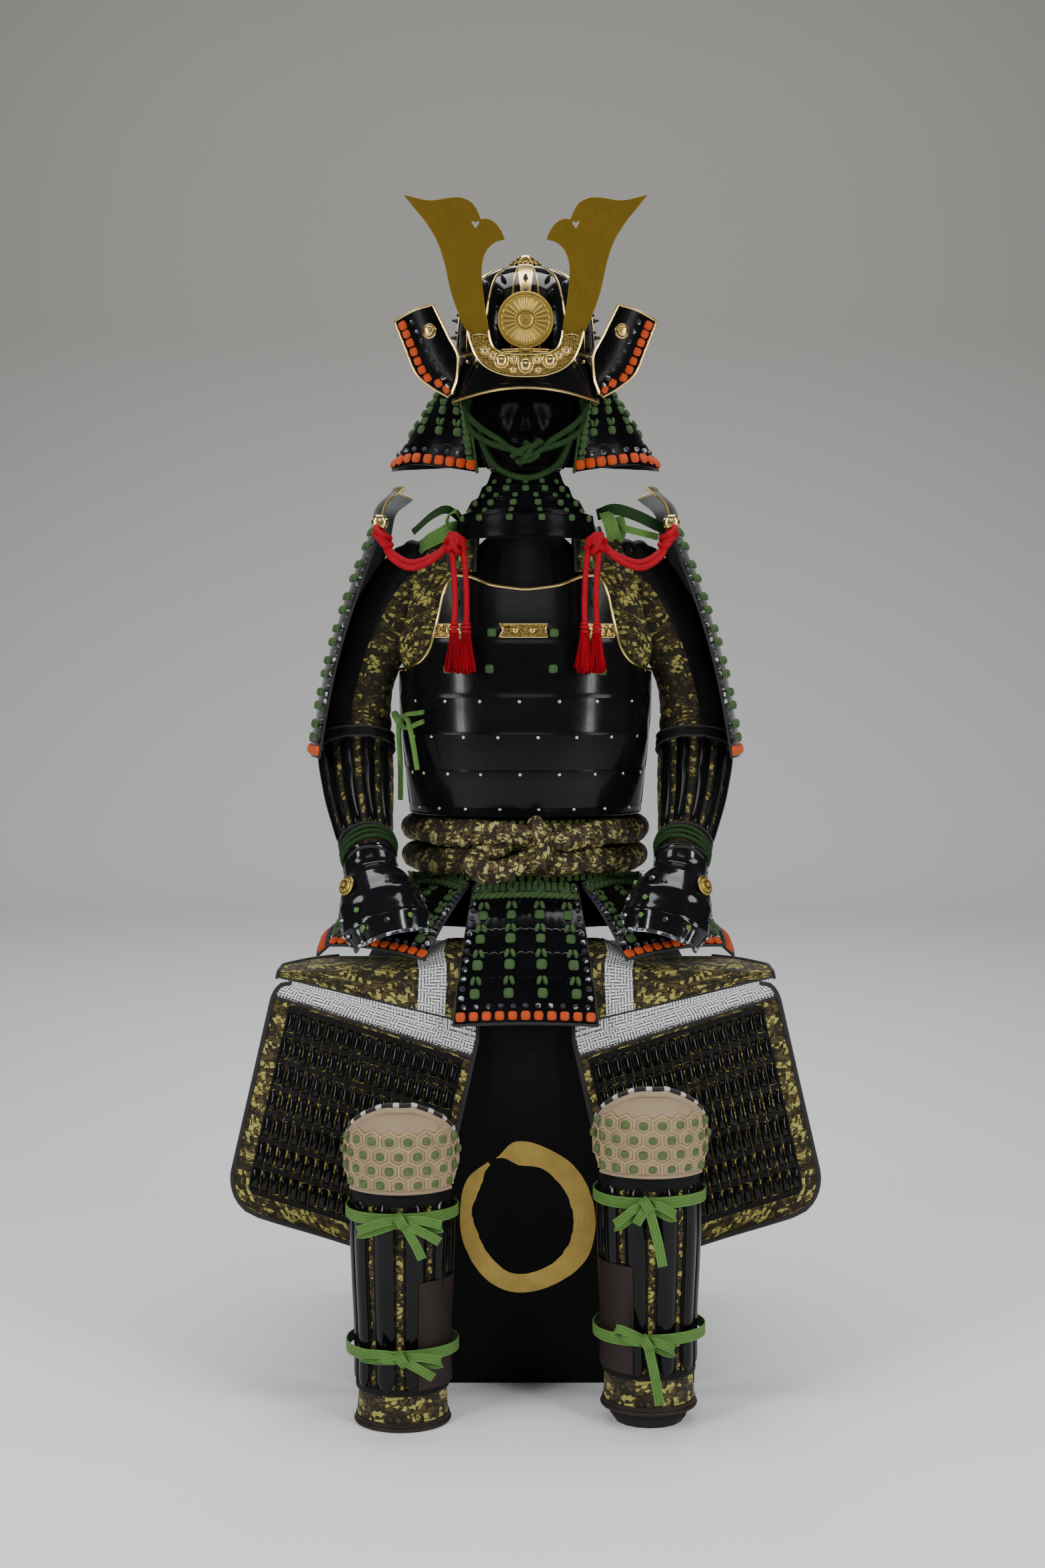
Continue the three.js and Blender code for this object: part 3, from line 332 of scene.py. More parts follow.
# ------------------------------------------------------------------ materials
class Net:
    """short names for building a node material"""
    def __init__(self, name):
        self.m = bpy.data.materials.new(name); self.m.use_nodes = True
        self.t = self.m.node_tree; self.t.nodes.clear()
        self.out = self.n("OutputMaterial"); self.b = self.n("BsdfPrincipled")
        self.l(self.b.outputs[0], self.out.inputs[0])
        self.co = self.n("TexCoord").outputs["Object"]
        u = self.n("UVMap"); u.uv_map = "st"; self.uv = u.outputs[0]
    def n(self, kind, **kw):
        x = self.t.nodes.new("ShaderNode" + kind)
        for k, v in kw.items():
            setattr(x, k, v)
        return x
    def l(self, a, b):
        self.t.links.new(a, b)
    def put(self, sock, v):
        if isinstance(v, bpy.types.NodeSocket):
            self.l(v, sock)
        elif isinstance(v, (tuple, list)) and len(v) == 3 and sock.type == "RGBA":
            sock.default_value = (*v, 1)
        else:
            sock.default_value = v
    def set(self, **kw):
        for k, v in kw.items():
            self.put(self.b.inputs[k.replace("_", " ")], v)
        return self
    def mapped(self, src=None, scale=(1, 1, 1), rot=(0, 0, 0), loc=(0, 0, 0)):
        x = self.n("Mapping"); self.put(x.inputs["Vector"], self.co if src is None else src)
        x.inputs["Scale"].default_value = scale; x.inputs["Rotation"].default_value = rot; x.inputs["Location"].default_value = loc
        return x.outputs[0]
    def noise(self, scale, detail=2.0, rough=0.5, src=None, color=False, distortion=0.0):
        x = self.n("TexNoise"); self.put(x.inputs["Vector"], self.co if src is None else src)
        x.inputs["Scale"].default_value = scale; x.inputs["Detail"].default_value = detail
        x.inputs["Roughness"].default_value = rough; x.inputs["Distortion"].default_value = distortion
        return x.outputs["Color" if color else "Fac"]
    def voronoi(self, scale, src=None, feature="F1", out="Distance", rand=1.0, metric="EUCLIDEAN", dims="3D"):
        x = self.n("TexVoronoi", feature=feature, voronoi_dimensions=dims)
        if feature in ("F1", "F2", "SMOOTH_F1"):
            x.distance = metric
        self.put(x.inputs["Vector"], self.co if src is None else src)
        x.inputs["Scale"].default_value = scale; x.inputs["Randomness"].default_value = rand
        return x.outputs[out]
    def wave(self, scale, src=None, distortion=0.0, direction="X", profile="SIN", detail=0.0, dscale=1.0):
        x = self.n("TexWave", wave_type="BANDS", bands_direction=direction, wave_profile=profile)
        self.put(x.inputs["Vector"], self.co if src is None else src)
        x.inputs["Scale"].default_value = scale; x.inputs["Distortion"].default_value = distortion
        x.inputs["Detail"].default_value = detail; x.inputs["Detail Scale"].default_value = dscale
        return x.outputs["Fac"]
    def math(self, op, a, b=0.0, c=0.0, clamp=False):
        x = self.n("Math", operation=op, use_clamp=clamp)
        for k, v in enumerate((a, b, c)):
            if k < len(x.inputs):
                self.put(x.inputs[k], v)
        return x.outputs[0]
    def ramp(self, fac, stops, interp="LINEAR"):
        x = self.n("ValToRGB"); self.put(x.inputs[0], fac); r = x.color_ramp; r.interpolation = interp
        while len(r.elements) < len(stops):
            r.elements.new(0.5)
        for e, (p, c) in zip(r.elements, stops):
            e.position = p; e.color = (*c, 1) if isinstance(c, (tuple, list)) else (c, c, c, 1)
        return x.outputs[0]
    def mix(self, fac, a, b, blend="MIX"):
        x = self.n("Mix", data_type="RGBA", blend_type=blend)
        self.put(x.inputs[0], fac); self.put(x.inputs[6], a); self.put(x.inputs[7], b)
        return x.outputs[2]
    def sep(self, v):
        x = self.n("SeparateXYZ"); self.put(x.inputs[0], v); return x.outputs
    def comb(self, a, b, c=0.0):
        x = self.n("CombineXYZ")
        for k, v in enumerate((a, b, c)):
            self.put(x.inputs[k], v)
        return x.outputs[0]
    def vmath(self, op, a, b=(0, 0, 0)):
        x = self.n("VectorMath", operation=op); self.put(x.inputs[0], a)
        if isinstance(b, bpy.types.NodeSocket): self.l(b, x.inputs[1])
        else: x.inputs[1].default_value = b
        return x.outputs[0]
    def bump(self, h, strength=0.3, dist=0.001, normal=None):
        x = self.n("Bump"); self.put(x.inputs["Height"], h)
        x.inputs["Strength"].default_value = strength; x.inputs["Distance"].default_value = dist
        if normal is not None:
            self.l(normal, x.inputs["Normal"])
        self.last = x.outputs[0]
        self.l(x.outputs[0], self.b.inputs["Normal"])
        return x.outputs[0]

def lacquer(name, base=(0.0035, 0.0035, 0.0045), rough=0.13, coat=1.0, scratch=0.05, vary=0.1, spec=0.3):
    k = Net(name)
    dust = k.noise(9, 5, 0.6); fine = k.noise(420, 3, 0.6)
    scr = k.noise(1.0, 4, 0.65, k.mapped(scale=(60, 900, 60), rot=(0.3, 0.2, 0.6)))
    k.set(Base_Color=k.mix(k.ramp(dust, [(0.35, 0.0), (0.75, 1.0)]), base, tuple(min(1, c * 1.8 + 0.002) for c in base)),
          Roughness=k.math("ADD", k.math("MULTIPLY", dust, vary), k.math("MULTIPLY", scr, 0.06 + rough - vary * 0.4)),
          Coat_Weight=coat * 0.45, Coat_Roughness=0.07, Coat_IOR=1.4, IOR=1.4, Specular_IOR_Level=spec)
    k.bump(k.math("ADD", k.math("MULTIPLY", fine, 0.35), k.noise(38, 2)), scratch, 0.0006)
    return k.m

def gold(name, base=(0.60, 0.40, 0.10), rough=0.32, mottled=0.5, brushed=0.0, engraved=0.0, scale=1.0):
    k = Net(name)
    blot = k.noise(28 * scale, 6, 0.65); fine = k.noise(260 * scale, 4, 0.7)
    dark = tuple(c * 0.55 for c in base)
    col = k.mix(k.math("MULTIPLY", k.ramp(blot, [(0.35, 0.0), (0.7, 1.0)]), mottled), base, dark)
    h = k.math("MULTIPLY", fine, 0.4)
    if brushed:
        line = k.noise(1.0, 5, 0.7, k.mapped(scale=(260, 30, 22), rot=(0, 0.5, 0)))
        line2 = k.noise(1.0, 5, 0.7, k.mapped(scale=(30, 30, 300), rot=(0, 0.35, 0)))
        line = k.math("ADD", k.math("MULTIPLY", line, 0.6), k.math("MULTIPLY", line2, 0.4))
        h = k.math("ADD", h, k.math("MULTIPLY", line, brushed))
        col = k.mix(k.math("MULTIPLY", k.ramp(line, [(0.4, 0.0), (0.62, 1.0)]), 0.35), col, dark)
    if engraved:
        scroll = k.voronoi(210 * scale, src=k.vmath("ADD", k.co, k.vmath("MULTIPLY", k.noise(90 * scale, 2, 0.5, color=True), (0.012, 0.012, 0.012))), feature="DISTANCE_TO_EDGE")
        cut = k.ramp(scroll, [(0.03, 0.0), (0.12, 1.0)])
        col = k.mix(cut, tuple(c * 0.12 for c in base), col)
        h = k.math("ADD", h, k.math("MULTIPLY", cut, engraved))
    k.set(Base_Color=col, Metallic=1.0, Roughness=k.math("ADD", k.math("MULTIPLY", blot, 0.22), rough - 0.08))
    k.bump(h, 0.25 if not engraved else 0.6, 0.0006)
    return k.m

def brocade(name, light=(0.42, 0.37, 0.09), mid=(0.085, 0.060, 0.016), dark=(0.005, 0.0035, 0.002), scale=1.0, tilt=0.5, rough=0.6, share=0.5):
    """leaves laid in plaits over a dark warp; the uv is in centimetres along the cloth"""
    k = Net(name)
    wob = k.noise(0.32 * scale, 1.5, 0.5, k.uv, color=True)
    uv = k.vmath("ADD", k.uv, k.vmath("MULTIPLY", k.vmath("SUBTRACT", wob, (0.5, 0.5, 0.5)), (1.5 / scale, 1.5 / scale, 0)))
    leafs, cols = [], []
    for a, off in ((tilt, 0.0), (-tilt, 3.7)):
        src = k.mapped(uv, scale=(0.70 * scale, 1.65 * scale, 1), rot=(0, 0, a), loc=(off, off * 1.7, 0))
        leafs.append(k.ramp(k.voronoi(1.0, src=src, dims="2D", feature="DISTANCE_TO_EDGE", rand=0.7), [(0.035, 0.0), (0.10, 1.0)]))
        cols.append(k.sep(k.voronoi(1.0, src=src, dims="2D", out="Color", rand=0.7))[0])
    side = k.ramp(k.wave(0.30 * scale, k.mapped(uv, rot=(0, 0, 0.25)), distortion=0.6), [(0.46, 0.0), (0.52, 1.0)])
    both = lambda q: k.math("ADD", k.math("MULTIPLY", q[0], side), k.math("MULTIPLY", q[1], k.math("SUBTRACT", 1.0, side)))
    leaf = both(leafs)
    group = k.noise(0.42 * scale, 1.0, 0.5, k.mapped(k.uv, scale=(0.8, 1.7, 1), rot=(0, 0, 0.3)))
    pick = k.math("ADD", k.math("MULTIPLY", both(cols), 0.48), k.math("MULTIPLY", group, 0.88))
    e = 0.98 - 0.34 * share
    brown = tuple(0.26 * m_ + 0.3 * d_ for m_, d_ in zip(mid, dark))
    tone = k.ramp(pick, [(0.0, brown), (e - 0.24, brown), (e - 0.22, mid), (e - 0.04, mid), (e - 0.02, light), (1.0, tuple(min(1, c * 1.2) for c in light))])
    warp = k.wave(9.0, k.uv, direction="Y"); weft = k.wave(12.0, k.uv, direction="X")
    thread = k.math("MULTIPLY", warp, weft)
    col = k.mix(leaf, dark, tone)
    col = k.mix(k.math("MULTIPLY", k.math("SUBTRACT", 1.0, thread), 0.16), col, dark)
    k.set(Base_Color=col, Roughness=k.math("SUBTRACT", rough, k.math("MULTIPLY", leaf, 0.12)), Specular_IOR_Level=0.3, Sheen_Weight=0.04, Sheen_Roughness=0.4)
    k.bump(k.math("ADD", k.math("MULTIPLY", leaf, 1.3), k.math("MULTIPLY", thread, 0.4)), 0.65, 0.0008)
    return k.m

def strands(name, base):
    """fine threads hanging side by side"""
    k = Net(name)
    fine = k.noise(1.0, 4, 0.7, k.mapped(k.uv, scale=(30, 0.5, 1))); blot = k.noise(90, 3, 0.6, k.mapped(scale=(1, 1, 0.12)))
    col = k.mix(k.ramp(k.math("MULTIPLY", k.math("ADD", fine, blot), 0.5), [(0.35, 1.0), (0.6, 0.0)]), base, tuple(c * 0.22 for c in base))
    k.set(Base_Color=col, Roughness=0.6, Specular_IOR_Level=0.08, Sheen_Weight=0.0)
    k.bump(fine, 0.5, 0.0006)
    return k.m

def silk(name, base, dark=None, rough=0.5, braid=2.6, strength=0.6, vary=0.35, sheen=0.25):
    """braided cord or ribbon: herringbone threads along the uv's second axis, in centimetres"""
    k = Net(name)
    dark = dark or tuple(c * 0.25 for c in base)
    u, v = k.sep(k.uv)[0], k.sep(k.uv)[1]
    zig = k.math("PINGPONG", u, 0.22)
    ph = k.math("ADD", k.math("MULTIPLY", v, braid), k.math("MULTIPLY", zig, braid * 1.3))
    h = k.math("ABSOLUTE", k.math("SINE", k.math("MULTIPLY", ph, math.pi * 2)))
    strand = k.math("ABSOLUTE", k.math("SINE", k.math("MULTIPLY", u, math.pi / 0.22)))
    h = k.math("MULTIPLY", k.math("POWER", h, 0.6), k.math("ADD", 0.35, k.math("MULTIPLY", k.math("POWER", strand, 0.5), 0.65)))
    blot = k.noise(60, 3, 0.6)
    col = k.mix(k.ramp(h, [(0.1, 1.0), (0.6, 0.0)]), tuple(min(1, c * 1.15) for c in base), dark)
    col = k.mix(k.math("MULTIPLY", k.ramp(blot, [(0.35, 0.0), (0.7, 1.0)]), vary), col, tuple(c * 0.55 for c in base))
    k.set(Base_Color=col, Roughness=rough, Sheen_Weight=sheen * 0.25, Sheen_Roughness=0.35, Specular_IOR_Level=0.2)
    k.bump(h, strength, 0.0008)
    return k.m

def knot_silk(name, base, dark=None, rough=0.5, vary=0.3):
    """cross-wrapped thread on a small knot"""
    k = Net(name)
    dark = dark or tuple(c * 0.3 for c in base)
    a = k.wave(7.0, k.mapped(k.uv, rot=(0, 0, 0.8)), distortion=1.0, dscale=2.0); b = k.wave(7.0, k.mapped(k.uv, rot=(0, 0, -0.75)), distortion=1.0)
    side = k.ramp(k.noise(1.3, 1, 0.5, k.uv), [(0.48, 0.0), (0.52, 1.0)])
    h = k.math("ADD", k.math("MULTIPLY", a, side), k.math("MULTIPLY", b, k.math("SUBTRACT", 1.0, side)))
    blot = k.noise(45, 2, 0.5)
    col = k.mix(k.ramp(h, [(0.05, 1.0), (0.5, 0.0)]), base, dark)
    col = k.mix(k.math("MULTIPLY", k.ramp(blot, [(0.4, 0.0), (0.65, 1.0)]), vary), col, tuple(c * 0.5 for c in base))
    k.set(Base_Color=col, Roughness=rough, Sheen_Weight=0.05, Sheen_Roughness=0.4, Specular_IOR_Level=0.25)
    k.bump(h, 0.7, 0.0008)
    return k.m

def mottled(name):
    """the black, white and blue-grey cord at the edges"""
    k = Net(name)
    c = k.voronoi(2.1, src=k.mapped(k.uv, scale=(1, 1.4, 1), rot=(0, 0, 0.6)), out="Color", dims="2D")
    s = k.sep(c)[0]
    col = k.ramp(s, [(0.0, (0.008, 0.008, 0.012)), (0.50, (0.01, 0.01, 0.016)), (0.54, (0.34, 0.36, 0.42)), (0.8, (0.62, 0.62, 0.60)), (0.92, (0.05, 0.05, 0.13))], "CONSTANT")
    w = k.wave(8.0, k.mapped(k.uv, rot=(0, 0, 0.8)), distortion=0.8)
    k.set(Base_Color=col, Roughness=0.5, Sheen_Weight=0.15, Sheen_Roughness=0.4)
    k.bump(w, 0.6, 0.0007)
    return k.m

def mail(name, pitch=3.2):
    """small black rings linked on a dark cloth"""
    k = Net(name)
    s = 10.0 / pitch
    q = k.mapped(k.uv, scale=(s, s, 1))
    fx = k.math("SUBTRACT", k.math("FRACT", k.sep(q)[0]), 0.5); fy = k.math("SUBTRACT", k.math("FRACT", k.sep(q)[1]), 0.5)
    r = k.math("SQRT", k.math("ADD", k.math("MULTIPLY", fx, fx), k.math("MULTIPLY", fy, fy)))
    ring = k.ramp(k.math("ABSOLUTE", k.math("SUBTRACT", r, 0.36)), [(0.07, 1.0), (0.17, 0.0)])
    k.set(Base_Color=k.mix(ring, (0.0015, 0.0015, 0.0015), (0.016, 0.016, 0.018)), Metallic=k.math("MULTIPLY", ring, 0.35),
          Roughness=k.math("SUBTRACT", 0.8, k.math("MULTIPLY", ring, 0.35)), Specular_IOR_Level=0.2)
    k.bump(ring, 1.0, 0.0016)
    return k.m

def cloth(name, base, rough=0.85, weave=9.0, vary=0.4, sheen=0.2, strength=0.35):
    k = Net(name)
    w = k.math("ADD", k.wave(weave, k.uv, direction="X"), k.wave(weave, k.uv, direction="Y"))
    blot = k.noise(14, 4, 0.6)
    col = k.mix(k.math("MULTIPLY", k.ramp(blot, [(0.35, 0.0), (0.7, 1.0)]), vary), base, tuple(c * 0.5 for c in base))
    col = k.mix(k.math("MULTIPLY", k.ramp(w, [(0.2, 1.0), (0.9, 0.0)]), 0.35), col, tuple(c * 0.35 for c in base))
    k.set(Base_Color=col, Roughness=rough, Sheen_Weight=sheen, Sheen_Roughness=0.5)
    k.bump(k.math("ADD", k.math("MULTIPLY", w, 0.5), blot), strength, 0.0008)
    return k.m

def hide(name, base, rough=0.6, grain=260.0, vary=0.4, strength=0.3, spec=0.25):
    k = Net(name)
    cell = k.voronoi(grain, feature="DISTANCE_TO_EDGE"); blot = k.noise(22, 5, 0.65)
    col = k.mix(k.math("MULTIPLY", k.ramp(blot, [(0.35, 0.0), (0.7, 1.0)]), vary), base, tuple(c * 0.62 for c in base))
    col = k.mix(k.ramp(cell, [(0.0, 0.35), (0.05, 0.0)]), col, tuple(c * 0.3 for c in base))
    k.set(Base_Color=col, Roughness=k.math("ADD", rough - 0.1, k.math("MULTIPLY", blot, 0.2)), Specular_IOR_Level=spec)
    k.bump(k.math("ADD", k.ramp(cell, [(0.0, 0.0), (0.09, 1.0)]), k.math("MULTIPLY", blot, 0.6)), strength, 0.0006)
    return k.m

def fret(name):
    """white leather printed with a key-fret of fine dark lines"""
    k = Net(name)
    cell = 0.40
    q = k.vmath("DIVIDE", k.uv, (cell, cell, 1))
    cx, cy = k.sep(q)[0], k.sep(q)[1]
    r = k.n("TexWhiteNoise", noise_dimensions="2D"); k.l(k.vmath("FLOOR", q), r.inputs["Vector"])
    pick = k.math("GREATER_THAN", r.outputs["Value"], 0.5)
    fx = k.math("PINGPONG", k.math("MULTIPLY", cx, 2.0), 1.0); fy = k.math("PINGPONG", k.math("MULTIPLY", cy, 2.0), 1.0)
    f = k.math("ADD", k.math("MULTIPLY", fx, pick), k.math("MULTIPLY", fy, k.math("SUBTRACT", 1.0, pick)))
    line = k.ramp(f, [(0.42, 1.0), (0.54, 0.0)])
    big = k.math("GREATER_THAN", k.noise(0.9, 2, 0.5, k.uv), 0.56)
    fade = k.ramp(k.noise(3.0, 3, 0.6, k.uv), [(0.3, 0.75), (0.6, 1.0)])
    line = k.math("MULTIPLY", line, fade)
    col = k.mix(line, (0.76, 0.77, 0.77), (0.035, 0.038, 0.05))
    k.set(Base_Color=col, Roughness=0.62)
    k.bump(k.math("SUBTRACT", k.noise(300, 3), k.math("MULTIPLY", line, 0.4)), 0.3, 0.0005)
    return k.m

M = dict(
    lac=lacquer("black_lacquer"),
    plate=lacquer("plate_lacquer", (0.0025, 0.0025, 0.003), 0.10, 0.7, 0.04),
    deep=lacquer("deep_lacquer", (0.002, 0.002, 0.0025), 0.34, 0.03, 0.04, spec=0.06),
    row=lacquer("row_lacquer", (0.002, 0.002, 0.0025), 0.15, 0.4, 0.04, spec=0.2),
    satin=lacquer("torso_satin", (0.003, 0.003, 0.0034), 0.24, 0.12, 0.04, 0.10, spec=0.2),
    cap=lacquer("cap_lacquer", (0.014, 0.014, 0.016), 0.3, 0.4),
    leaf=gold("horn_gold", (0.235, 0.152, 0.021), 0.45, 0.45, brushed=0.8),
    gold=gold("rim_gold", (0.72, 0.53, 0.20), 0.24, 0.25),
    boss=gold("boss_gold", (0.78, 0.60, 0.24), 0.18, 0.2),
    engr=gold("engraved_gold", (0.40, 0.275, 0.075), 0.32, 0.3, engraved=1.4),
    disc=gold("disc_gold", (0.42, 0.29, 0.07), 0.38, 0.5),
    emblem=gold("emblem_gold", (0.52, 0.36, 0.10), 0.45, 0.4, brushed=0.4),
    steel=gold("dark_steel", (0.10, 0.10, 0.115), 0.28, 0.3),
    rivet=gold("rivet_brass", (0.70, 0.62, 0.42), 0.25, 0.2),
    broc=brocade("brocade", share=0.5),
    # painted shade: a darker copy of the brocade, its leaves dimmed, for the sleeves and the strips between the apron
    # plates
    broc_shaded=brocade("brocade_painted_shade", scale=0.95, tilt=0.9, light=(0.33, 0.29, 0.075), mid=(0.065, 0.048, 0.012), share=0.34),
    broc_belt=brocade("brocade_belt", scale=1.0, tilt=1.15, light=(0.44, 0.39, 0.13), mid=(0.10, 0.066, 0.022), share=0.5),
    green=silk("green_braid", (0.100, 0.220, 0.045), braid=5.0, strength=0.45),
    green_cord=silk("green_cord", (0.017, 0.055, 0.011), (0.0015, 0.005, 0.001), rough=0.62, braid=2.2, strength=1.0, vary=0.5, sheen=0.0),
    green_knot=knot_silk("green_knot", (0.085, 0.185, 0.055)),
    orange=knot_silk("orange_knot", (0.90, 0.13, 0.02), (0.45, 0.03, 0.005), vary=0.15),
    mott=mottled("mottled_cord"),
    red=silk("crimson_cord", (0.40, 0.001, 0.012), (0.07, 0.0, 0.003), rough=0.62, braid=4.0, strength=0.6, vary=0.25, sheen=0.0),
    fringe=strands("crimson_fringe", (0.33, 0.001, 0.009)),
    mail=mail("mail"),
    black=cloth("black_cloth", (0.0045, 0.0045, 0.005), sheen=0.0),
    piping=cloth("piping", (0.012, 0.010, 0.009), sheen=0.15),
    brown=hide("brown_leather", (0.019, 0.0105, 0.008), 0.55),
    tan=hide("tan_leather", (0.46, 0.33, 0.24), 0.65, 320),
    pad=cloth("pad_cloth", (0.34, 0.25, 0.155), 0.8, vary=0.25, sheen=0.05),
    white=fret("fret_leather"),
    wood=hide("chest_lacquer", (0.0042, 0.0042, 0.0046), 0.55, 900.0, 0.35, 0.06, 0.09),
    mask=lacquer("mask_lacquer", (0.0018, 0.0018, 0.002), 0.32, 0.01, 0.03, spec=0.04),
    knee=knot_silk("knee_knot", (0.16, 0.23, 0.075)),
)


# ------------------------------------------------------------------ camera, light and floor
def area(name, loc, aim, size, power, color=(1, 1, 1)):
    d = bpy.data.lights.new(name, "AREA"); d.shape = "RECTANGLE"; d.size, d.size_y = size; d.energy = power; d.color = color
    o = bpy.data.objects.new(name, d); bpy.context.scene.collection.objects.link(o); o.location = loc
    o.rotation_euler = (Vector(aim) - Vector(loc)).to_track_quat("-Z", "Y").to_euler()
    return o

cam = bpy.data.cameras.new("camera"); cam_ob = bpy.data.objects.new("camera", cam)
bpy.context.scene.collection.objects.link(cam_ob); bpy.context.scene.camera = cam_ob
cam.sensor_width, cam.lens = 36.0, 47.9
cam_ob.location = (-0.004, -2.866, 0.953); cam_ob.rotation_euler = (math.radians(90 - 3.66), 0, 0)

world = bpy.data.worlds.new("studio"); bpy.context.scene.world = world; world.use_nodes = True
bg = world.node_tree.nodes["Background"]; bg.inputs[0].default_value = (0.80, 0.82, 0.85, 1); bg.inputs[1].default_value = 0.08
area("top_soft", (0, 0.2, 3.1), (0, 0.1, 0.8), (2.2, 1.4), 60)
area("side_R", (-1.75, -2.2, 1.05), (0, 0, 0.95), (0.36, 1.1), 26)
area("side_L", (1.75, -2.2, 1.05), (0, 0, 0.95), (0.36, 1.1), 26)
area("front_fill", (0, -4.0, 2.7), (0, 0, 0.7), (1.6, 0.8), 9)
area("back_wash", (0, 3.4, 3.7), (0, 6.2, 1.3), (6.0, 0.8), 62)
area("rear_fill", (0, 3.2, 2.6), (0, 0, 0.8), (2.0, 1.0), 22)
area("floor_wash_R", (-2.7, -2.3, 2.7), (-0.7, -1.3, 0), (1.4, 1.4), 50)
area("floor_wash_L", (2.7, -2.3, 2.7), (0.7, -1.3, 0), (1.4, 1.4), 50)

def sweep_backdrop():
    k = Net("backdrop"); z = k.sep(k.co)[2]
    # painted shade: the backdrop's colour runs from pale on the floor to grey up the wall, darker towards the top
    k.set(Base_Color=k.mix(k.ramp(k.math("DIVIDE", z, 4.2), [(0.0, 0.0), (0.55, 1.0)]), (0.92, 0.93, 0.93), (0.44, 0.43, 0.405)), Roughness=0.8)
    k.bump(k.noise(40, 3), 0.05, 0.001)
    prof = [(-8000, 0)] + [(4900 + 1300 * math.sin(a), 1300 - 1300 * math.cos(a)) for a in np.linspace(0, math.pi / 2, 20)] + [(6200, 7000)]
    P = np.array([[[x, y, z - 0.4] for y, z in prof] for x in (-40000, 40000)], float)
    m = Mesh(); F, Fu = grid_faces(2, len(prof)); UV = arc_uv(P).reshape(-1, 2)
    m.add(P.reshape(-1, 3), F, UV[Fu])
    m.build("studio_floor", k.m, ride=None, sharp=0)
sweep_backdrop()


# ------------------------------------------------------------------ the suit's surfaces, as in the CAD
TX, TY = (pchip([733, 790, 840, 890, 935, 990, 1053, 1080], r) for r in ([157, 163, 168, 171, 171, 168, 164, 162], [117, 126, 131, 132, 129, 122, 111, 106]))
F_TOP = pchip([0, 45, 80, 94, 105, 113, 119, 127, 140, 158, 172], [1033, 1039, 1051, 1052, 1044, 1024, 990, 956, 938, 930, 927])
B_TOP = pchip([0, 70, 95, 112, 124, 148, 172], [1072, 1074, 1068, 1036, 975, 938, 927])

def torso(deg, z, grow=0.0):
    a = np.radians(deg); c, s, e = np.cos(a), np.sin(a), 2 / 2.4
    return xyz((TX(z) + grow) * np.sign(s) * abs(s) ** e, -(TY(z) + grow) * np.sign(c) * abs(c) ** e, z)

def ring_fn(rows, cx=0.0, cy=0.0):
    z, rx, ry = zip(*rows); fx, fy = pchip(z, rx), pchip(z, ry)
    def f(deg, h, grow=0.0):
        return xyz(cx + (fx(h) + grow) * np.sin(np.radians(deg)), cy - (fy(h) + grow) * np.cos(np.radians(deg)), h)
    return f

throat = ring_fn([(1100, 96, 90), (1131, 92, 86), (1134, 84, 80), (1151, 73, 72), (1154, 66, 68), (1169, 59, 62), (1172, 54, 58), (1189, 47, 52)], 0, -60)
mask_f = ring_fn([(1193, 50, 74), (1215, 60, 86), (1240, 66, 90), (1265, 69, 91), (1290, 70, 88)], 0, -55)

SR = np.array([(108, 5, 1064, 44, 46), (150, 5, 1054, 46, 54), (187, 4, 1004, 45, 56), (217, 0, 936, 41, 52), (231, -6, 866, 46, 50),
               (230, -20, 818, 49, 50), (223, -62, 768, 45, 46), (212, -114, 718, 37, 40), (203, -160, 676, 29, 33)], float)
SF = [pchip(range(9), SR[:, k]) for k in range(5)]
def arm(s, deg, i, grow=0.0):
    deg, i, grow = np.broadcast_arrays(np.asarray(deg, float), i, grow)
    at = lambda k: xyz(s * SF[0](k), SF[1](k), SF[2](k))
    t = unit(at(np.minimum(i + 0.05, 8)) - at(np.maximum(i - 0.05, 0)))
    b = unit(np.array([0, 1.0, 0]) - t * t[..., 1:2]); n = np.cross(b, t) * s
    a = np.radians(deg)[..., None]
    return at(i) - n * (SF[3](i) + grow)[..., None] * np.cos(a) + b * (SF[4](i) + grow)[..., None] * np.sin(a)

HR = np.array([(200, -172, 662, 34, 24), (190, -204, 640, 49, 33), (179, -230, 611, 53, 32), (170, -246, 586, 44, 22)], float)
HF = [pchip(range(4), HR[:, k]) for k in range(5)]
def hand(s, deg, i, grow=0.0):
    deg, i = np.broadcast_arrays(np.asarray(deg, float), i)
    at = lambda k: xyz(s * HF[0](k), HF[1](k), HF[2](k))
    t = unit(at(np.minimum(i + 0.05, 3)) - at(np.maximum(i - 0.05, 0)))
    up = np.array([s * 0.1, -0.62, 0.78]); up = unit(up - t * np.sum(up * t, -1, keepdims=True)); w = np.cross(t, up)
    a = np.radians(deg)[..., None]
    return at(i) + w * ((HF[3](i) + grow)[..., None] * np.sin(a)) + up * ((HF[4](i) + grow)[..., None] * np.cos(a))

N_R, N_Z = pchip([40, 60, 75, 95, 120, 150, 180], [100, 132, 160, 184, 194, 184, 178]), pchip([40, 60, 75, 95, 120, 150, 180], [1188, 1196, 1201, 1197, 1205, 1213, 1216])
def neck(u, v):
    u, v = np.broadcast_arrays(np.asarray(u, float), v)
    a, b = np.radians(62 + 236 * u), 40 + 280 * u
    w = np.where(b > 180, 360 - b, b); r, z = N_R(w), N_Z(w); b = np.radians(b)
    top = xyz(-97 * np.sin(a), -30 - 117 * np.cos(a), 1330.0); rim = xyz(-r * np.sin(b), -10 - r * 0.92 * np.cos(b), z)
    P = top + (rim - top) * v[..., None]
    P[..., 2] += 7 * np.sin(math.pi * v)
    return P

def sode(s, u, v):
    u, v = np.broadcast_arrays(np.asarray(u, float), v)
    return xyz(s * (190 + 84 * v + 12 * np.sin(math.pi * v) + 20 * (1 - (2 * u - 1) ** 2)), -98 + 200 * u, 1110 - 300 * v)

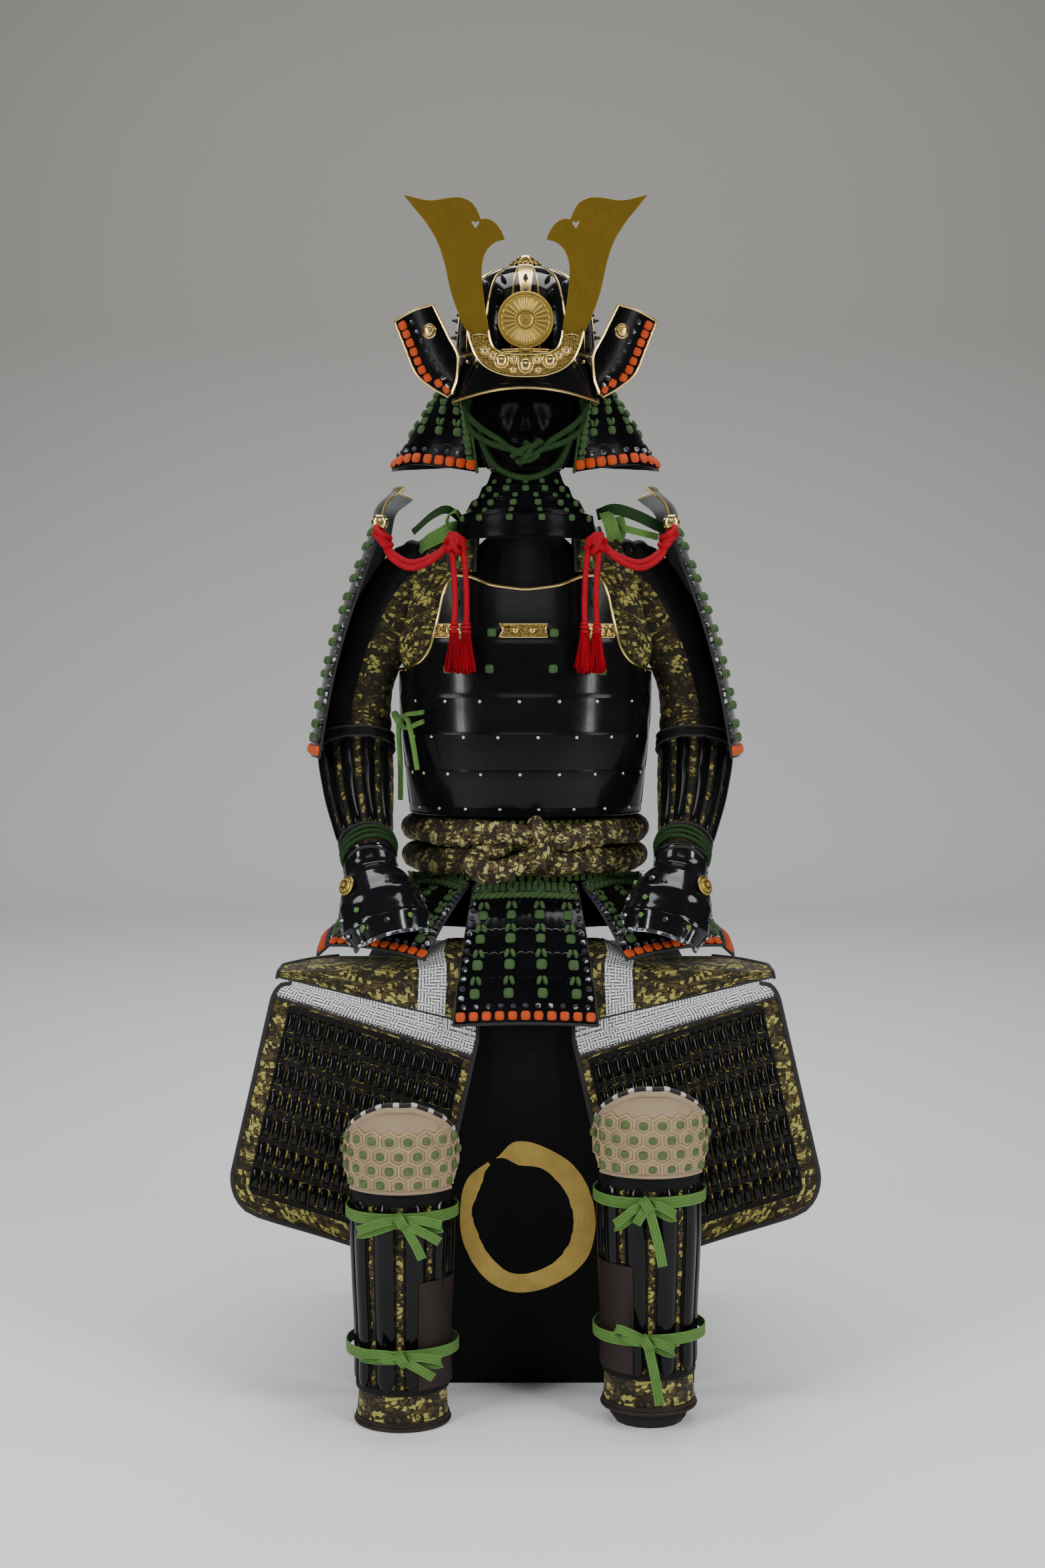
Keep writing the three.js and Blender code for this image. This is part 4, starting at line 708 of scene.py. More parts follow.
def patch(a, b, c, d, across, along):
    a, b, c, d = (np.array(q, float) for q in (a, b, c, d))
    def base(u, v):
        u, v = (np.asarray(q, float)[..., None] for q in np.broadcast_arrays(u, v))
        return (a + (b - a) * u) * (1 - v) + (c + (d - c) * u) * v
    n = unit(np.cross(base(1, .5) - base(0, .5), base(.5, 1) - base(.5, 0)))
    n = -n if n[2] < 0 else n
    def f(u, v):
        u, v = np.broadcast_arrays(np.asarray(u, float), v)
        return base(u, v) + n * (across * (1 - (2 * u - 1) ** 2) + along * np.sin(math.pi * v))[..., None]
    return f

AP = dict(oT=(320, -204, 532), iT=(62, -224, 456), oL=(384, -240, 246), iL=(126, -252, 168))
def apron(s, u, v):
    """u from the outer edge to the inner, v from the knee line down"""
    u, v = np.broadcast_arrays(np.asarray(u, float), v)
    oT, iT, oL, iL = (np.array(AP[k]) * [s, 1, 1] for k in ("oT", "iT", "oL", "iL"))
    U, W = u[..., None], v[..., None]
    P = (oT + (iT - oT) * U) * (1 - W) + (oL + (iL - oL) * U) * W
    P[..., 1] -= 7 * np.sin(math.pi * v) * np.sin(math.pi * u)
    return P

def shin_fn(s, lift):
    f = ring_fn([(2, 57, 50), (30, 55, 48), (100, 54, 47), (180, 57, 50), (250, 59, 51), (300, 59, 50)], s * 153, -324)
    def g(deg, z, grow=0.0):
        P = f(deg, z, grow); P[..., 2] += lift
        return P
    return g

KD, KX, KY = (pchip([298, 318, 345, 370, 388, 399], r) for r in ([62, 76, 80, 62, 38, 15], [67, 68, 68, 67, 66, 65], [59, 61, 62, 60, 57, 53]))
def knee(s, lift, u, z, grow=0.0):
    u, z = np.broadcast_arrays(np.asarray(u, float), z)
    a = np.radians(u * KD(z))
    return xyz(s * 153 + (KX(z) + grow) * np.sin(a), -324 - (KY(z) + grow) * np.cos(a), z + lift)


# ------------------------------------------------------------------ shared ways of making things
def on(f, u, v, sgn=1.0, lift=0.0):
    """point, direction along u and outward normal of the surface f at (u, v)"""
    u, v = np.broadcast_arrays(np.asarray(u, float), v); e = 2e-3
    X = unit(f(u + e, v) - f(u - e, v)); Y = unit(f(u, v + e) - f(u, v - e))
    N = unit(np.cross(X, Y)) * sgn
    return f(u, v) + N * np.asarray(lift, float)[..., None], X, N

def facing(f, away):
    P, X, N = on(f, 0.5, 0.5)
    return 1.0 if np.dot(N, P - np.array(away, float)) >= 0 else -1.0

def lame_rows(mesh, f, sgn, vs, nu, lip=2.2, t=1.5, scallop=0.0, m=0, u0=0.0, u1=1.0, tuck=0.0, m_in=None):
    """rows of plates down f; the top edge of each stands over the foot of the one above"""
    u = np.linspace(u0, u1, nu * 4 + 1 if scallop else nu + 1)
    for k, (a, b) in enumerate(zip(vs[:-1], vs[1:])):
        w = b - a
        top = a - (scallop * w * abs(np.sin(math.pi * nu * (u - u0) / (u1 - u0))) ** 0.45 if scallop else 0 * u)
        s = np.array([0, 0.03, 0.12, 0.5, 0.92, 1.0])
        V = top[:, None] + (b + tuck * w - top[:, None]) * s[None, :]
        P, X, N = on(f, u[:, None] + 0 * V, V, sgn)
        o = np.interp(s, [0, 0.03, 0.12, 1.0], [lip - 0.5, lip, lip - 0.1, 0.25])
        if scallop:
            o = o + 0.35 * abs(np.sin(math.pi * nu * (u - u0) / (u1 - u0)))[:, None] ** 0.6
        wall(mesh, P + N * (o + np.zeros_like(V))[..., None], t, N=N, m=m, m_in=m_in)

KNOT, EAR, BEAD = pillow(11, 11, 4.2, 10, 3), pillow(5.2, 11, 3.6, 7, 2, 2.2), pillow(8.0, 7.5, 3.8, 7, 2, 2.4)
SQUARE = pillow(13.5, 13.5, 4.6, 10, 3, 3.6)
RIVET = pillow(5.4, 5.4, 2.0, 10, 3, 2.0)

def lacing(mesh, f, sgn, vs, cols, lift=2.2, m=0, size=1.0, skip_top=False):
    """the cross knots of the lacing: a pair of leaves over each plate's top edge and a square knot below it"""
    for k, (a, b) in enumerate(zip(vs[:-1], vs[1:])):
        w = b - a
        for j, u in enumerate(cols):
            P, X, N = on(f, u, a + 0.40 * w, sgn, lift - 0.4)
            stamp(mesh, KNOT, P, X + 0.06 * np.cross(N, X) * (hash2(j, k) - 0.5), N, m, size * (0.94 + 0.12 * hash2(j, k, 5)))
            if k or not skip_top:
                for side in (-1, 1):
                    P, X, N = on(f, u, a - 0.02 * w, sgn, lift + 0.3)
                    Y = np.cross(N, X); ang = 0.32 * side
                    stamp(mesh, EAR, P + X * side * 3.1 * size, X * math.cos(ang) + Y * math.sin(ang), N, m, size)

def knot_row(mesh, shape, f, sgn, us, v, lift, m=0, scale=1.0, slant=0.0):
    P, X, N = on(f, np.asarray(us, float), v, sgn, lift)
    Y = np.cross(N, X)
    stamp(mesh, shape, P, X * math.cos(slant) + Y * math.sin(slant), N, m, scale * (0.95 + 0.1 * hash2(np.arange(len(P)), 9)))

def rope(mesh, P, r, m=0, sides=12, closed=False, pitch=9.0, depth=0.13, lobes=3, per=1.6):
    """a laid cord: strands winding round it"""
    P = np.asarray(P, float)
    L = np.linalg.norm(np.diff(P, axis=0), axis=1).sum()
    n = max(8, int(L / (r * per / 2.2)))
    Q = spline(P, n, closed)
    return tube(mesh, Q, r, sides, closed, m=m, lobes=lobes, depth=depth, twist=T2 / pitch)

def flat_art(name, outlines, holes, y, depth, mat_, bevel=0.35, replaces=(), smooth_n=0):
    """a plate cut to an outline in the x-z plane, its edges eased"""
    cu = bpy.data.curves.new(name + "_line", "CURVE"); cu.dimensions = "2D"; cu.fill_mode = "BOTH"
    cu.extrude = depth / 2 * 0.001 - bevel * 0.001; cu.bevel_depth = bevel * 0.001; cu.bevel_resolution = 2
    for ring in list(outlines) + list(holes):
        s = cu.splines.new("POLY"); s.points.add(len(ring) - 1); s.use_cyclic_u = True
        for p, (x, z) in zip(s.points, ring):
            p.co = (x * 0.001, z * 0.001, 0, 1)
    tmp = bpy.data.objects.new(name + "_tmp", cu); bpy.context.scene.collection.objects.link(tmp)
    dg = bpy.context.evaluated_depsgraph_get(); dg.update()
    me = bpy.data.meshes.new_from_object(tmp.evaluated_get(dg)); me.name = name
    bpy.data.objects.remove(tmp); bpy.data.curves.remove(cu)
    n = len(me.vertices); co = np.empty(n * 3, np.float32); me.vertices.foreach_get("co", co); co = co.reshape(-1, 3)
    new = np.stack([co[:, 0], y * 0.001 - co[:, 2], co[:, 1]], 1)
    me.vertices.foreach_set("co", new.astype(np.float32).ravel()); me.update()
    for q in list(me.uv_layers):
        me.uv_layers.remove(q)
    lay = me.uv_layers.new(name="st"); li = np.empty(len(me.loops), np.int32); me.loops.foreach_get("vertex_index", li)
    lay.data.foreach_set("uv", (new[li][:, [0, 2]] * 100).astype(np.float32).ravel())
    me.polygons.foreach_set("use_smooth", np.ones(len(me.polygons), bool)); me.set_sharp_from_angle(angle=math.radians(30))
    me.materials.clear(); me.materials.append(mat_)
    ob = bpy.data.objects.new(name, me); bpy.context.scene.collection.objects.link(ob)
    return finish(ob, "root", replaces)

def closed_curve(pts, n, corners=()):
    """an outline through pts, smooth except at the numbered corners"""
    P = [np.array(p, float) for p in pts]; c = sorted(corners)
    if not c:
        return spline(P, n, True)
    out = []
    for a, b in zip(c, c[1:] + [c[0] + len(P)]):
        seg = [P[k % len(P)] for k in range(a, b + 1)]
        L = sum(np.linalg.norm(q - p) for p, q in zip(seg, seg[1:]))
        out.append(spline(seg, max(3, int(n * L / 1000)))[:-1])
    return np.vstack(out)


# ------------------------------------------------------------------ chest
def paint(node, material, bevel=None):
    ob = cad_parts[node]
    ob.data.materials.clear(); ob.data.materials.append(material)
    if bevel:
        b = ob.modifiers.new("eased", "BEVEL"); b.width = bevel * 0.001; b.segments = 3; b.limit_method = "ANGLE"
        b.harden_normals = False
    return ob

def chest():
    for n in ("box_body", "box_lid"):
        paint(n, M["wood"], 1.6)
    paint("stand", M["black"], 1.2)
    # a plain brushed ring on the chest front
    n = 220; a = np.linspace(math.radians(118), math.radians(118 - 352), n)
    t = np.linspace(0, 1, n)
    w = 15 * (smooth(0, 0.06, t) * 0.85 + 0.15) * (1 - 0.45 * smooth(0.35, 1.0, t)) + 1.6 * vnoise(t * 14, 0.0)
    w = w * (1 - 0.75 * smooth(0.94, 1.0, t))
    rx, rz = 78 - 3.0 * np.sin(a * 2), 87 + 2.5 * np.cos(a * 3)
    c, s = np.cos(a), np.sin(a)
    outer = np.stack([(rx + w * 0.85 + 0.5 * vnoise(t * 60, 2.0)) * c, 218 + (rz + w * 0.85) * s], 1)
    inner = np.stack([(rx - w * 1.1 + 0.9 * vnoise(t * 90, 5.0)) * c, 218 + (rz - w * 1.1) * s], 1)
    flat_art("chest_ring_mark", [np.vstack([outer, inner[::-1]])], [], -200.6, 1.0, M["emblem"], 0.2)
chest()


# ------------------------------------------------------------------ torso plates
SEAMS = [970.7, 940.2, 891.4, 843.4, 795.3, 745.3]
def torso_plates():
    zs = [733.0]
    for z in SEAMS[::-1]:
        zs += [z - 3.0, z - 0.9, z - 0.15, z + 0.05]
    zs += list(np.linspace(985, 1078, 40))
    levels = []
    for a, b in zip(zs, zs[1:]):
        k = max(1, int((b - a) / 9))
        levels += list(np.linspace(a, b, k, endpoint=False))
    levels = np.array(levels + [zs[-1]])
    edges = np.array([733.0] + SEAMS[::-1] + [1100.0])
    k = np.clip(np.searchsorted(edges, levels, side="left") - 1, 0, len(edges) - 2)
    lo, hi = edges[k], edges[k + 1]
    t = (levels - lo) / (hi - lo)
    out = np.where(k == len(edges) - 2, 0.15, 0.15 + 1.55 * t ** 1.4)
    near = hi - levels
    out = np.where((near < 1.0) & (k < len(edges) - 2), out - 0.55 * (1 - near) ** 2, out)
    for name, top, turn in (("torso_front", F_TOP, 0), ("torso_back", B_TOP, 180)):
        deg = np.r_[-87, np.linspace(-86, 86, 173), 87]
        x = abs(torso(deg, 1000.0)[:, 0]) * 171 / TX(1000.0)
        Z = np.minimum(levels[None, :], top(x)[:, None])
        D = deg[:, None] + turn + 0 * Z
        P = torso(D, Z)
        N = torso(D + 0.8, Z) - torso(D - 0.8, Z); N = unit(np.stack([N[..., 1], -N[..., 0], 0 * N[..., 0]], -1))
        N = N * np.sign(np.sum(N * (P * [1, 1, 0]), -1, keepdims=True))
        o = np.where(levels[None, :] > top(x)[:, None], 0.15, out[None, :])
        m = Mesh(); wall(m, P, 2.4, out=o, N=N)
        m.build(name + "_lames", M["satin"], sharp=28, slot="torso_steel", replaces=(name,))
        # gold rim along the top edge
        d = np.linspace(-87, 87, 260); xx = abs(torso(d, 1000.0)[:, 0]) * 171 / TX(1000.0); z = top(xx)
        R = torso(d + turn, z, 0.4)
        g = Mesh(); tube(g, R, 2.3, 8, up=[0, 0, 1.0])
        if not turn:
            for zz, xs in ((886.1, (-106, -60, -8, 44.4, 94.2, 141, -146)), (838.8, (-148, -124.5, -81.6, -36.1, 16.4, 67.2, 113.6, 148.6)),
                           (789.7, (-151, -135.2, -102.8, -58.9, -7.2, 44.5, 91.8, 129.5, 154)), (743.1, (-141.5, -114.3, -79.2, -33.6, 17.3, 63.8, 105.1, 138.4))):
                dd = np.linspace(-88, 88, 1800); px = torso(dd, zz)[:, 0]
                deg_x = np.interp(np.array(sorted(xs)), px, dd)
                Q = torso(deg_x, zz, 0.9); n = unit((torso(deg_x, zz, 5) - torso(deg_x, zz, 0)) * [1, 1, 0])
                stamp(g, RIVET, Q, [0, 0, 1.0], n, m=1)
        else:
            for zz in (886.1, 838.8, 789.7, 743.1):
                deg_x = np.linspace(100, 260, 11)
                Q = torso(deg_x, zz, 0.9); n = unit((torso(deg_x, zz, 5) - torso(deg_x, zz, 0)) * [1, 1, 0])
                stamp(g, RIVET, Q, [0, 0, 1.0], n, m=1)
        # rim at the side openings and the foot
        for e in (-87, 87):
            zz = np.linspace(736, 925, 60); tube(g, torso(e + turn + 0 * zz, zz, 0.2), 1.6, 6, m=2)
        dd = np.linspace(-87, 87, 200) + turn; tube(g, torso(dd, 734.5 + 0 * dd, 0.4), 1.7, 6, m=2)
        g.build(name + "_trim", [M["gold"], M["rivet"], M["satin"]], slot="gold")
    # engraved plates on the breast, with swallow-tailed ends, and the knots of its lacing
    def on_torso(x, z, grow):
        dd = np.linspace(-88, 88, 2400); px = torso(dd, 980.0)[:, 0]
        return torso(np.interp(x, px, dd), z, grow)
    m = Mesh()
    for x0, x1, tails in ((-34, 30, (1, 1)), (-118, -82, (0, 1)), (80, 116, (1, 0))):
        xs = np.linspace(x0, x1, 40); zz = np.linspace(970.6, 988.2, 9)
        half = abs(zz - 979.4) / 8.8
        cut0, cut1 = tails[0] * 5.0 * (1 - half), tails[1] * 5.0 * (1 - half)
        XX = (x0 + cut0)[None, :] + ((x1 - cut1) - (x0 + cut0))[None, :] * ((xs - x0) / (x1 - x0))[:, None]
        P = on_torso(XX, zz[None, :] + 0 * XX, 0.0)
        N = unit((on_torso(XX, zz[None, :] + 0 * XX, 5.0) - P) * [1, 1, 0])
        ripple = 0.5 * abs(np.sin(XX / 3.4)) * abs(np.sin(zz[None, :] / 2.4))
        O, _ = wall(m, P + N * 2.2, 0.6, out=ripple, N=N)
        rim = np.vstack([O[:, 0], O[-1, 1:-1], O[::-1, -1], O[0, -2:0:-1]])
        tube(m, rim, 0.9, 6, closed=True, up=np.array([0, -1.0, 0]), m=1)
        for c in ((x0 + x1) / 2 + np.array([-11, 11]) if x1 - x0 > 50 else [(x0 + x1) / 2]):
            Q = on_torso(np.array([c]), np.array([979.4]), 2.6)
            stamp(m, pillow(8.5, 8.5, 2.6, 14, 4, 2.0), Q, [0, 0, 1.0], [0, -1.0, 0], m=1)
    m.build("breast_plates", [M["engr"], M["boss"]], slot="gold")
    k = Mesh()
    for x, z in ((-43.8, 976.5), (37.2, 976), (-46.5, 929), (35.5, 929), (-100.5, 928), (99.2, 926), (-94, 1016), (94, 1016), (-97, 1040), (97, 1040)):
        Q = on_torso(np.array([x]), np.array([z]), 1.4); n = unit((on_torso(np.array([x]), np.array([z]), 6) - Q) * [1, 1, 0])
        stamp(k, pillow(11.5, 12.5, 4.0, 12, 4, 3.4), Q, [0, 0, 1.0], n)
    k.build("breast_knots", M["green_knot"], slot="green_silk")
torso_plates()

def straps():
    T = [0, 0.12, 0.3, 0.5, 0.68, 0.85, 1]; fy = pchip(T, [-103, -97, -74, -30, 20, 70, 104]); fz = pchip(T, [1057, 1074, 1094, 1114, 1121, 1113, 1084])
    for tag, s, _ in SIDES:
        f = lambda u, v: xyz(s * (84 + 17 * (2 * np.asarray(u, float) - 1)), fy(np.clip(v, 0, 1)), fz(np.clip(v, 0, 1)) + 0.6)
        u, v = np.linspace(0, 1, 13)[:, None], np.linspace(0, 1, 60)[None, :]
        P = f(u, v + 0 * u); N = normals(P); N = N * np.sign(N[..., 2:3].mean())
        m = Mesh(); wall(m, P, 3.6, out=1.2 * (1 - (2 * u - 1) ** 4) + 0 * v, N=N)
        for e in (0.0, 1.0):
            tube(m, f(e, v[0]), 2.4, 8, m=1)
        vs = np.linspace(0.06, 0.94, 9)
        sg = facing(f, (s * 84, 0, 900))
        for uu in (0.3, 0.7):
            knot_row(m, KNOT, f, sg, [uu] * 9, vs, 1.0, m=2, scale=0.85)
        m.build("strap_cloth_" + tag, [M["broc"], M["piping"], M["green_knot"]], slot="brocade", replaces=("strap_" + tag,))
straps()

def throat_and_mask():
    m = Mesh()
    for a, b, lip in ((1100.0, 1131.5, 1.2), (1129.5, 1151.5, 1.0), (1149.5, 1169.5, 1.0), (1167.5, 1189, 1.0)):
        d = np.linspace(-75, 75, 91)[:, None]; z = np.r_[a, a + 0.8, np.linspace(a + 2, b - 2, 6), b - 0.8, b][None, :]
        P = throat(d, z + 0 * d)
        N = unit((throat(d, z + 0 * d, 5) - P))
        o = np.interp(z, [a, a + 0.8, a + 4, b - 1, b], [lip * 0.6, lip, 0.5, 0.2, 0.0]) + 0 * d
        wall(m, P, 2.2, out=o, N=N)
    d = np.linspace(-75, 75, 120); tube(m, throat(d, 1100.6 + 0 * d, 0.4), 1.5, 8, m=0)
    for z, degs in ((1126, (-62, -40, -13, 13, 40, 62)), (1146, (-58, -36, -12, 12, 36, 58)), (1165, (-50, -24, 0, 24, 50))):
        for dg in degs:
            P = throat(np.array([float(dg)]), z, 0.6); n = unit(throat(np.array([float(dg)]), z, 5) - throat(np.array([float(dg)]), z, 0))
            stamp(m, pillow(8.5, 9.5, 3.6, 12, 3, 3.0), P, [0, 0, 1.0], n, m=1)
            P = throat(np.array([float(dg)]), z + 9.5, 0.2)
            stamp(m, pillow(8.0, 7.5, 3.0, 12, 3, 3.0), P, [0, 0, 1.0], n, m=1)
    m.build("throat_lames", [M["deep"], M["green_knot"]], slot="lacquer", replaces=("throat_guard",))
    # a calm generic half mask
    d = np.linspace(-76, 76, 141)[:, None]; z = np.linspace(1193, 1290, 101)[None, :]
    P = mask_f(d, z + 0 * d); N = unit(mask_f(d, z + 0 * d, 5) - P)
    x, h = P[..., 0], z - 1193
    bump = 15 * np.exp(-(x / 9.5) ** 2) * smooth(92, 48, h) * smooth(34, 44, h)                 # nose
    bump += 3.0 * np.exp(-((abs(x) - 8) / 6) ** 2) * np.exp(-((h - 45) / 7) ** 2)
    bump += 4.5 * np.exp(-((abs(x) - 34) / 15) ** 2) * np.exp(-((h - 56) / 17) ** 2)            # cheeks
    bump += 4.0 * np.exp(-(x / 20) ** 2) * np.exp(-((h - 27) / 4.5) ** 2) + 3.6 * np.exp(-(x / 17) ** 2) * np.exp(-((h - 17.5) / 3.6) ** 2)
    bump -= 2.2 * np.exp(-(x / 22) ** 2) * np.exp(-((h - 22.5) / 1.8) ** 2)                     # closed lips
    bump += 5.0 * np.exp(-(x / 20) ** 2) * np.exp(-((h - 5) / 7) ** 2)                          # chin
    bump -= 4.0 * np.exp(-((abs(x) - 25) / 12) ** 2) * smooth(80, 92, h)
    m = Mesh(); wall(m, P, 2.2, out=np.clip(bump, -1.5, 14), N=N)
    for e in (-76, 76):
        zz = np.linspace(1194, 1289, 40); tube(m, mask_f(e + 0 * zz, zz, 0.4), 1.6, 6)
    m.build("face_guard", M["mask"], slot="lacquer", replaces=("mask",), sharp=50)
throat_and_mask()


# ------------------------------------------------------------------ helmet
BK = pchip([1322, 1345, 1372, 1398, 1420, 1440, 1454, 1462, 1465], [1.0, 1.0, 0.995, 0.965, 0.89, 0.76, 0.56, 0.32, 0.16])
def bowl(deg, z, grow=0.0):
    a = np.radians(deg); k = BK(z)
    return xyz((92 * k + grow) * np.sin(a), -30 - (112 * k + grow) * np.cos(a), z)

def helmet():
    deg = np.linspace(0, 360, 181)[:-1][:, None]
    z = 1322 + 143 * (1 - (1 - np.linspace(0, 1, 46)) ** 1.7)[None, :]
    P = bowl(deg, z + 0 * deg); N = normals(P, True); N = N * outward(P, N)
    m = Mesh()
    O, NN = wall(m, P, 2.6, closed=True, N=N)
    c = np.array([[0, -30, 1465.6]]); ring = P[:, -1]
    m.add(np.vstack([ring, c]), [[k, (k + 1) % 180, 180] for k in range(180)], None, 0)
    m.build("helmet_shell", M["plate"], slot="lacquer", replaces=("helmet_bowl",), sharp=60)
    g = Mesh()
    ribs = np.arange(0, 360, 22.5) + 11.25
    zz = 1326 + 137 * (1 - (1 - np.linspace(0, 1, 60)) ** 1.6)
    for d in ribs:
        tube(g, bowl(d + 0 * zz, zz, 0.7), 1.25, 6)
    # flat gold straps running down from the crown, front, back and sides
    for d0, w, low in ((0, 10.5, 1398), (180, 9, 1400), (90, 7, 1410), (270, 7, 1410)):
        q = np.linspace(0, 1, 40)[None, :]; zq = low + (1462 - low) * (1 - (1 - q) ** 1.5)
        u = np.linspace(-1, 1, 9)[:, None]
        half = w * (0.55 + 0.45 * smooth(0, 0.75, q)) * smooth(-0.02, 0.10, q) + 0.6
        ang = d0 + np.degrees(u * half / (100 * BK(zq)))
        Q = bowl(ang, zq + 0 * ang); n = normals(Q); n = n * outward(Q, n)
        wall(g, Q + n * 1.1, 1.0, out=0.8 * (1 - u ** 2) + 0 * q, N=n)
    d = np.linspace(0, 360, 160, endpoint=False)
    tube(g, bowl(d, 1330 + 0 * d, 1.2), 2.2, 8, closed=True)
    tube(g, bowl(d, 1341 + 0 * d, 0.9), 1.3, 6, closed=True)
    g.build("helmet_ribs", M["gold"], slot="gold")
    r = Mesh(); shape = cone(3.6, 9.5, 8, 0.3, 0.62)
    for j, d0 in enumerate(ribs):
        for zq in (1350, 1372, 1394, 1415, 1434):
            for off in (11.25,) if zq > 1 else ():
                a = d0 + off
                if zq < 1400 and (abs((a + 180) % 360 - 180) < 20):
                    continue
                Q = bowl(np.array([a]), float(zq)); n = unit(bowl(np.array([a]), float(zq), 5) - Q)
                e = 1.0; up = unit(bowl(np.array([a]), zq + e) - bowl(np.array([a]), zq - e)); side = unit(np.cross(up, n)); n = unit(np.cross(side, up))
                stamp(r, shape, Q, side, n * np.sign(np.sum(n * (Q - np.array([0, -30, 1380])))))
    r.build("helmet_rivets", M["steel"], slot="lacquer")
    # crown boss: tiers with petalled edges
    f = Mesh(); a = np.linspace(0, T2, 96, endpoint=False)
    prof = [(22, 1464.5, 1), (23.5, 1466.5, 1), (22.5, 1468.6, 1), (17.5, 1468.9, 0), (18.6, 1470.6, 1), (17.8, 1472.4, 1), (13.0, 1472.7, 0), (14.0, 1474.5, 0),
            (13.2, 1476.2, 0), (9.2, 1476.5, 0), (9.8, 1478.0, 0), (8.6, 1479.8, 0), (4.0, 1481.0, 0), (0.6, 1481.4, 0)]
    P = np.array([[((q + (0.9 * abs(math.cos(8 * t)) if pet else 0)) * math.cos(t), -30 + (q + (0.9 * abs(math.cos(8 * t)) if pet else 0)) * math.sin(t), z) for q, z, pet in prof] for t in a])
    F, Fu = grid_faces(96, len(prof), True); UV = arc_uv(P, True).reshape(-1, 2)
    f.add(P.reshape(-1, 3), F, UV[Fu])
    f.build("crown_boss", M["boss"], slot="gold", replaces=("helmet_finial",), sharp=25)
    # visor
    m = Mesh(); u = np.linspace(-58, 58, 97)[:, None]; v = np.linspace(0, 1, 17)[None, :]
    def vis(dg, w, lift=0.0):
        q = np.radians(dg)
        edge = 1289 - 5 * (dg / 58.0) ** 2 + 3.2 * np.cos(np.radians(dg * 3.1)) - 3.0
        return xyz((95.4 + (112 - 95.4) * w + lift) * np.sin(q), -30 - (115.4 + (138 - 115.4) * w + lift) * np.cos(q), 1338 + (edge - 1338) * w)
    P = vis(u, v); N = normals(P); N = N * np.sign(-N[48, 8, 1])
    O, _ = wall(m, P, 2.0, out=1.4 * np.sin(math.pi * v) + 0 * u, N=N)
    m.build("visor_plate", M["plate"], slot="lacquer", replaces=("helmet_visor",))
    g = Mesh(); tube(g, O[:, -1] + [0, -0.6, -0.4], 2.1, 8); tube(g, O[:, 0], 1.3, 6)
    for dg in (-50, -40, 40, 50):
        Q = vis(np.array([float(dg)]), 0.14, 1.5); stamp(g, pillow(5, 5, 2.4, 12, 3, 2.0), Q, [0, 0, 1.0], unit(Q - np.array([0, -30, 1330]) * [1, 1, 1] * 1.0))
    g.build("visor_rim", M["gold"], slot="gold")
helmet()

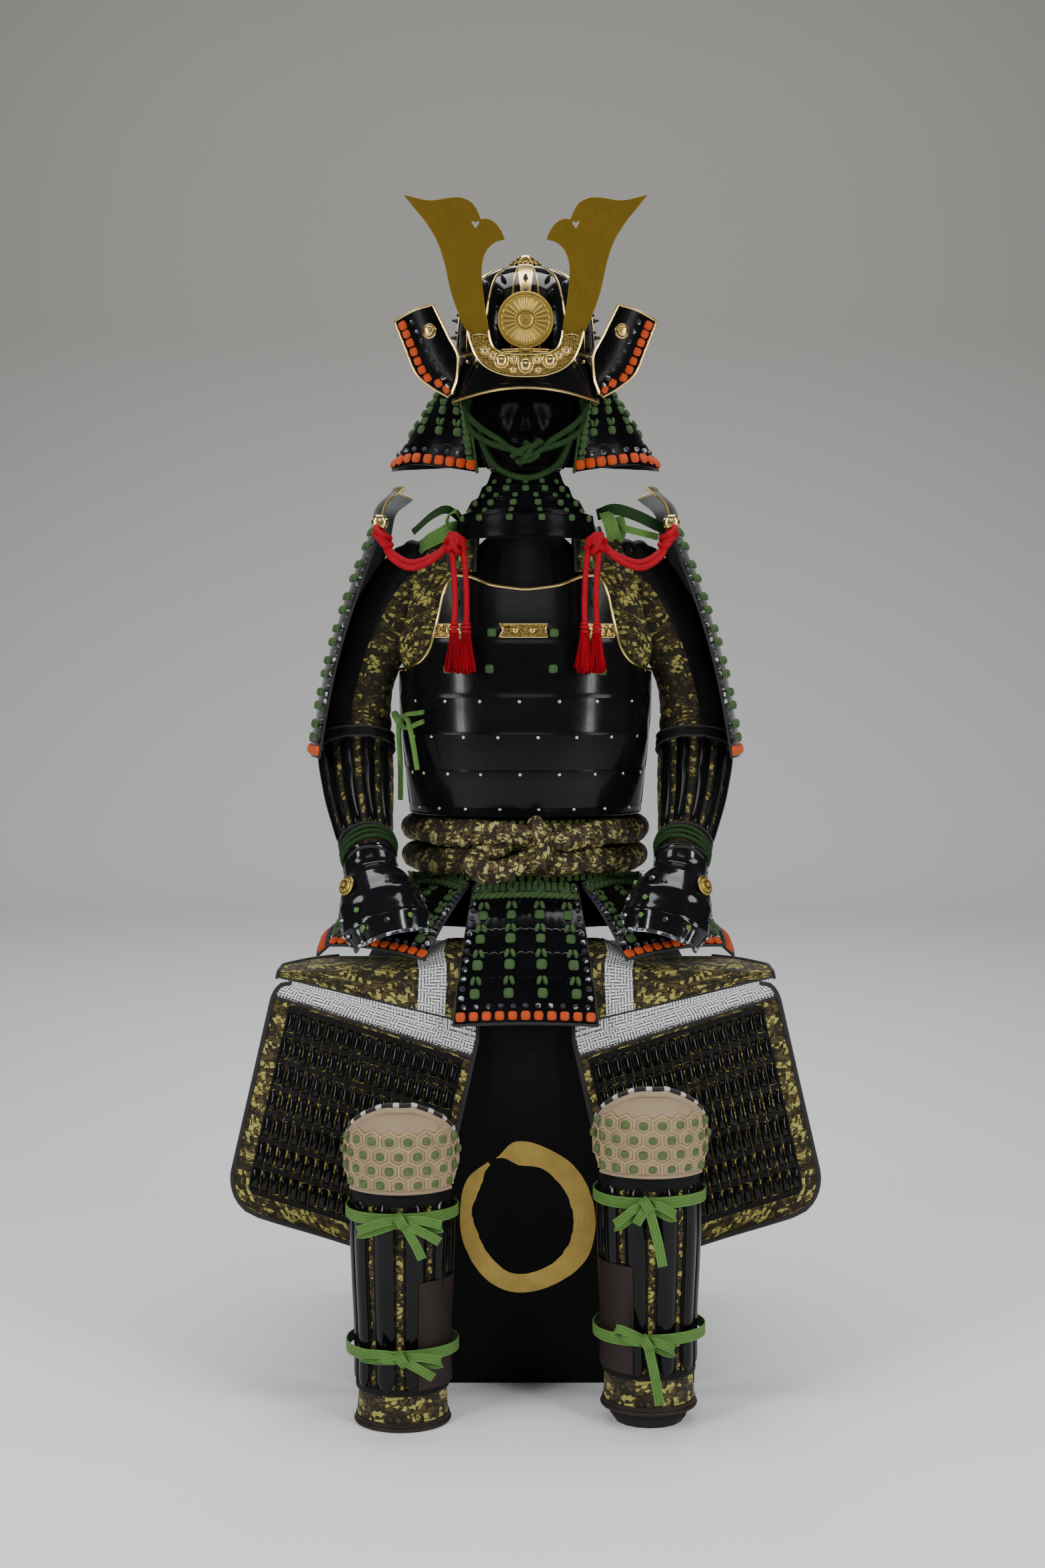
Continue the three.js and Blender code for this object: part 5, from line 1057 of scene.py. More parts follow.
def neck_guard():
    sg = facing(neck, (0, -10, 1250)); vs = np.linspace(0.015, 0.995, 6)
    m = Mesh(); lame_rows(m, neck, sg, vs, 26, lip=2.6, t=1.6, scallop=0.10)
    m.build("neck_lames", M["deep"], slot="lacquer", replaces=("neck_guard",))
    k = Mesh(); cols = np.linspace(0.035, 0.965, 21)
    lacing(k, neck, sg, vs[:-1], cols, 2.4, 0, 1.05)
    P, X, N = on(neck, np.linspace(0.006, 0.994, 2), 0.5, sg)
    for e in (0.012, 0.988):
        vv = np.linspace(0.02, 0.90, 16)
        knot_row(k, KNOT, neck, sg, np.full(16, e), vv, 1.6, 0, 0.95, 0.5)
    knot_row(k, BEAD, neck, sg, np.linspace(0.012, 0.988, 44), 0.865, 2.2, 1)
    knot_row(k, SQUARE, neck, sg, np.linspace(0.010, 0.990, 48), 0.94, 1.8, 2)
    knot_row(k, SQUARE, neck, -sg, np.r_[np.linspace(0.012, 0.16, 8), np.linspace(0.84, 0.988, 8)], 0.955, 1.6, 2, 0.8)
    for e in (0.0, 1.0):
        vv = np.linspace(0.02, 1.0, 50); tube(k, neck(e + 0 * vv, vv), 2.4, 8, m=0)
    k.build("neck_lacing", [M["green_knot"], M["mott"], M["orange"]], slot="green_silk")
    # turned-back wings
    V = [0, 0.3, 0.6, 0.8, 1]; iX, iZ, oX, oZ = (pchip(V, r) for r in ([121, 103, 88, 90, 97], [1403, 1366, 1332, 1308, 1288], [172, 159, 144, 123, 101], [1385, 1352, 1317, 1299, 1286]))
    for tag, s, _ in SIDES:
        def f(u, v):
            u, v = np.broadcast_arrays(np.asarray(u, float), v)
            w = np.clip(v, 0, 1)
            x = iX(w) + (oX(w) - iX(w)) * u; z = iZ(w) + (oZ(w) - iZ(w)) * u + 2.5 * np.sin(math.pi * u) * (1 - w)
            return xyz(s * x, -110 + 21 * u - 4 * np.sin(math.pi * u), z)
        u, v = np.linspace(0, 1, 33)[:, None], np.linspace(0, 1, 49)[None, :]
        P = f(u, v + 0 * u); N = normals(P); N = N * np.sign(-N[16, 20, 1])
        m = Mesh(); O, _ = wall(m, P, 2.0, N=N)
        rim = np.vstack([O[0, ::-1], O[1:, 0], O[-1, 1:], O[-2:0:-1, -1]])
        tube(m, rim, 1.9, 8, closed=True, up=np.array([0, -1.0, 0]), m=1)
        sg = facing(f, (0, 400, 1340))
        knot_row(m, SQUARE, f, sg, np.interp(np.linspace(0, 1, 9), [0, 0.75, 1], [0.86, 0.84, 0.55]), np.r_[0.085 + 0.10 * np.arange(8), 0.90], 0.2, 2, 0.84)
        knot_row(m, BEAD, f, sg, [0.62, 0.60, 0.60, 0.58, 0.55, 0.50, 0.45, 0.40], 0.10 + 0.108 * np.arange(8), 0.2, 3, 0.95)
        P, X, N = on(f, np.array([0.36]), np.array([0.24]), sg, 0.2)
        stamp(m, pillow(16, 16, 6.0, 24, 6, 2.0), P, X, N, 1); stamp(m, pillow(20, 20, 2.0, 24, 3, 2.0), P, X, N, 1)
        # the part folded back to the bowl
        g = lambda a, b: xyz(s * (iX(b) + 2 * (1 - a)), -88 - 22 * a, iZ(b))
        a, b = np.linspace(0, 1, 6)[:, None], np.linspace(0, 1, 30)[None, :]
        wall(m, g(a, b + 0 * a), 1.8)
        m.build("wing_" + tag, [M["deep"], M["gold"], M["orange"], M["mott"]], slot="lacquer", replaces=("turnback_" + tag,))
neck_guard()

def horns():
    top = [[188, 120], [300, 144], [400, 132], [455, 133], [500, 156], [525, 193], [541, 231]]
    beak = [[541, 231], [575, 229], [610, 250], [636, 285], [651, 320]]
    inner = [[651, 320], [606, 334], [567, 372], [547, 430], [545, 500], [555, 600], [568, 680], [582, 765]]
    outer = [[488, 765], [462, 715], [436, 655], [403, 560], [374, 430], [340, 330], [290, 246], [235, 178], [188, 120]]
    edge = np.vstack([spline(top, 34)[:-1], spline(beak, 20)[:-1], spline(inner, 40), spline(outer, 60)[:-1]])
    eye = spline([[517, 272], [505, 256], [498, 243], [506, 235], [516, 243], [527, 235], [535, 244], [529, 257]], 32, True)
    for tag, s, _ in SIDES:
        real = lambda Q: np.stack([-s * (Q[:, 0] - 750) * 0.2748, 1361.6 + (740 - Q[:, 1]) * 0.2748], 1)
        flat_art("horn_plate_" + tag, [real(edge)], [real(eye)], -164.4, 2.2, M["leaf"], 0.5, replaces=("horn_" + tag,))
    half = [[0, 1303], [24, 1304.5], [46, 1312], [61, 1325], [69.5, 1342], [75, 1363]]
    tip = [[75, 1363], [67, 1355], [63, 1352.5], [60, 1357], [56.5, 1352.5], [52, 1356], [47.5, 1363]]
    inn = [[47.5, 1363], [45.5, 1350], [40, 1339], [26, 1332.5], [0, 1331]]
    h = np.vstack([spline(half, 40)[:-1], np.array(tip[:-1]), spline(inn, 34)])
    ring = np.vstack([h, (h[1:-1] * [-1, 1])[::-1]])
    flat_art("horn_holder", [ring], [], -168.0, 3.0, M["engr"], 0.6, replaces=("horn_base",))
    m = Mesh(); R = np.stack([ring[:, 0], 0 * ring[:, 0] - 169.6, ring[:, 1]], 1); c = R.mean(0)
    tube(m, R, 1.35, 8, closed=True, up=np.array([0, -1.0, 0]))
    face = np.array([0, -1.0, 0])
    for x, z, w in ((0, 1317.5, 17), (-31, 1323, 16), (31, 1323, 16), (-14.5, 1324.5, 9.5), (14.5, 1324.5, 9.5), (-16, 1311.5, 7.5), (16, 1311.5, 7.5),
                    (-52, 1336, 9.5), (52, 1336, 9.5), (-42, 1330, 9), (42, 1330, 9), (-58, 1327.5, 0), (58, 1327.5, 0)):
        if not w:
            continue
        stamp(m, pillow(w, w, w * 0.34, 28, 6, 2.0), [[x, -169.4, z]], [1.0, 0, 0], face)
        ringp = np.stack([x + w * 0.58 * np.cos(np.linspace(0, T2, 24, endpoint=False)), np.full(24, -169.5), z + w * 0.58 * np.sin(np.linspace(0, T2, 24, endpoint=False))], 1)
        tube(m, ringp, w * 0.055, 6, closed=True)
    m.build("horn_holder_bosses", M["boss"], slot="gold")
    # plain disc: fine rays inside two rings
    m = Mesh(); n = 192; a = np.linspace(0, T2, n, endpoint=False)[:, None]
    r = np.r_[36, 36, 35.2, 33.5, 32.6, 31.8, 30.6, np.linspace(29.8, 12.5, 14), 11.6, 10.8, 9.5, 7, 4, 0.8][None, :]
    base = np.interp(r, [0, 7, 9.5, 10.8, 11.6, 12.5, 29.8, 30.6, 31.8, 32.6, 33.5, 35.2, 36], [3.6, 3.2, 2.6, 1.3, 2.4, 1.6, 1.5, 1.6, 2.7, 1.5, 1.5, 2.8, 2.2])
    ray = 0.55 * np.cos(24 * a) * smooth(12.5, 16, r) * smooth(30.2, 28, r)
    y = -161.2 + 1.25 - base - ray
    y = np.where(np.arange(r.shape[1])[None, :] == 0, -158.8, y)
    P = np.stack([r * np.sin(a), y + 0 * a, 1376 + r * np.cos(a)], -1)
    F, Fu = grid_faces(n, r.shape[1], True); UV = arc_uv(P, True).reshape(-1, 2); m.add(P.reshape(-1, 3), F[:, ::-1], UV[Fu][:, ::-1])
    m.add(np.vstack([P[:, 0], [[0, -158.8, 1376]]]), [[(k + 1) % n, k, n] for k in range(n)][::-1], None)
    for x0 in (-7, 7):
        tube(m, [[x0, -160.6, 1342], [x0 * 0.9, -161, 1335], [x0 * 0.8, -164, 1329]], 2.2, 8)
    for z0 in (1333.5, 1336.8):
        tube(m, [[-8, -161.5, z0], [8, -161.5, z0]], 1.6, 8)
    m.build("sun_disc", M["disc"], slot="gold", replaces=("crest_disc",), sharp=35)
horns()


# ------------------------------------------------------------------ shoulder guards
def shoulder_guards():
    vs = np.linspace(0.0, 1.0, 8)
    for tag, s, _ in SIDES:
        f = lambda u, v: sode(s, u, v)
        sg = facing(f, (0, 0, 960))
        m = Mesh(); lame_rows(m, f, sg, vs, 18, lip=2.6, t=1.7, scallop=0.09, m_in=1)
        m.build("shoulder_lames_" + tag, [M["row"], M["black"]], slot="lacquer", replaces=("shoulder_guard_" + tag,))
        k = Mesh(); lacing(k, f, sg, vs, np.linspace(0.13, 0.87, 6), 2.4, 0, 1.1)
        for e in (0.022, 0.978):
            knot_row(k, BEAD, f, sg, np.full(30, e), np.linspace(0.02, 0.90, 30), 1.8, 1, 1.0)
            vv = np.linspace(0.0, 1.0, 60)
            tube(k, f(e * 1.0 + (-0.022 if e < 0.5 else 0.022) + 0 * vv, vv), 1.7, 8, m=3)
        knot_row(k, BEAD, f, sg, np.linspace(0.05, 0.95, 20), 0.925, 2.0, 1)
        knot_row(k, SQUARE, f, sg, np.linspace(0.035, 0.965, 14), 0.968, 1.8, 2)
        k.build("shoulder_lacing_" + tag, [M["green_knot"], M["mott"], M["orange"], M["piping"]], slot="green_silk")
        # cap plate with its gilt rim, and the gilt knob the cord is tied to
        fx, fz = pchip([0, .5, 1], [2, -4, -30]), pchip([0, .5, 1], [1112, 1142, 1170])
        def cap(u, v):
            p = sode(s, u, 0 * np.asarray(v, float)); v = np.asarray(v, float)
            dip = 3.0 * (2 * np.asarray(u, float) - 1) ** 2 * smooth(0.6, 1, v)
            return xyz(p[..., 0] + s * fx(v), p[..., 1], fz(v) - dip)
        u, v = np.linspace(0, 1, 49)[:, None], np.linspace(0, 1, 17)[None, :]
        P = cap(u + 0 * v, v + 0 * u); N = normals(P); N = N * np.sign(N[24, 8, 0] * s)
        m = Mesh(); O, _ = wall(m, P, 2.0, N=N)
        rim = np.vstack([O[:, 0], O[-1, 1:], O[-2::-1, -1], O[0, -2:0:-1]])
        tube(m, rim, 2.0, 8, closed=True, m=1)
        kx, ky, kz = s * 192, -103, 1121
        for y, r in ((-97, 9.0), (-100, 11.0), (-108, 10.0)):
            ring = np.array([[kx + r * 0.82 * math.cos(a), y, kz + r * 0.82 * math.sin(a)] for a in np.linspace(0, T2, 24, endpoint=False)])
            tube(m, ring, r * 0.18, 6, closed=True, m=2)
        a = np.linspace(0, T2, 33)[:-1][:, None]; rr = np.array([3.0, 9.5, 10.6, 10.8, 10.2, 8.2, 5.0, 0.6])[None, :]; yy = np.array([-94.5, -95, -97, -105, -108.5, -111, -112, -112.4])[None, :]
        Q = np.stack([kx + rr * np.cos(a) * (1 + 0.05 * np.cos(6 * a)), yy + 0 * a, kz + rr * np.sin(a) * (1 + 0.05 * np.cos(6 * a))], -1)
        F, Fu = grid_faces(32, 8, True); m.add(Q.reshape(-1, 3), F, arc_uv(Q, True).reshape(-1, 2)[Fu], 2)
        m.build("shoulder_cap_plate_" + tag, [M["cap"], M["gold"], M["boss"]], slot="gold", replaces=("shoulder_cap_" + tag,))
shoulder_guards()


# ------------------------------------------------------------------ sleeves and hands
BARS = [(-158 + 33.2 * k, -158 + 33.2 * k + 20.6) for k in range(7)]
HV = np.vstack([[205, -149, 686, 34.5, 38], HR]); HVF = [pchip(range(-1, 4), HV[:, k]) for k in range(5)]
def hand_v(s, deg, i, grow=0.0):
    """the hand guard's surface, carried up over the wrist"""
    deg, i = np.broadcast_arrays(np.asarray(deg, float), i)
    at = lambda k: xyz(s * HVF[0](k), HVF[1](k), HVF[2](k))
    t = unit(at(np.minimum(i + 0.05, 3)) - at(np.maximum(i - 0.05, -1)))
    up = np.array([s * 0.1, -0.62, 0.78]); up = unit(up - t * np.sum(up * t, -1, keepdims=True)); w = np.cross(t, up)
    a = np.radians(deg)[..., None]
    return at(i) + w * ((HVF[3](i) + grow)[..., None] * np.sin(a)) + up * ((HVF[4](i) + grow)[..., None] * np.cos(a))

def ribbon(m, pts, width, edge, n=4, k=36, mi=0):
    """a flat ribbon of n ribs side by side; edge is the direction across it"""
    P = spline(pts, k); T = unit(np.gradient(P, axis=0)); E = np.broadcast_to(np.asarray(edge, float), P.shape)
    E = unit(E - T * np.sum(E * T, -1, keepdims=True)); N = np.cross(E, T)
    for j in range(n):
        tube(m, P + E * ((j - (n - 1) / 2) * width / n), width / n * 0.54, 8, flat=0.85, up=N, m=mi)

def sleeves():
    for tag, s, _ in SIDES:
        deg = np.linspace(0, 360, 97)[:-1][:, None]; i = np.linspace(0, 8, 181)[None, :]
        base = arm(s, deg, i)
        x, y, z = base[..., 0] * s, base[..., 1], base[..., 2]
        soft = 2.6 * vnoise(x / 34, y / 34, z / 34) + 1.3 * vnoise(x / 13 + 9, y / 13, z / 22)
        ph = i * 9.0 + 0.8 * np.sin(np.radians(deg) + i) + 1.6 * vnoise(x / 40, y / 40, z / 40)
        folds = (1 - abs(np.sin(ph))) ** 2 * -3.4
        amt = 0.35 + 0.65 * smooth(3.3, 4.6, i) * (0.4 + 0.6 * smooth(20, 160, abs(deg - 180) * -1 + 180)) + 0.5 * smooth(1.8, 0.6, i)
        disp = soft * 0.9 + folds * amt + 0.8
        disp = np.where(i > 4.95, np.clip(disp * 0.35, -1.4, 0.9), disp)
        disp = disp * smooth(0.0, 0.25, i)
        disp = disp + 14 * np.exp(-((i - 2.3) / 0.5) ** 2) * np.exp(-((deg - 200) / 42) ** 2)
        P = arm(s, deg, i, disp)
        m = Mesh(); N = normals(P, True); N = N * np.sign(np.sum(N * (P - (arm(s, deg, i) + arm(s, deg + 180, i)) / 2), -1).mean())
        wall(m, P, 2.2, closed=True, N=N, m_in=1)
        e = Mesh()
        for ii in (0.0, 8.0):
            a = np.linspace(0, 360, 80, endpoint=False); tube(e, arm(s, a, ii + 0 * a, 0.3), 1.9, 8, closed=True)
        e.build("sleeve_piping_" + tag, M["piping"], slot="black_cloth")
        # the sleeve cloth takes the darker copy of the brocade: painted shade
        ob = m.build("sleeve_cloth_" + tag, [M["broc_shaded"], M["black"]], slot="brocade", replaces=("sleeve_" + tag,))
        # mail on the outer half, bands of mail and the long splints
        m = Mesh()
        half = np.r_[73:96, 0:27]; cut = slice(6, 104)
        Q = P[half][:, cut]; n = N[half][:, cut]; wall(m, Q + n * 1.4, 1.2, out=0.5 * vnoise(np.arange(50)[:, None] / 2.0, np.arange(98)[None, :] / 2.0), N=n)
        for a, b, g in ((4.62, 5.0, 2.0), (7.42, 7.66, 3.0)):
            dg, ii = np.linspace(0, 360, 97)[:-1][:, None], np.linspace(a, b, 9)[None, :]
            Q = arm(s, dg, ii, g + 0.9 * np.sin(math.pi * (ii - a) / (b - a)) + 0.7 * vnoise(dg / 17, ii * 6)); n = normals(Q, True); n = n * np.sign(np.sum(n * (Q - Q.mean(0, keepdims=True)), -1).mean())
            wall(m, Q, 1.6, closed=True, N=n)
            for e in (a, b):
                dd = np.linspace(0, 360, 90, endpoint=False); tube(m, arm(s, dd, e + 0 * dd, g + 0.4), 1.5, 6, closed=True, m=2)
        for k, (a, b) in enumerate(BARS):
            c, h = (a + b) / 2, (b - a) / 2 * 0.84
            u = np.linspace(-1, 1, 11)[:, None]; ii = np.linspace(5.1, 7.38, 40)[None, :]
            q = (ii - 5.1) / 2.28; endw = np.sqrt(np.clip(1 - (abs(2 * q - 1)) ** 14, 0.02, 1))
            dome = 2.9 + 2.6 * (1 - u ** 2) * endw
            Q = arm(s, c + u * h * endw, ii + 0 * u, dome)
            n = unit(arm(s, c + u * h * endw, ii + 0 * u, dome + 5) - Q)
            wall(m, Q, 1.6, N=n, m=1)
            for e in (-1, 1):
                q2 = np.linspace(5.06, 7.42, 60); tube(m, arm(s, c + e * (h + 1.9) + 0 * q2, q2, 2.0), 1.0, 5, m=0)
        m.build("forearm_bars_" + tag, [M["mail"], M["row"], M["piping"]], slot="lacquer", replaces=("forearm_splints_" + tag,))
        # hand guard, ridged over the fingers, with a plain gilt disc on its outer side
        dg = np.linspace(-96, 96, 97)[:, None]; ii = np.linspace(-0.8, 3, 91)[None, :]
        ridge = 2.6 * abs(np.sin(np.radians(dg) * 2.2 + math.pi / 2)) ** 0.7 * smooth(1.3, 2.1, ii) + 2.4 * np.exp(-((ii - 1.35) / 0.16) ** 2) + 1.8 * np.exp(-((ii - 0.55) / 0.14) ** 2) + 1.6 * np.exp(-((ii - 2.2) / 0.12) ** 2)
        ridge = ridge + 0.35 * vnoise(dg / 24, ii * 1.6)
        P = hand_v(s, dg, ii); N = unit(hand_v(s, dg, ii, 5) - P)
        m = Mesh(); O, _ = wall(m, P, 1.9, out=ridge, N=N)
        for e in (0, -1):
            tube(m, O[e], 2.0, 8, m=2)
        tube(m, O[:, -1], 2.4, 8, m=2); tube(m, O[:, 0], 2.0, 8, m=0)
        for d0 in (-70, -35, 0, 35, 70):
            for i0 in (0.75, 1.15, 1.8, 2.45):
                Q = hand_v(s, np.array([float(d0)]), np.array([i0]), 3.2); n = unit(hand_v(s, np.array([float(d0)]), np.array([i0]), 8) - Q)
                if (d0 * -s) in (35, 70) and i0 < 1.5 or hash2(d0, i0 * 7) < 0.35:
                    continue
                stamp(m, BEAD if (int(i0 * 4) + d0 // 35) % 2 else pillow(7, 7, 3.4, 10, 3, 2.8), Q, [0.3, 0, 1.0], n, 2 if (int(i0 * 4) + d0 // 35) % 2 else 1)
        d0, i0 = -s * 46.0, 0.85
        Q = hand_v(s, np.array([d0]), np.array([i0]), 2.6); n = unit(hand_v(s, np.array([d0]), np.array([i0]), 9) - Q)
        for w, dpt in ((26, 3.2), (21, 4.8), (7, 7.4)):
            stamp(m, pillow(w, w * 1.18, dpt, 36, 5, 2.0), Q, [0, 0, 1.0], n, 3)
        X = unit(np.array([[0, 0, 1.0]]) - n * n[..., 2:3]); Y = np.cross(n, X)
        a = np.linspace(0, T2, 10, endpoint=False)
        stamp(m, pillow(3.6, 3.6, 2.2, 10, 3, 2.0), Q + X * (7.4 * np.cos(a))[:, None] + Y * (8.0 * np.sin(a))[:, None] + n * 3.0, [0, 0, 1.0], np.repeat(n, 10, 0), 3)
        m.build("hand_plate_" + tag, [M["lac"], M["green"], M["mott"], M["disc"]], slot="lacquer", replaces=("hand_guard_" + tag,))
        # three turns of green cord round the wrist
        m = Mesh(); dd = np.linspace(0, 360, 100, endpoint=False)
        for j, e in enumerate((7.60, 7.72, 7.84)):
            rope(m, arm(s, dd, e + 0.10 * np.sin(np.radians(dd * 1.0) + 1.0), 4.3 + 0.5 * np.sin(np.radians(dd * 3 + 90 * j))), 2.5, sides=9, closed=True, pitch=7, depth=0.14)
        m.build("wrist_cord_" + tag, M["green_cord"], slot="green_silk", replaces=("wrist_tie_" + tag,))
sleeves()


# ------------------------------------------------------------------ waist
def waist():
    m = Mesh()
    a = np.linspace(0, T2, 121)[:-1][:, None]; z = np.linspace(645, 727, 5)[None, :]
    P = xyz(127 * np.sin(a), -91 * np.cos(a), z + 0 * a); wall(m, P, 2.4, closed=True, N=unit(P * [1 / 127 ** 2, 1 / 91 ** 2, 0]), m=1)
    for k in range(74):
        t = T2 * (k + 0.5) / 74; zz = np.linspace(645.5, 726.5, 12); o = 2.6 + 0.8 * np.sin(zz / 13 + k * 1.7)
        tube(m, xyz((128 + o) * math.sin(t), -(92 + o) * math.cos(t), zz), 3.9, 8, flat=0.7, up=[math.sin(t), -math.cos(t), 0])
    m.build("waist_ribbons", [M["green"], M["black"]], slot="green_silk", replaces=("waist_lacing",))
    for name, z0, ph in (("upper", 712, 0.0), ("lower", 674.5, 2.0)):
        n = 300; t = np.linspace(0, T2, n, endpoint=False)
        path = xyz(152 * np.sin(t), -112 * np.cos(t), z0 - 3 * np.cos(t) + 2.2 * vnoise(np.sin(t) * 2.2 + ph, np.cos(t) * 2.2))
        T, Nn, B = frames_along(path, True, [0, 0, 1.0])
        L = np.r_[0, np.cumsum(np.linalg.norm(np.diff(path, axis=0), axis=1))]
        sides = 32; b = np.linspace(0, T2, sides, endpoint=False)[None, :]; l = L[:, None]
        total = L[-1] + 2.6; w = l / total * T2
        oblique = w * 84 + b * 2.0 + 2.2 * vnoise(np.sin(w) * 5 + ph, np.cos(w) * 5)
        r = 17.6 + 1.5 * np.sin(w * 9 + b * 1.0 + ph) - 4.6 * (0.5 + 0.5 * vnoise(np.sin(w) * 9, np.cos(w) * 9, 3 + np.sin(b))) * (1 - abs(np.sin(oblique * 0.5 + 1.5 * vnoise(np.sin(w) * 6, np.cos(w) * 6 + ph, np.sin(b)))))**3 + 1.0 * vnoise(np.sin(w) * 22 + np.sin(b), np.cos(w) * 22 + np.cos(b), ph)
        V = path[:, None] + Nn[:, None] * (r * np.cos(b))[..., None] + B[:, None] * (r * np.sin(b))[..., None]
        V = np.transpose(V, (1, 0, 2))
        F, Fu = grid_faces(sides, n, True)
        UV = np.stack(np.meshgrid(np.linspace(0, 118, sides + 1), L, indexing="ij"), -1).reshape(-1, 2)
        m = Mesh(); m.add(V.reshape(-1, 3), F, UV[Fu])
        k = np.arange(sides); q = (k + 1) % sides
        m.F.append((np.stack([k * n + n - 1, q * n + n - 1, q * n, k * n], 1), np.stack([UV[k * n + n - 1], UV[(k + 1) * n + n - 1], UV[(k + 1) * n + n - 1], UV[k * n + n - 1]], 1), 0))
        ob = m.build("belt_roll_" + name, M["broc_belt"], slot="brocade", replaces=("belt_" + name,), sharp=0)
    m = Mesh()
    def fat(pts, r0, r1=None, flat=0.8, ph=0.0, n=70):
        P = spline(pts, n); tt = np.linspace(0, 1, n)
        T, Nn, B = frames_along(P, False, [0, -1.0, 0.0])
        sides = 24; b = np.linspace(0, T2, sides, endpoint=False)[None, :]
        L = np.r_[0, np.cumsum(np.linalg.norm(np.diff(P, axis=0), axis=1))]
        r = np.interp(tt, [0, 0.08, 0.5, 0.92, 1], [r0 * 0.45, r0 * 0.9, r1 or r0, r0 * 0.9, r0 * 0.45])[:, None]
        r = r * (1 - 0.27 * (1 - abs(np.sin(L[:, None] / 5.2 + b + ph))) ** 3 + 0.05 * vnoise(L[:, None] / 9 + ph, np.sin(b) * 1.5, np.cos(b) * 1.5))
        V = P[:, None] + Nn[:, None] * (r * flat * np.cos(b))[..., None] + B[:, None] * (r * np.sin(b))[..., None]
        V = np.transpose(V, (1, 0, 2)); F, Fu = grid_faces(sides, n, True)
        UV = np.stack(np.meshgrid(np.linspace(0, 90, sides + 1), L + ph * 40, indexing="ij"), -1).reshape(-1, 2)
        m.add(V.reshape(-1, 3), F, UV[Fu])
        for e, sg in ((0, -1), (n - 1, 1)):
            ring = V[:, e]; m.add(np.vstack([ring, ring.mean(0) + sg * T[e] * 3]), [[(k + 1) % sides, k, sides] if sg < 0 else [k, (k + 1) % sides, sides] for k in range(sides)])
    fat([(24, -148, 702), (0, -155, 711), (-30, -157, 716), (-60, -152, 714), (-84, -140, 708), (-98, -128, 706)], 14, 15, 0.85, ph=0.3)
    fat([(24, -148, 702), (50, -152, 704), (76, -144, 709), (98, -128, 712)], 14, 14, 0.85, ph=1.1)
    fat([(18, -156, 694), (0, -161, 680), (-26, -163, 668), (-52, -158, 664), (-68, -150, 676), (-52, -146, 692), (-20, -148, 696)], 14, 16, 0.85, ph=2.2)
    fat([(20, -154, 686), (44, -154, 678), (70, -146, 677), (94, -130, 676)], 13, 14, 0.85, ph=3.0)
    fat([(10, -138, 730), (16, -160, 722), (22, -168, 704), (22, -168, 688), (14, -156, 670)], 12, 13, 0.85, ph=3.9)
    ob = m.build("belt_bow", M["broc_belt"], slot="brocade", replaces=("belt_knot",), sharp=0)
waist()

TASSETS = [("tasset_front", 0, (-68, -112), (68, -112), (-92, -246, 478), (92, -246, 478), 6, 16, 4, 11),
           ("tasset_fore", 1, (76, -106), (128, -44), (128, -236, 561), (262, -150, 567), 7, 5, 3, 11),
           ("tasset_side", 1, (132, -35), (132, 43), (276, -118, 549), (276, 108, 549), 8, 8, 4, 14),
           ("tasset_back", 1, (128, 52), (8, 112), (240, 132, 549), (10, 232, 532), 12, 8, 4, 14)]
def tassets():
    for name, two, a, b, c, d, ac, al, ncol, nor in TASSETS:
        for tag, s, _ in (SIDES if two else (("", 1.0, 0),)):
            fl = lambda q: (s * q[0], q[1], q[2] if len(q) > 2 else 641)
            f = patch(fl(a), fl(b), fl(c), fl(d), ac, al)
            P, X, N = on(f, 0.5, 0.5); sg = 1.0 if N[2] >= 0 else -1.0
            vs = np.array([0.02, 0.20, 0.38, 0.56, 0.74, 1.0])
            m = Mesh(); lame_rows(m, f, sg, vs, 14 if not two else 13, lip=2.4, t=1.4, scallop=0.10)
            k = Mesh()
            lacing(k, f, sg, vs[:-1], np.linspace(0.13, 0.87, ncol), 2.2, 0, 1.25 if not two else 1.05)
            for u in np.linspace(0.13, 0.87, ncol):
                knot_row(k, KNOT, f, sg, [u], 0.815, 1.6, 0, 1.2)
                for side in (-1, 1):
                    P, X, N = on(f, np.array([u]), 0.735, sg, 2.5)
                    stamp(k, EAR, P + X * side * 3.8, X * math.cos(0.3) + np.cross(N, X) * 0.3 * side, N, 0, 1.25)
            for e in (0.035, 0.965):
                knot_row(k, BEAD, f, sg, np.full(14, e), np.linspace(0.04, 0.84, 14), 2.0, 1, 1.0, 0.3)
            knot_row(k, BEAD, f, sg, np.linspace(0.06, 0.94, nor), 0.893, 1.5, 1, 0.95)
            knot_row(k, SQUARE, f, sg, np.linspace(0.045, 0.955, nor), 0.952, 1.2, 2, 0.92)
            wide = np.linalg.norm(f(np.array([0.98]), 0.1) - f(np.array([0.02]), 0.1))
            for u in np.linspace(0.04, 0.96, int(wide / 8.2)):
                P, X, N = on(f, np.full(8, u), np.linspace(0.0, 0.078, 8), sg, 2.6); tube(k, P, 3.9, 8, flat=0.6, up=N[0], m=0)
            uu = np.linspace(0.015, 0.985, 150); P, X, N = on(f, uu, np.full(150, 0.118), sg, 4.6); D = np.cross(N, X)
            for ph in (0.0, math.pi):
                q = (uu * wide / 15 * T2 + ph)[:, None]; tube(k, P + 2.1 * np.cos(q) * N + 2.1 * np.sin(q) * D, 2.7, 8, m=0)
            for e in (0.0, 1.0):
                vv = np.linspace(0, 1, 40); tube(k, f(e + 0 * vv, vv), 1.8, 6, m=3)
            uu = np.linspace(0, 1, 50); tube(k, f(uu, 1.0 + 0 * uu), 1.9, 6, m=3)
            m.build(name + "_lames" + ("_" + tag if tag else ""), M["row"], slot="lacquer", replaces=(name + ("_" + tag if tag else ""),))
            k.build(name + "_lacing" + ("_" + tag if tag else ""), [M["green_knot"], M["mott"], M["orange"], M["piping"]], slot="green_silk")
tassets()


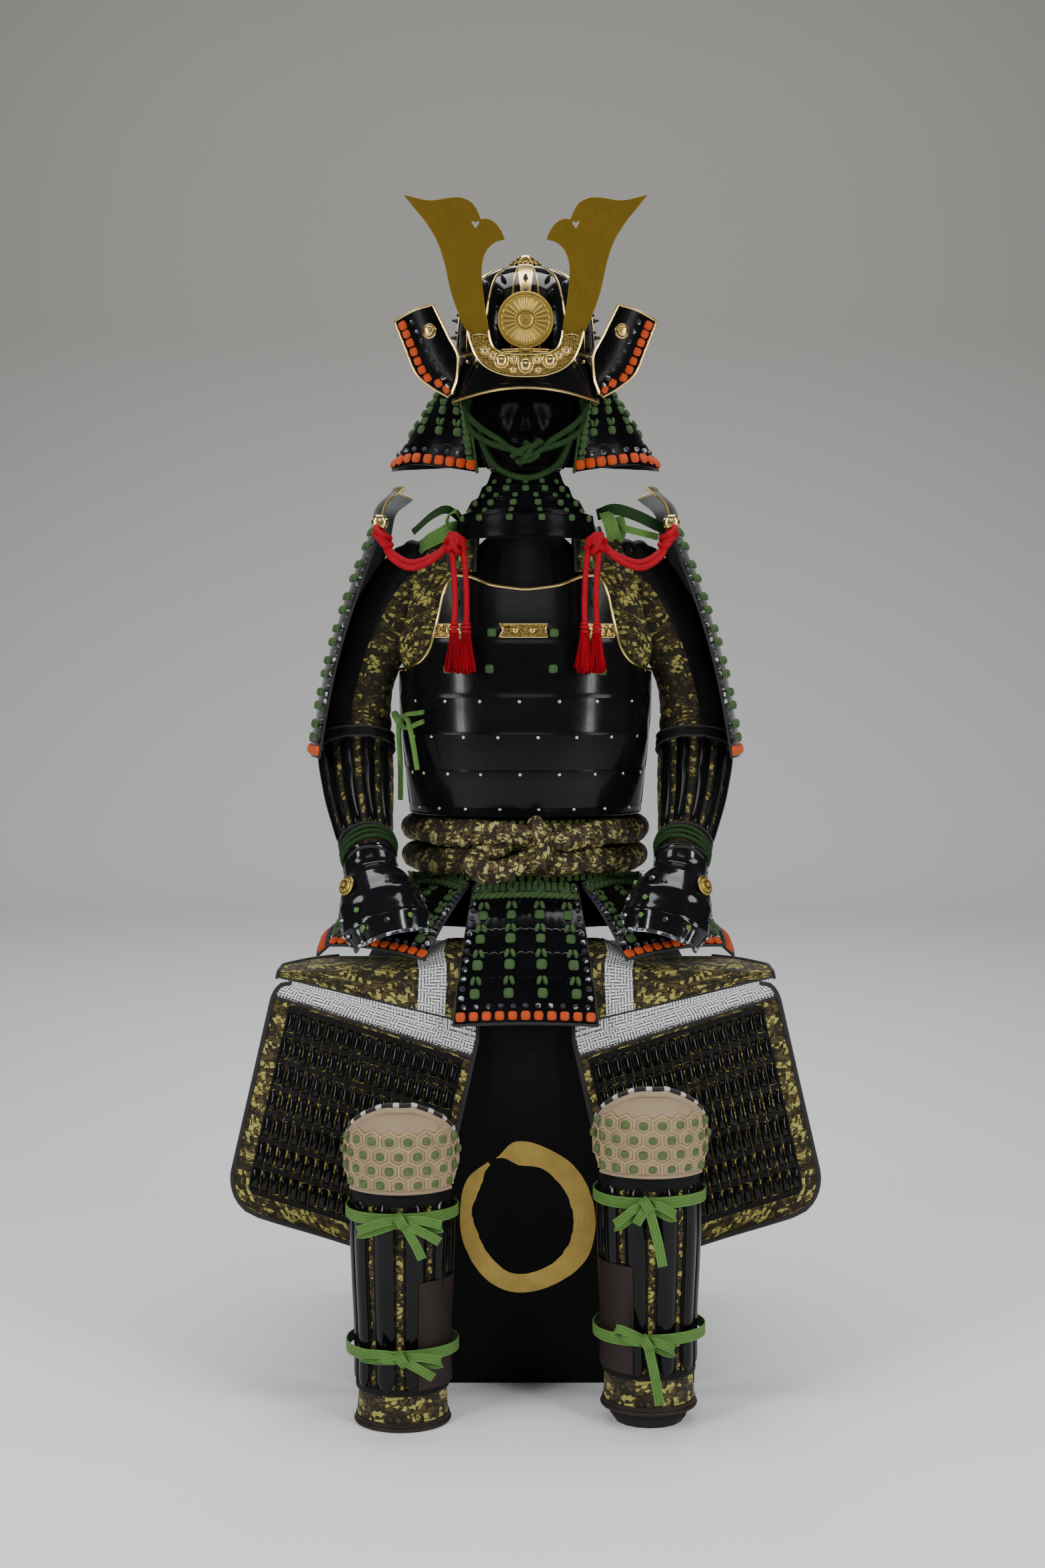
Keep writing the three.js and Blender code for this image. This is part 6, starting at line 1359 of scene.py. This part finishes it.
# ------------------------------------------------------------------ thigh apron
def aprons():
    rv, ru = 0.10, 0.105
    def edge(v):
        v = np.asarray(v, float)
        a = np.clip(1 - v / rv, 0, 1); b = np.clip((v - (1 - rv * 1.6)) / (rv * 1.6), 0, 1)
        return ru * (1 - np.sqrt(1 - a ** 2)) * 0.7 + ru * 1.5 * (1 - np.sqrt(1 - b ** 2))
    for tag, s, _ in SIDES:
        def f(u, v):
            u, v = np.broadcast_arrays(np.asarray(u, float), v)
            e = edge(v); P = apron(s, e + (1 - e) * u, v)
            P[..., 1] += 1.6 * np.sin(u * 9 + v * 4) * smooth(0.1, 0.5, v)
            return P
        sg = 1.0 if on(f, 0.5, 0.5)[2][1] < 0 else -1.0
        m = Mesh(); u, v = np.linspace(0, 1, 81)[:, None], np.linspace(0, 1, 91)[None, :]
        P, X, N = on(f, u + 0 * v, v + 0 * u, sg)
        P = f(u + 0 * v, v + 0 * u)
        wall(m, P, 2.4, N=N, out=0.5 * vnoise(u * 30, v * 30), m=0, m_in=1)
        # over the knee and back along the seat
        rows = [np.array(q) for q in ([(250, -100, 546), (72, -100, 546)], [(314, -183, 546.5), (66, -185, 546)], [(318, -203, 541), (60, -204, 541)], [(320, -204, 532), (62, -224, 456)])]
        def g(u, w):
            u, w = np.broadcast_arrays(np.asarray(u, float), w)
            R = np.array(rows, float) * [s, 1, 1]
            k = np.clip(np.floor(w).astype(int), 0, 2); t = (w - k)[..., None]; U = u[..., None]
            A, B = R[k, 0] + (R[k, 1] - R[k, 0]) * U, R[k + 1, 0] + (R[k + 1, 1] - R[k + 1, 0]) * U
            rise = (13 * np.sin(math.pi * np.clip(w / 2.6, 0, 1)) + 24 * smooth(1.5, 0.0, w)) * smooth(0.60, 0.88, u)
            return A + (B - A) * t + np.array([0, 0, 1.0]) * rise[..., None] + np.array([0, 0, 1.0]) * (1.8 * np.sin(math.pi * t) * (k == 0)[..., None])
        w = np.r_[np.linspace(0, 1.9, 30), np.linspace(1.95, 3, 22)][None, :]
        Q = g(u, w + 0 * u); n = normals(Q); n = n * np.sign(n[40, 10, 2]); wall(m, Q, 2.4, N=n, m=0, m_in=1)
        # piping round the edge
        vv = np.linspace(0, 1, 100); uu = np.linspace(0, 1, 80)
        edge_line = np.vstack([f(1 + 0 * vv, vv), f(uu[::-1], 1 + 0 * uu)[1:], f(0 * vv, vv[::-1])[1:]])
        e = Mesh(); tube(e, edge_line, 3.2, 8)
        tube(e, g(0 * vv, np.linspace(0, 3, 100)), 2.6, 8); tube(e, g(1 + 0 * vv, np.linspace(0, 3, 100)), 2.6, 8)
        e.build("apron_piping_" + tag, M["piping"], slot="black_cloth")
        ob = m.build("apron_cloth_" + tag, [M["broc"], M["black"], M["piping"]], slot="brocade", replaces=("thigh_apron_" + tag,))
        # white printed leather along the knee and one strip running back
        m = Mesh(); ub, vb = np.linspace(0.0, 1, 90)[:, None], np.linspace(-0.005, 0.072, 13)[None, :]
        P, X, N = on(f, np.clip(ub, 0.01, 0.99) + 0 * vb, np.clip(vb, 0.004, 1) + 0 * ub, sg); P = f(ub + 0 * vb, np.clip(vb, 0, 1) + 0 * ub)
        wall(m, P + N * 0.7, 0.6, out=0.5 + 0 * P[..., 0], N=N, m=0)
        wb = np.linspace(2.05, 3, 14)[None, :]; Q = g(ub, wb + 0 * ub); n = normals(Q); n = n * np.sign(-n[40, 8, 1])
        strip = np.linspace(0.70, 0.84, 12)[:, None]; ws = np.linspace(0.02, 3.0, 60)[None, :]
        Q = g(strip + 0 * ws, ws + 0 * strip); n = normals(Q); n = n * np.sign(n[6, 10, 2]); wall(m, Q + n * 0.8, 0.6, out=0.4 + 0 * Q[..., 0], N=n, m=0)
        lowband = np.linspace(2.80, 3.0, 8)[None, :]; Q = g(ub, lowband + 0 * ub); n = normals(Q); n = n * np.sign(-n[45, 4, 1]); wall(m, Q + n * 0.75, 0.6, out=0.4 + 0 * Q[..., 0], N=n, m=0)
        for vv0 in (0.066,):
            us = np.linspace(0.015, 0.985, 62); knot_row(m, pillow(2.9, 2.4, 1.6, 6, 2, 2.2), f, sg, us, vv0, 1.3, 2)
        tube(m, on(f, np.linspace(0.01, 0.99, 90), 0.080, sg, 1.2)[0], 1.5, 6, m=2)
        tube(m, g(np.linspace(0.01, 0.99, 90), 2.79 + np.zeros(90)) + [0, -0.8, 0.8], 1.4, 6, m=2)
        m.build("apron_leather_" + tag, [M["white"], M["green"], M["piping"]], slot="leather")
        # rows of narrow plates sewn to the panel, mail between the rows
        m = Mesh(); rows7 = np.linspace(0.105, 0.905, 8)
        cols = np.linspace(0.115, 0.925, 18)
        for k in range(7):
            vc = (rows7[k] + rows7[k + 1]) / 2; hh = (rows7[k + 1] - rows7[k]) * 290 * 0.5
            shape = pillow(9.6, hh * 1.58, 3.6, 12, 3, 5.0)
            P, X, N = on(f, cols, vc, sg, 1.1)
            Y = on(f, cols, vc + 0.02, sg, 1.1)[0] - P; X = np.cross(unit(Y), N) * 1.0
            stamp(m, shape, P, X, N, 0, 0.97 + 0.05 * hash2(np.arange(18), k))
        for k in range(8):
            b = rows7[k]; uu = np.linspace(0.095, 0.945, 60)[:, None]; v2 = np.linspace(b - 0.0115, b + 0.0115, 4)[None, :]
            P, X, N = on(f, uu + 0 * v2, v2 + 0 * uu, sg, 0.7); wall(m, P, 0.6, out=0.9 + 0.4 * vnoise(uu * 60, v2 * 90), N=N, m=1)
        for e in (0.092, 0.948):
            vv = np.linspace(0.105, 0.905, 80); tube(m, on(f, e + 0 * vv, vv, sg, 0.6)[0], 1.7, 6, m=1)
        for c in (cols[:-1] + cols[1:]) / 2:
            vv = np.linspace(0.11, 0.90, 40); tube(m, on(f, c + 0 * vv, vv, sg, 0.9)[0], 1.15, 5, m=2)
        # the strips between the plate columns take the darker copy of the brocade: painted shade
        m.build("apron_plates_" + tag, [M["row"], M["mail"], M["broc_shaded"]], slot="lacquer")
aprons()


# ------------------------------------------------------------------ shin guards
BOWS = {"R_high": (((-57, -12), (50, -5)), ((45, -24), (24, -45))), "R_low": (((-52, 6), (49, -2)), ((37, -22), (-30, 4))),
        "L_high": (((-42, -24), (34, -12)), ((18, -74), (-14, -22))), "L_low": (((-41, 18), (33, -9)), ((15, -76), (-30, 12)))}
def bow(m, c, key):
    """a flat-braid bow in front of a shin at c: two loops, a knot and two tails"""
    c = np.array(c, float); loops, tails = BOWS[key]
    go = lambda pts: [c + np.array(q, float) for q in pts]
    for x, z in loops:
        l = math.hypot(x, z); e = (-z / l * 0.3, 0.0, abs(x) / l)
        side = np.array([-z, 0, x]) / l * 5.5
        ribbon(m, go([(0, -4, 0), (x * 0.35, -11, z * 0.3 + 5), (x * 0.8, -13, z * 0.85 + 4), (x, -9, z), (x * 0.8, -5, z * 0.85 - 5), (x * 0.35, -4, z * 0.3 - 4), (0, -4, 0)]), 11.0, e)
    for x, z in tails:
        l = math.hypot(x, z)
        ribbon(m, go([(0, -6, 0), (x * 0.25, -11, z * 0.2), (x * 0.7, -12, z * 0.62), (x, -8, z)]), 11.5, (-z / l, 0, x / l))
    ribbon(m, go([(-7, -6, 8), (-3, -13, 4), (2, -13, -4), (6, -6, -8)]), 12, (0.9, 0, 0.5), k=14)

SHIN_BARS = [(-104 + 37.0 * k, -104 + 37.0 * k + 22.9) for k in range(6)]
def shins():
    for tag, s, lift in SIDES:
        f = shin_fn(s, lift)
        deg, z = np.linspace(-155, 155, 125)[:, None], np.linspace(2, 300, 100)[None, :]
        P = f(deg, z + 0 * deg); N = unit(f(deg, z + 0 * deg, 5) - P)
        m = Mesh(); wall(m, P, 2.4, out=0.9 * vnoise(deg / 14, z / 18), N=N, m_in=1)
        dd = np.linspace(-155, 155, 120)
        e = Mesh()
        for zz, r, mi in ((2.6, 3.0, 0), (9.5, 1.2, 0), (46, 1.8, 1), (299, 2.2, 0)):
            tube(e, f(dd, zz + 0 * dd, 0.5), r, 8, m=mi)
        lowdeg = np.linspace(-155, 155, 125)[:, None]; lz = np.linspace(2, 9, 4)[None, :]
        Q = f(lowdeg, lz + 0 * lowdeg); wall(e, Q, 0.5, out=1.6 + 0 * Q[..., 0], N=unit(f(lowdeg, lz + 0 * lowdeg, 5) - Q))
        for side in (-155, 155):
            zz = np.linspace(2, 300, 60); tube(e, f(side + 0 * zz, zz), 2.2, 8, m=2)
        e.build("shin_binding_" + tag, [M["brown"], M["gold"], M["black"]], slot="leather")
        ob = m.build("shin_wrap_" + tag, [M["broc"], M["black"], M["brown"], M["gold"]], slot="brocade", replaces=("shin_cloth_" + tag,))
        m = Mesh()
        for k, (a, b) in enumerate(SHIN_BARS):
            c, h = (a + b) / 2, (b - a) / 2; u = np.linspace(-1, 1, 13)[:, None]; zz = np.linspace(50, 282, 70)[None, :]
            q = (zz - 50) / 232; endw = np.sqrt(np.clip(1 - abs(2 * q - 1) ** 22, 0.03, 1))
            Q = f(c + u * h * endw, zz + 0 * u, 3.2 + 3.2 * (1 - u ** 2) * endw); n = unit(f(c + u * h * endw, zz + 0 * u, 12) - f(c + u * h * endw, zz + 0 * u, 2))
            wall(m, Q, 1.8, N=n, m=0)
            for e in (-1, 1):
                q2 = np.linspace(50, 284, 70); tube(m, f(c + e * (h + 1.8) + 0 * q2, q2, 1.8), 1.3, 5, m=1)
        for a, b, g in ((279, 297, 2.4), (44, 52, 3.0)):
            dg, zz = np.linspace(-108, 108, 90)[:, None], np.linspace(a, b, 6)[None, :]
            Q = f(dg, zz + 0 * dg, g); n = unit(f(dg, zz + 0 * dg, g + 5) - Q); wall(m, Q, 1.2, out=0.6 * np.sin(math.pi * (zz - a) / (b - a)) + 0.3 * vnoise(dg / 3, zz / 3), N=n, m=1)
        # leather where the leg meets the saddle, on the inner side
        inner = -s
        dg = (inner * np.linspace(22, 104, 50))[:, None]; zz = np.linspace(52, 186, 40)[None, :]
        Q = f(dg, zz + 0 * dg, 6.8); n = unit(f(dg, zz + 0 * dg, 12) - Q)
        wall(m, Q, 1.6, out=0.5 * vnoise(dg / 20, zz / 30), N=n, m=2)
        q2 = np.linspace(52, 186, 50); tube(m, f(inner * 22 + 0 * q2, q2, 7.0), 1.1, 6, m=2)
        m.build("shin_bars_" + tag, [M["row"], M["mail"], M["brown"]], slot="lacquer", replaces=("shin_splints_" + tag,))
        paint("shin_base_" + tag, M["black"])
        for zt, name in ((266, "high"), (97, "low")):
            m = Mesh(); dg = np.linspace(0, 360, 120, endpoint=False)
            for j in (-1.5, -0.5, 0.5, 1.5):
                Q = xyz(s * 153 + 69 * np.sin(np.radians(dg)), -324 - 60.5 * np.cos(np.radians(dg)), zt + lift + j * 3.5 + 1.2 * np.sin(np.radians(dg * 2 + 40)))
                tube(m, Q, 2.1, 8, closed=True, up=unit((Q - [s * 153, -324, 0]) * [1, 1, 0]), flat=0.55)
            bow(m, (s * 153 + (4 if s < 0 else -6), -385, zt + lift), tag + "_" + name)
            m.build("shin_cord_" + name + "_" + tag, M["green"], slot="green_silk", replaces=("shin_tie_" + name + "_" + tag,))

def knees():
    for tag, s, lift in SIDES:
        zz = np.linspace(298, 398.5, 110)[None, :]; u = np.linspace(-1, 1, 161)[:, None]
        base = knee(s, lift, u, zz); N = unit(knee(s, lift, u, zz, 5) - base)
        # hexagon quilting laid out by distance round and up the pad
        ang = u * KD(zz); X = ang * math.pi / 180 * 65; Y = zz - 298 + 0 * u
        p = 20.5; rowh = p * 0.866
        r0 = np.round((Y - 11) / rowh); off = np.where(r0 % 2 == 0, 0.0, 0.5)
        best = np.full(X.shape, 1e9); second = best.copy(); cen = np.zeros(X.shape + (2,))
        for dr in (-1, 0, 1):
            r = r0 + dr; o = np.where(r % 2 == 0, 0.0, 0.5)
            c0 = np.round(X / p - o)
            for dc in (-1, 0, 1):
                cx, cy = (c0 + dc + o) * p, r * rowh + 11
                d = np.hypot(X - cx, Y - cy)
                second = np.where(d < best, best, np.minimum(second, d)); cen = np.where((d < best)[..., None], np.stack([cx, cy], -1), cen); best = np.minimum(best, d)
        gap = (second - best) / 2
        quilt = smooth(0, 4.2, gap) * 3.0
        field = smooth(84, 74, Y) * smooth(66, 58, abs(X) * 0.9)
        puff = 2.8 * smooth(101, 84, Y) * smooth(0, 5, Y)
        m = Mesh(); O, _ = wall(m, base, 4.6, out=puff + quilt * field - 0.6 * (1 - field) + 0.5 * vnoise(X / 9, Y / 9), N=N, detail=0.7)
        ob = m.build("knee_quilt_" + tag, M["pad"], slot="leather", replaces=("knee_pad_" + tag,), sharp=0)
        t = Mesh()
        def at(x, y, grow):
            uu = np.asarray(x, float) / (math.pi / 180 * 65) / KD(298 + np.asarray(y, float))
            P = knee(s, lift, uu, 298 + np.asarray(y, float), grow); return P, unit(knee(s, lift, uu, 298 + np.asarray(y, float), grow + 5) - P)
        done = set()
        for r in range(0, 5):
            for c in range(-5, 6):
                cx, cy = (c + (0 if r % 2 == 0 else 0.5)) * p, r * rowh + 11
                if cy > 80 or abs(cx) > KD(298 + cy) * math.pi / 180 * 65 - 4:
                    continue
                P, n = at(np.array([cx]), np.array([cy]), 5.2)
                stamp(t, pillow(10.2, 11.0, 4.4, 12, 4, 3.0), P, [0, 0, 1.0], n, 0, 0.92 + 0.16 * hash2(r, c))
                for q in range(6):
                    a0, a1 = math.radians(60 * q + 30), math.radians(60 * q + 90)
                    R = p / math.sqrt(3)
                    A, B = (cx + R * math.cos(a0), cy + R * math.sin(a0)), (cx + R * math.cos(a1), cy + R * math.sin(a1))
                    key = tuple(sorted([(round(A[0]), round(A[1])), (round(B[0]), round(B[1]))]))
                    if key in done or min(A[1], B[1]) < 1.5 or max(A[1], B[1]) > 86 or max(abs(A[0]), abs(B[0])) > KD(298 + (A[1] + B[1]) / 2) * math.pi / 180 * 65 - 0.5:
                        continue
                    done.add(key); q2 = np.linspace(0, 1, 5)
                    L, _ = at(A[0] + (B[0] - A[0]) * q2, A[1] + (B[1] - A[1]) * q2, 3.9); tube(t, L, 1.25, 6, m=1, caps=False)
        # rolled edge, and the striped binding standing behind the top
        zt = np.linspace(318, 398.5, 70)
        arch = np.vstack([knee(s, lift, -1 + 0 * zt, zt, 1.0), knee(s, lift, np.linspace(-1, 1, 30)[1:-1], 398.5, 1.0), knee(s, lift, 1 + 0 * zt, zt[::-1], 1.0)])
        arch = spline(arch[::6], 150)
        tube(t, arch, 3.6, 8, m=2)
        back = arch.copy(); k = smooth(0, 0.25, np.linspace(0, 1, 150)) * smooth(1, 0.75, np.linspace(0, 1, 150))
        back[:, 1] += 7.5; back[:, 2] += 4.5 * k
        n = len(back)
        for j in range(0, n - 4, 4):
            tube(t, back[j:j + 5], 3.4 if (j // 4) % 3 else 3.6, 8, m=3 if (j // 4) % 3 else 4)
        dd = np.linspace(-1, 1, 80); tube(t, knee(s, lift, dd, 299.0, 1.5), 2.6, 8, m=2)
        t.build("knee_trim_" + tag, [M["knee"], M["tan_line"], M["pad"], M["piping"], M["white_cord"]], slot="green_silk")
M["tan_line"] = silk("tan_thread", (0.52, 0.40, 0.20), braid=4.0)
M["white_cord"] = silk("white_cord", (0.62, 0.60, 0.55), braid=3.0)
shins(); knees()


def cords():
    # chin cord: two passes under the cheeks, tied in front of the chin
    runs = [[(-74, -98, 1282), (-77, -106, 1262), (-68, -130, 1236), (-40, -151, 1218), (0, -161, 1209), (40, -151, 1218), (68, -130, 1236), (77, -106, 1262), (74, -98, 1282)],
            [(-80, -92, 1288), (-79, -110, 1268), (-64, -134, 1246), (-34, -152, 1224), (0, -160, 1201), (34, -152, 1224), (64, -134, 1246), (79, -110, 1268), (80, -92, 1288)],
            [(-62, -118, 1240), (-52, -128, 1212), (-34, -140, 1188), (0, -148, 1176), (34, -140, 1188), (52, -128, 1212), (62, -118, 1240)]]
    for k, pts in enumerate(runs):
        P = spline(pts, 40); m = Mesh(); rope(m, P, 3.9, sides=12, pitch=8.5, depth=0.15)
        ob = m.build("chin_cord_run_%d" % k, M["green_cord"], slot="green_silk", replaces=("chin_cord",) if k == 0 else ())
    m = Mesh()
    for pts in ([(-22, -160, 1214), (-8, -168, 1206), (8, -168, 1204), (22, -160, 1212)], [(-18, -162, 1202), (-4, -170, 1210), (8, -169, 1214), (20, -160, 1222)],
                [(0, -160, 1220), (6, -171, 1210), (0, -171, 1200), (-8, -160, 1194)], [(-12, -162, 1196), (4, -168, 1197), (16, -164, 1204)]):
        rope(m, spline(pts, 16), 4.0, sides=12, pitch=8.5, depth=0.15)
    m.build("chin_knot", M["green_cord"], slot="green_silk")
    # crimson cords: from the strap to the gilt knob, knotted, with two hanging ends each
    for tag, s, _ in SIDES:
        sw = [(98, -122, 1094), (120, -124, 1077), (150, -122, 1068), (176, -117, 1082), (186, -110, 1102), (190, -100, 1114)]
        for j, (dz, dy) in enumerate(((0, 0), (-7.5, -2.5))):
            P = spline([(s * x, y + dy, z + dz * math.sin(math.pi * q / 5)) for q, (x, y, z) in enumerate(sw)], 36)
            m = Mesh(); rope(m, P, 4.3, sides=12, pitch=12, depth=0.07, lobes=4)
            ob = m.build("red_swag_%s_%d" % (tag, j), M["red"], slot="red_silk", replaces=("red_cord_" + tag,) if j == 0 else ())
        k = Mesh()
        for pts in ([(80, -122, 1086), (88, -132, 1096), (98, -132, 1100), (104, -122, 1094)], [(82, -122, 1098), (90, -134, 1094), (100, -132, 1086), (106, -120, 1084)],
                    [(90, -124, 1104), (96, -135, 1096), (92, -134, 1086), (86, -124, 1080)], [(100, -122, 1104), (90, -130, 1102), (82, -128, 1094), (84, -120, 1088)]):
            rope(k, spline([(s * x, y, z) for x, y, z in pts], 16), 4.4, sides=12, pitch=12, depth=0.07, lobes=4)
        kn = k.build("red_knot_" + tag, M["red"], slot="red_silk")
        k = Mesh()
        for pts in ([(178, -108, 1100), (188, -120, 1104), (196, -116, 1112), (192, -104, 1118)], [(182, -116, 1094), (192, -120, 1100), (198, -112, 1106)], [(176, -112, 1092), (184, -121, 1090), (190, -116, 1098), (186, -106, 1106)]):
            rope(k, spline([(s * x, y, z) for x, y, z in pts], 16), 4.2, sides=12, pitch=12, depth=0.07, lobes=4)
        k.build("red_wrap_" + tag, M["red"], slot="red_silk")
        for j, x in enumerate((78.0, 93.0)):
            P = spline([(s * (x + 4), -126, 1086), (s * (x + 1), -132, 1062), (s * (x - 1), -135, 1022), (s * (x + (0 if j else -1)), -142, 988)], 30)
            m = Mesh(); rope(m, P, 3.9, sides=12, pitch=12, depth=0.07, lobes=4)
            ob = m.build("red_fall_%s_%d" % (tag, j), M["red"], slot="red_silk")
            t = Mesh(); c = P[-1]; nf = 130
            for q, (z, r) in enumerate(((0, 5.6), (-4.5, 6.3), (-10, 6.0))):
                ring = np.array([[c[0] + r * 0.62 * math.cos(a), c[1] + r * 0.62 * math.sin(a), c[2] + z] for a in np.linspace(0, T2, 24, endpoint=False)]); tube(t, ring, r * 0.42, 8, closed=True, m=0)
            a = np.arange(nf) * 2.399963; rad_ = np.sqrt((np.arange(nf) + 0.5) / nf)
            L0 = 58.0
            for q in range(nf):
                top = c + [4.2 * rad_[q] * math.cos(a[q]), 3.6 * rad_[q] * math.sin(a[q]), -8.0]
                e = hash2(q, j + (5 if s > 0 else 0)) - 0.5; g = hash2(q, j, 3) - 0.5
                bot = c + [13.0 * rad_[q] * math.cos(a[q]) + 2.5 * e, 8.5 * rad_[q] * math.sin(a[q]) + 1.5 * g, -8.0 - L0 * (0.93 + 0.16 * e - 0.05 * rad_[q])]
                mid = top * 0.5 + bot * 0.5 + [-1.2 * rad_[q] * math.cos(a[q]) + 1.5 * e, 1.5 * g, 0.0]
                tube(t, spline([top, mid, bot], 7), [1.25, 1.3, 1.35, 1.35, 1.3, 1.25, 1.0], 5, m=1)
            tas = t.build("tassel_%s_%d" % (tag, j), [M["red"], M["fringe"]], slot="red_silk")
        # flat green ribbons tied over the shoulder
        k = Mesh()
        if s < 0:
            ribbon(k, [(-82, -70, 1116), (-96, -84, 1114), (-110, -86, 1107), (-128, -80, 1098), (-140, -70, 1090)], 20, (0.35, 0, 1.0), 6, mi=1)
            ribbon(k, [(-84, -66, 1124), (-92, -84, 1136), (-103, -86, 1130), (-103, -84, 1116), (-94, -84, 1110), (-84, -76, 1114)], 14, (0.2, 1.0, 0.2), 5, mi=1)
            ribbon(k, [(-86, -60, 1128), (-104, -76, 1140), (-124, -78, 1132), (-150, -72, 1110)], 12, (0.3, 0.5, 1.0), 5)
        else:
            ribbon(k, [(96, -60, 1134), (118, -80, 1140), (146, -84, 1132), (176, -80, 1118), (192, -70, 1112)], 15, (-0.2, 0.1, 1.0), 6)
            ribbon(k, [(106, -76, 1136), (112, -88, 1122), (116, -90, 1106), (120, -84, 1100), (125, -82, 1112), (122, -76, 1130)], 18, (1.0, 0, 0.1), 6, mi=1)
            ribbon(k, [(118, -78, 1118), (136, -88, 1113), (156, -88, 1108), (176, -84, 1103)], 9, (-0.1, 0, 1.0), 4, mi=1)
        k.build("shoulder_ribbon_" + tag, [M["green_cord"], M["green"]], slot="green_silk")
        # brocade of the sleeve's yoke, seen in the arm opening
        u, v = np.linspace(0, 1, 50)[:, None], np.linspace(0, 1, 90)[None, :]
        z = 1104 - 182 * v + 0 * u; xi = pchip([918, 938, 956, 990, 1024, 1052, 1075, 1108], [128, 124, 112, 104, 97, 84, 68, 60]); xo = pchip([918, 940, 960, 1000, 1050, 1108], [158, 167, 170, 160, 148, 122])
        x = xi(z) + (xo(z) - xi(z)) * u
        fold = 3.2 * np.sin(u * 8.5 + v * 5.0 + 1.5 * vnoise(u * 2, v * 3)) + 1.6 * np.sin(u * 17 - v * 9 + 2 * vnoise(u * 3, v * 4 + 7))
        P = xyz(s * x, -82 + 26 * u ** 1.5 + 20 * smooth(0.75, 1.0, 1 - v) - fold * smooth(0, 0.15, u) - 5 * np.sin(math.pi * u) * (1 - v), z)
        n = normals(P); n = n * np.sign(-n[25, 45, 1])
        m = Mesh(); wall(m, P, 1.6, N=n, m_in=1)
        yk = m.build("sleeve_yoke_" + tag, [M["broc"], M["black"]], slot="brocade")
    # tie at the side opening
    side = [(-169, -52, 752), (-169, -52, 800), (-171, -54, 846), (-167, -72, 864), (-157, -97, 862), (-149, -111, 832), (-143, -117, 796)]
    P = spline(side, 40); m = Mesh(); tube(m, P, 3.6, 10, flat=0.55, up=[0.3, -1.0, 0.2])
    ob = m.build("side_tie_cord", M["green"], slot="green_silk", replaces=("side_tie",))
    m = Mesh()
    for pts in ([(-172, -56, 862), (-160, -88, 868), (-146, -106, 870), (-134, -118, 872)], [(-172, -56, 858), (-158, -92, 850), (-144, -110, 856), (-134, -120, 860)]):
        tube(m, spline(pts, 20), 3.4, 10, flat=0.5, up=[0.3, -1.0, 0.3])
    tube(m, spline([(-176, -56, 868), (-172, -68, 862), (-168, -62, 852)], 12), 5.0, 10)
    m.build("side_tie_bow", M["green"], slot="green_silk")
cords()
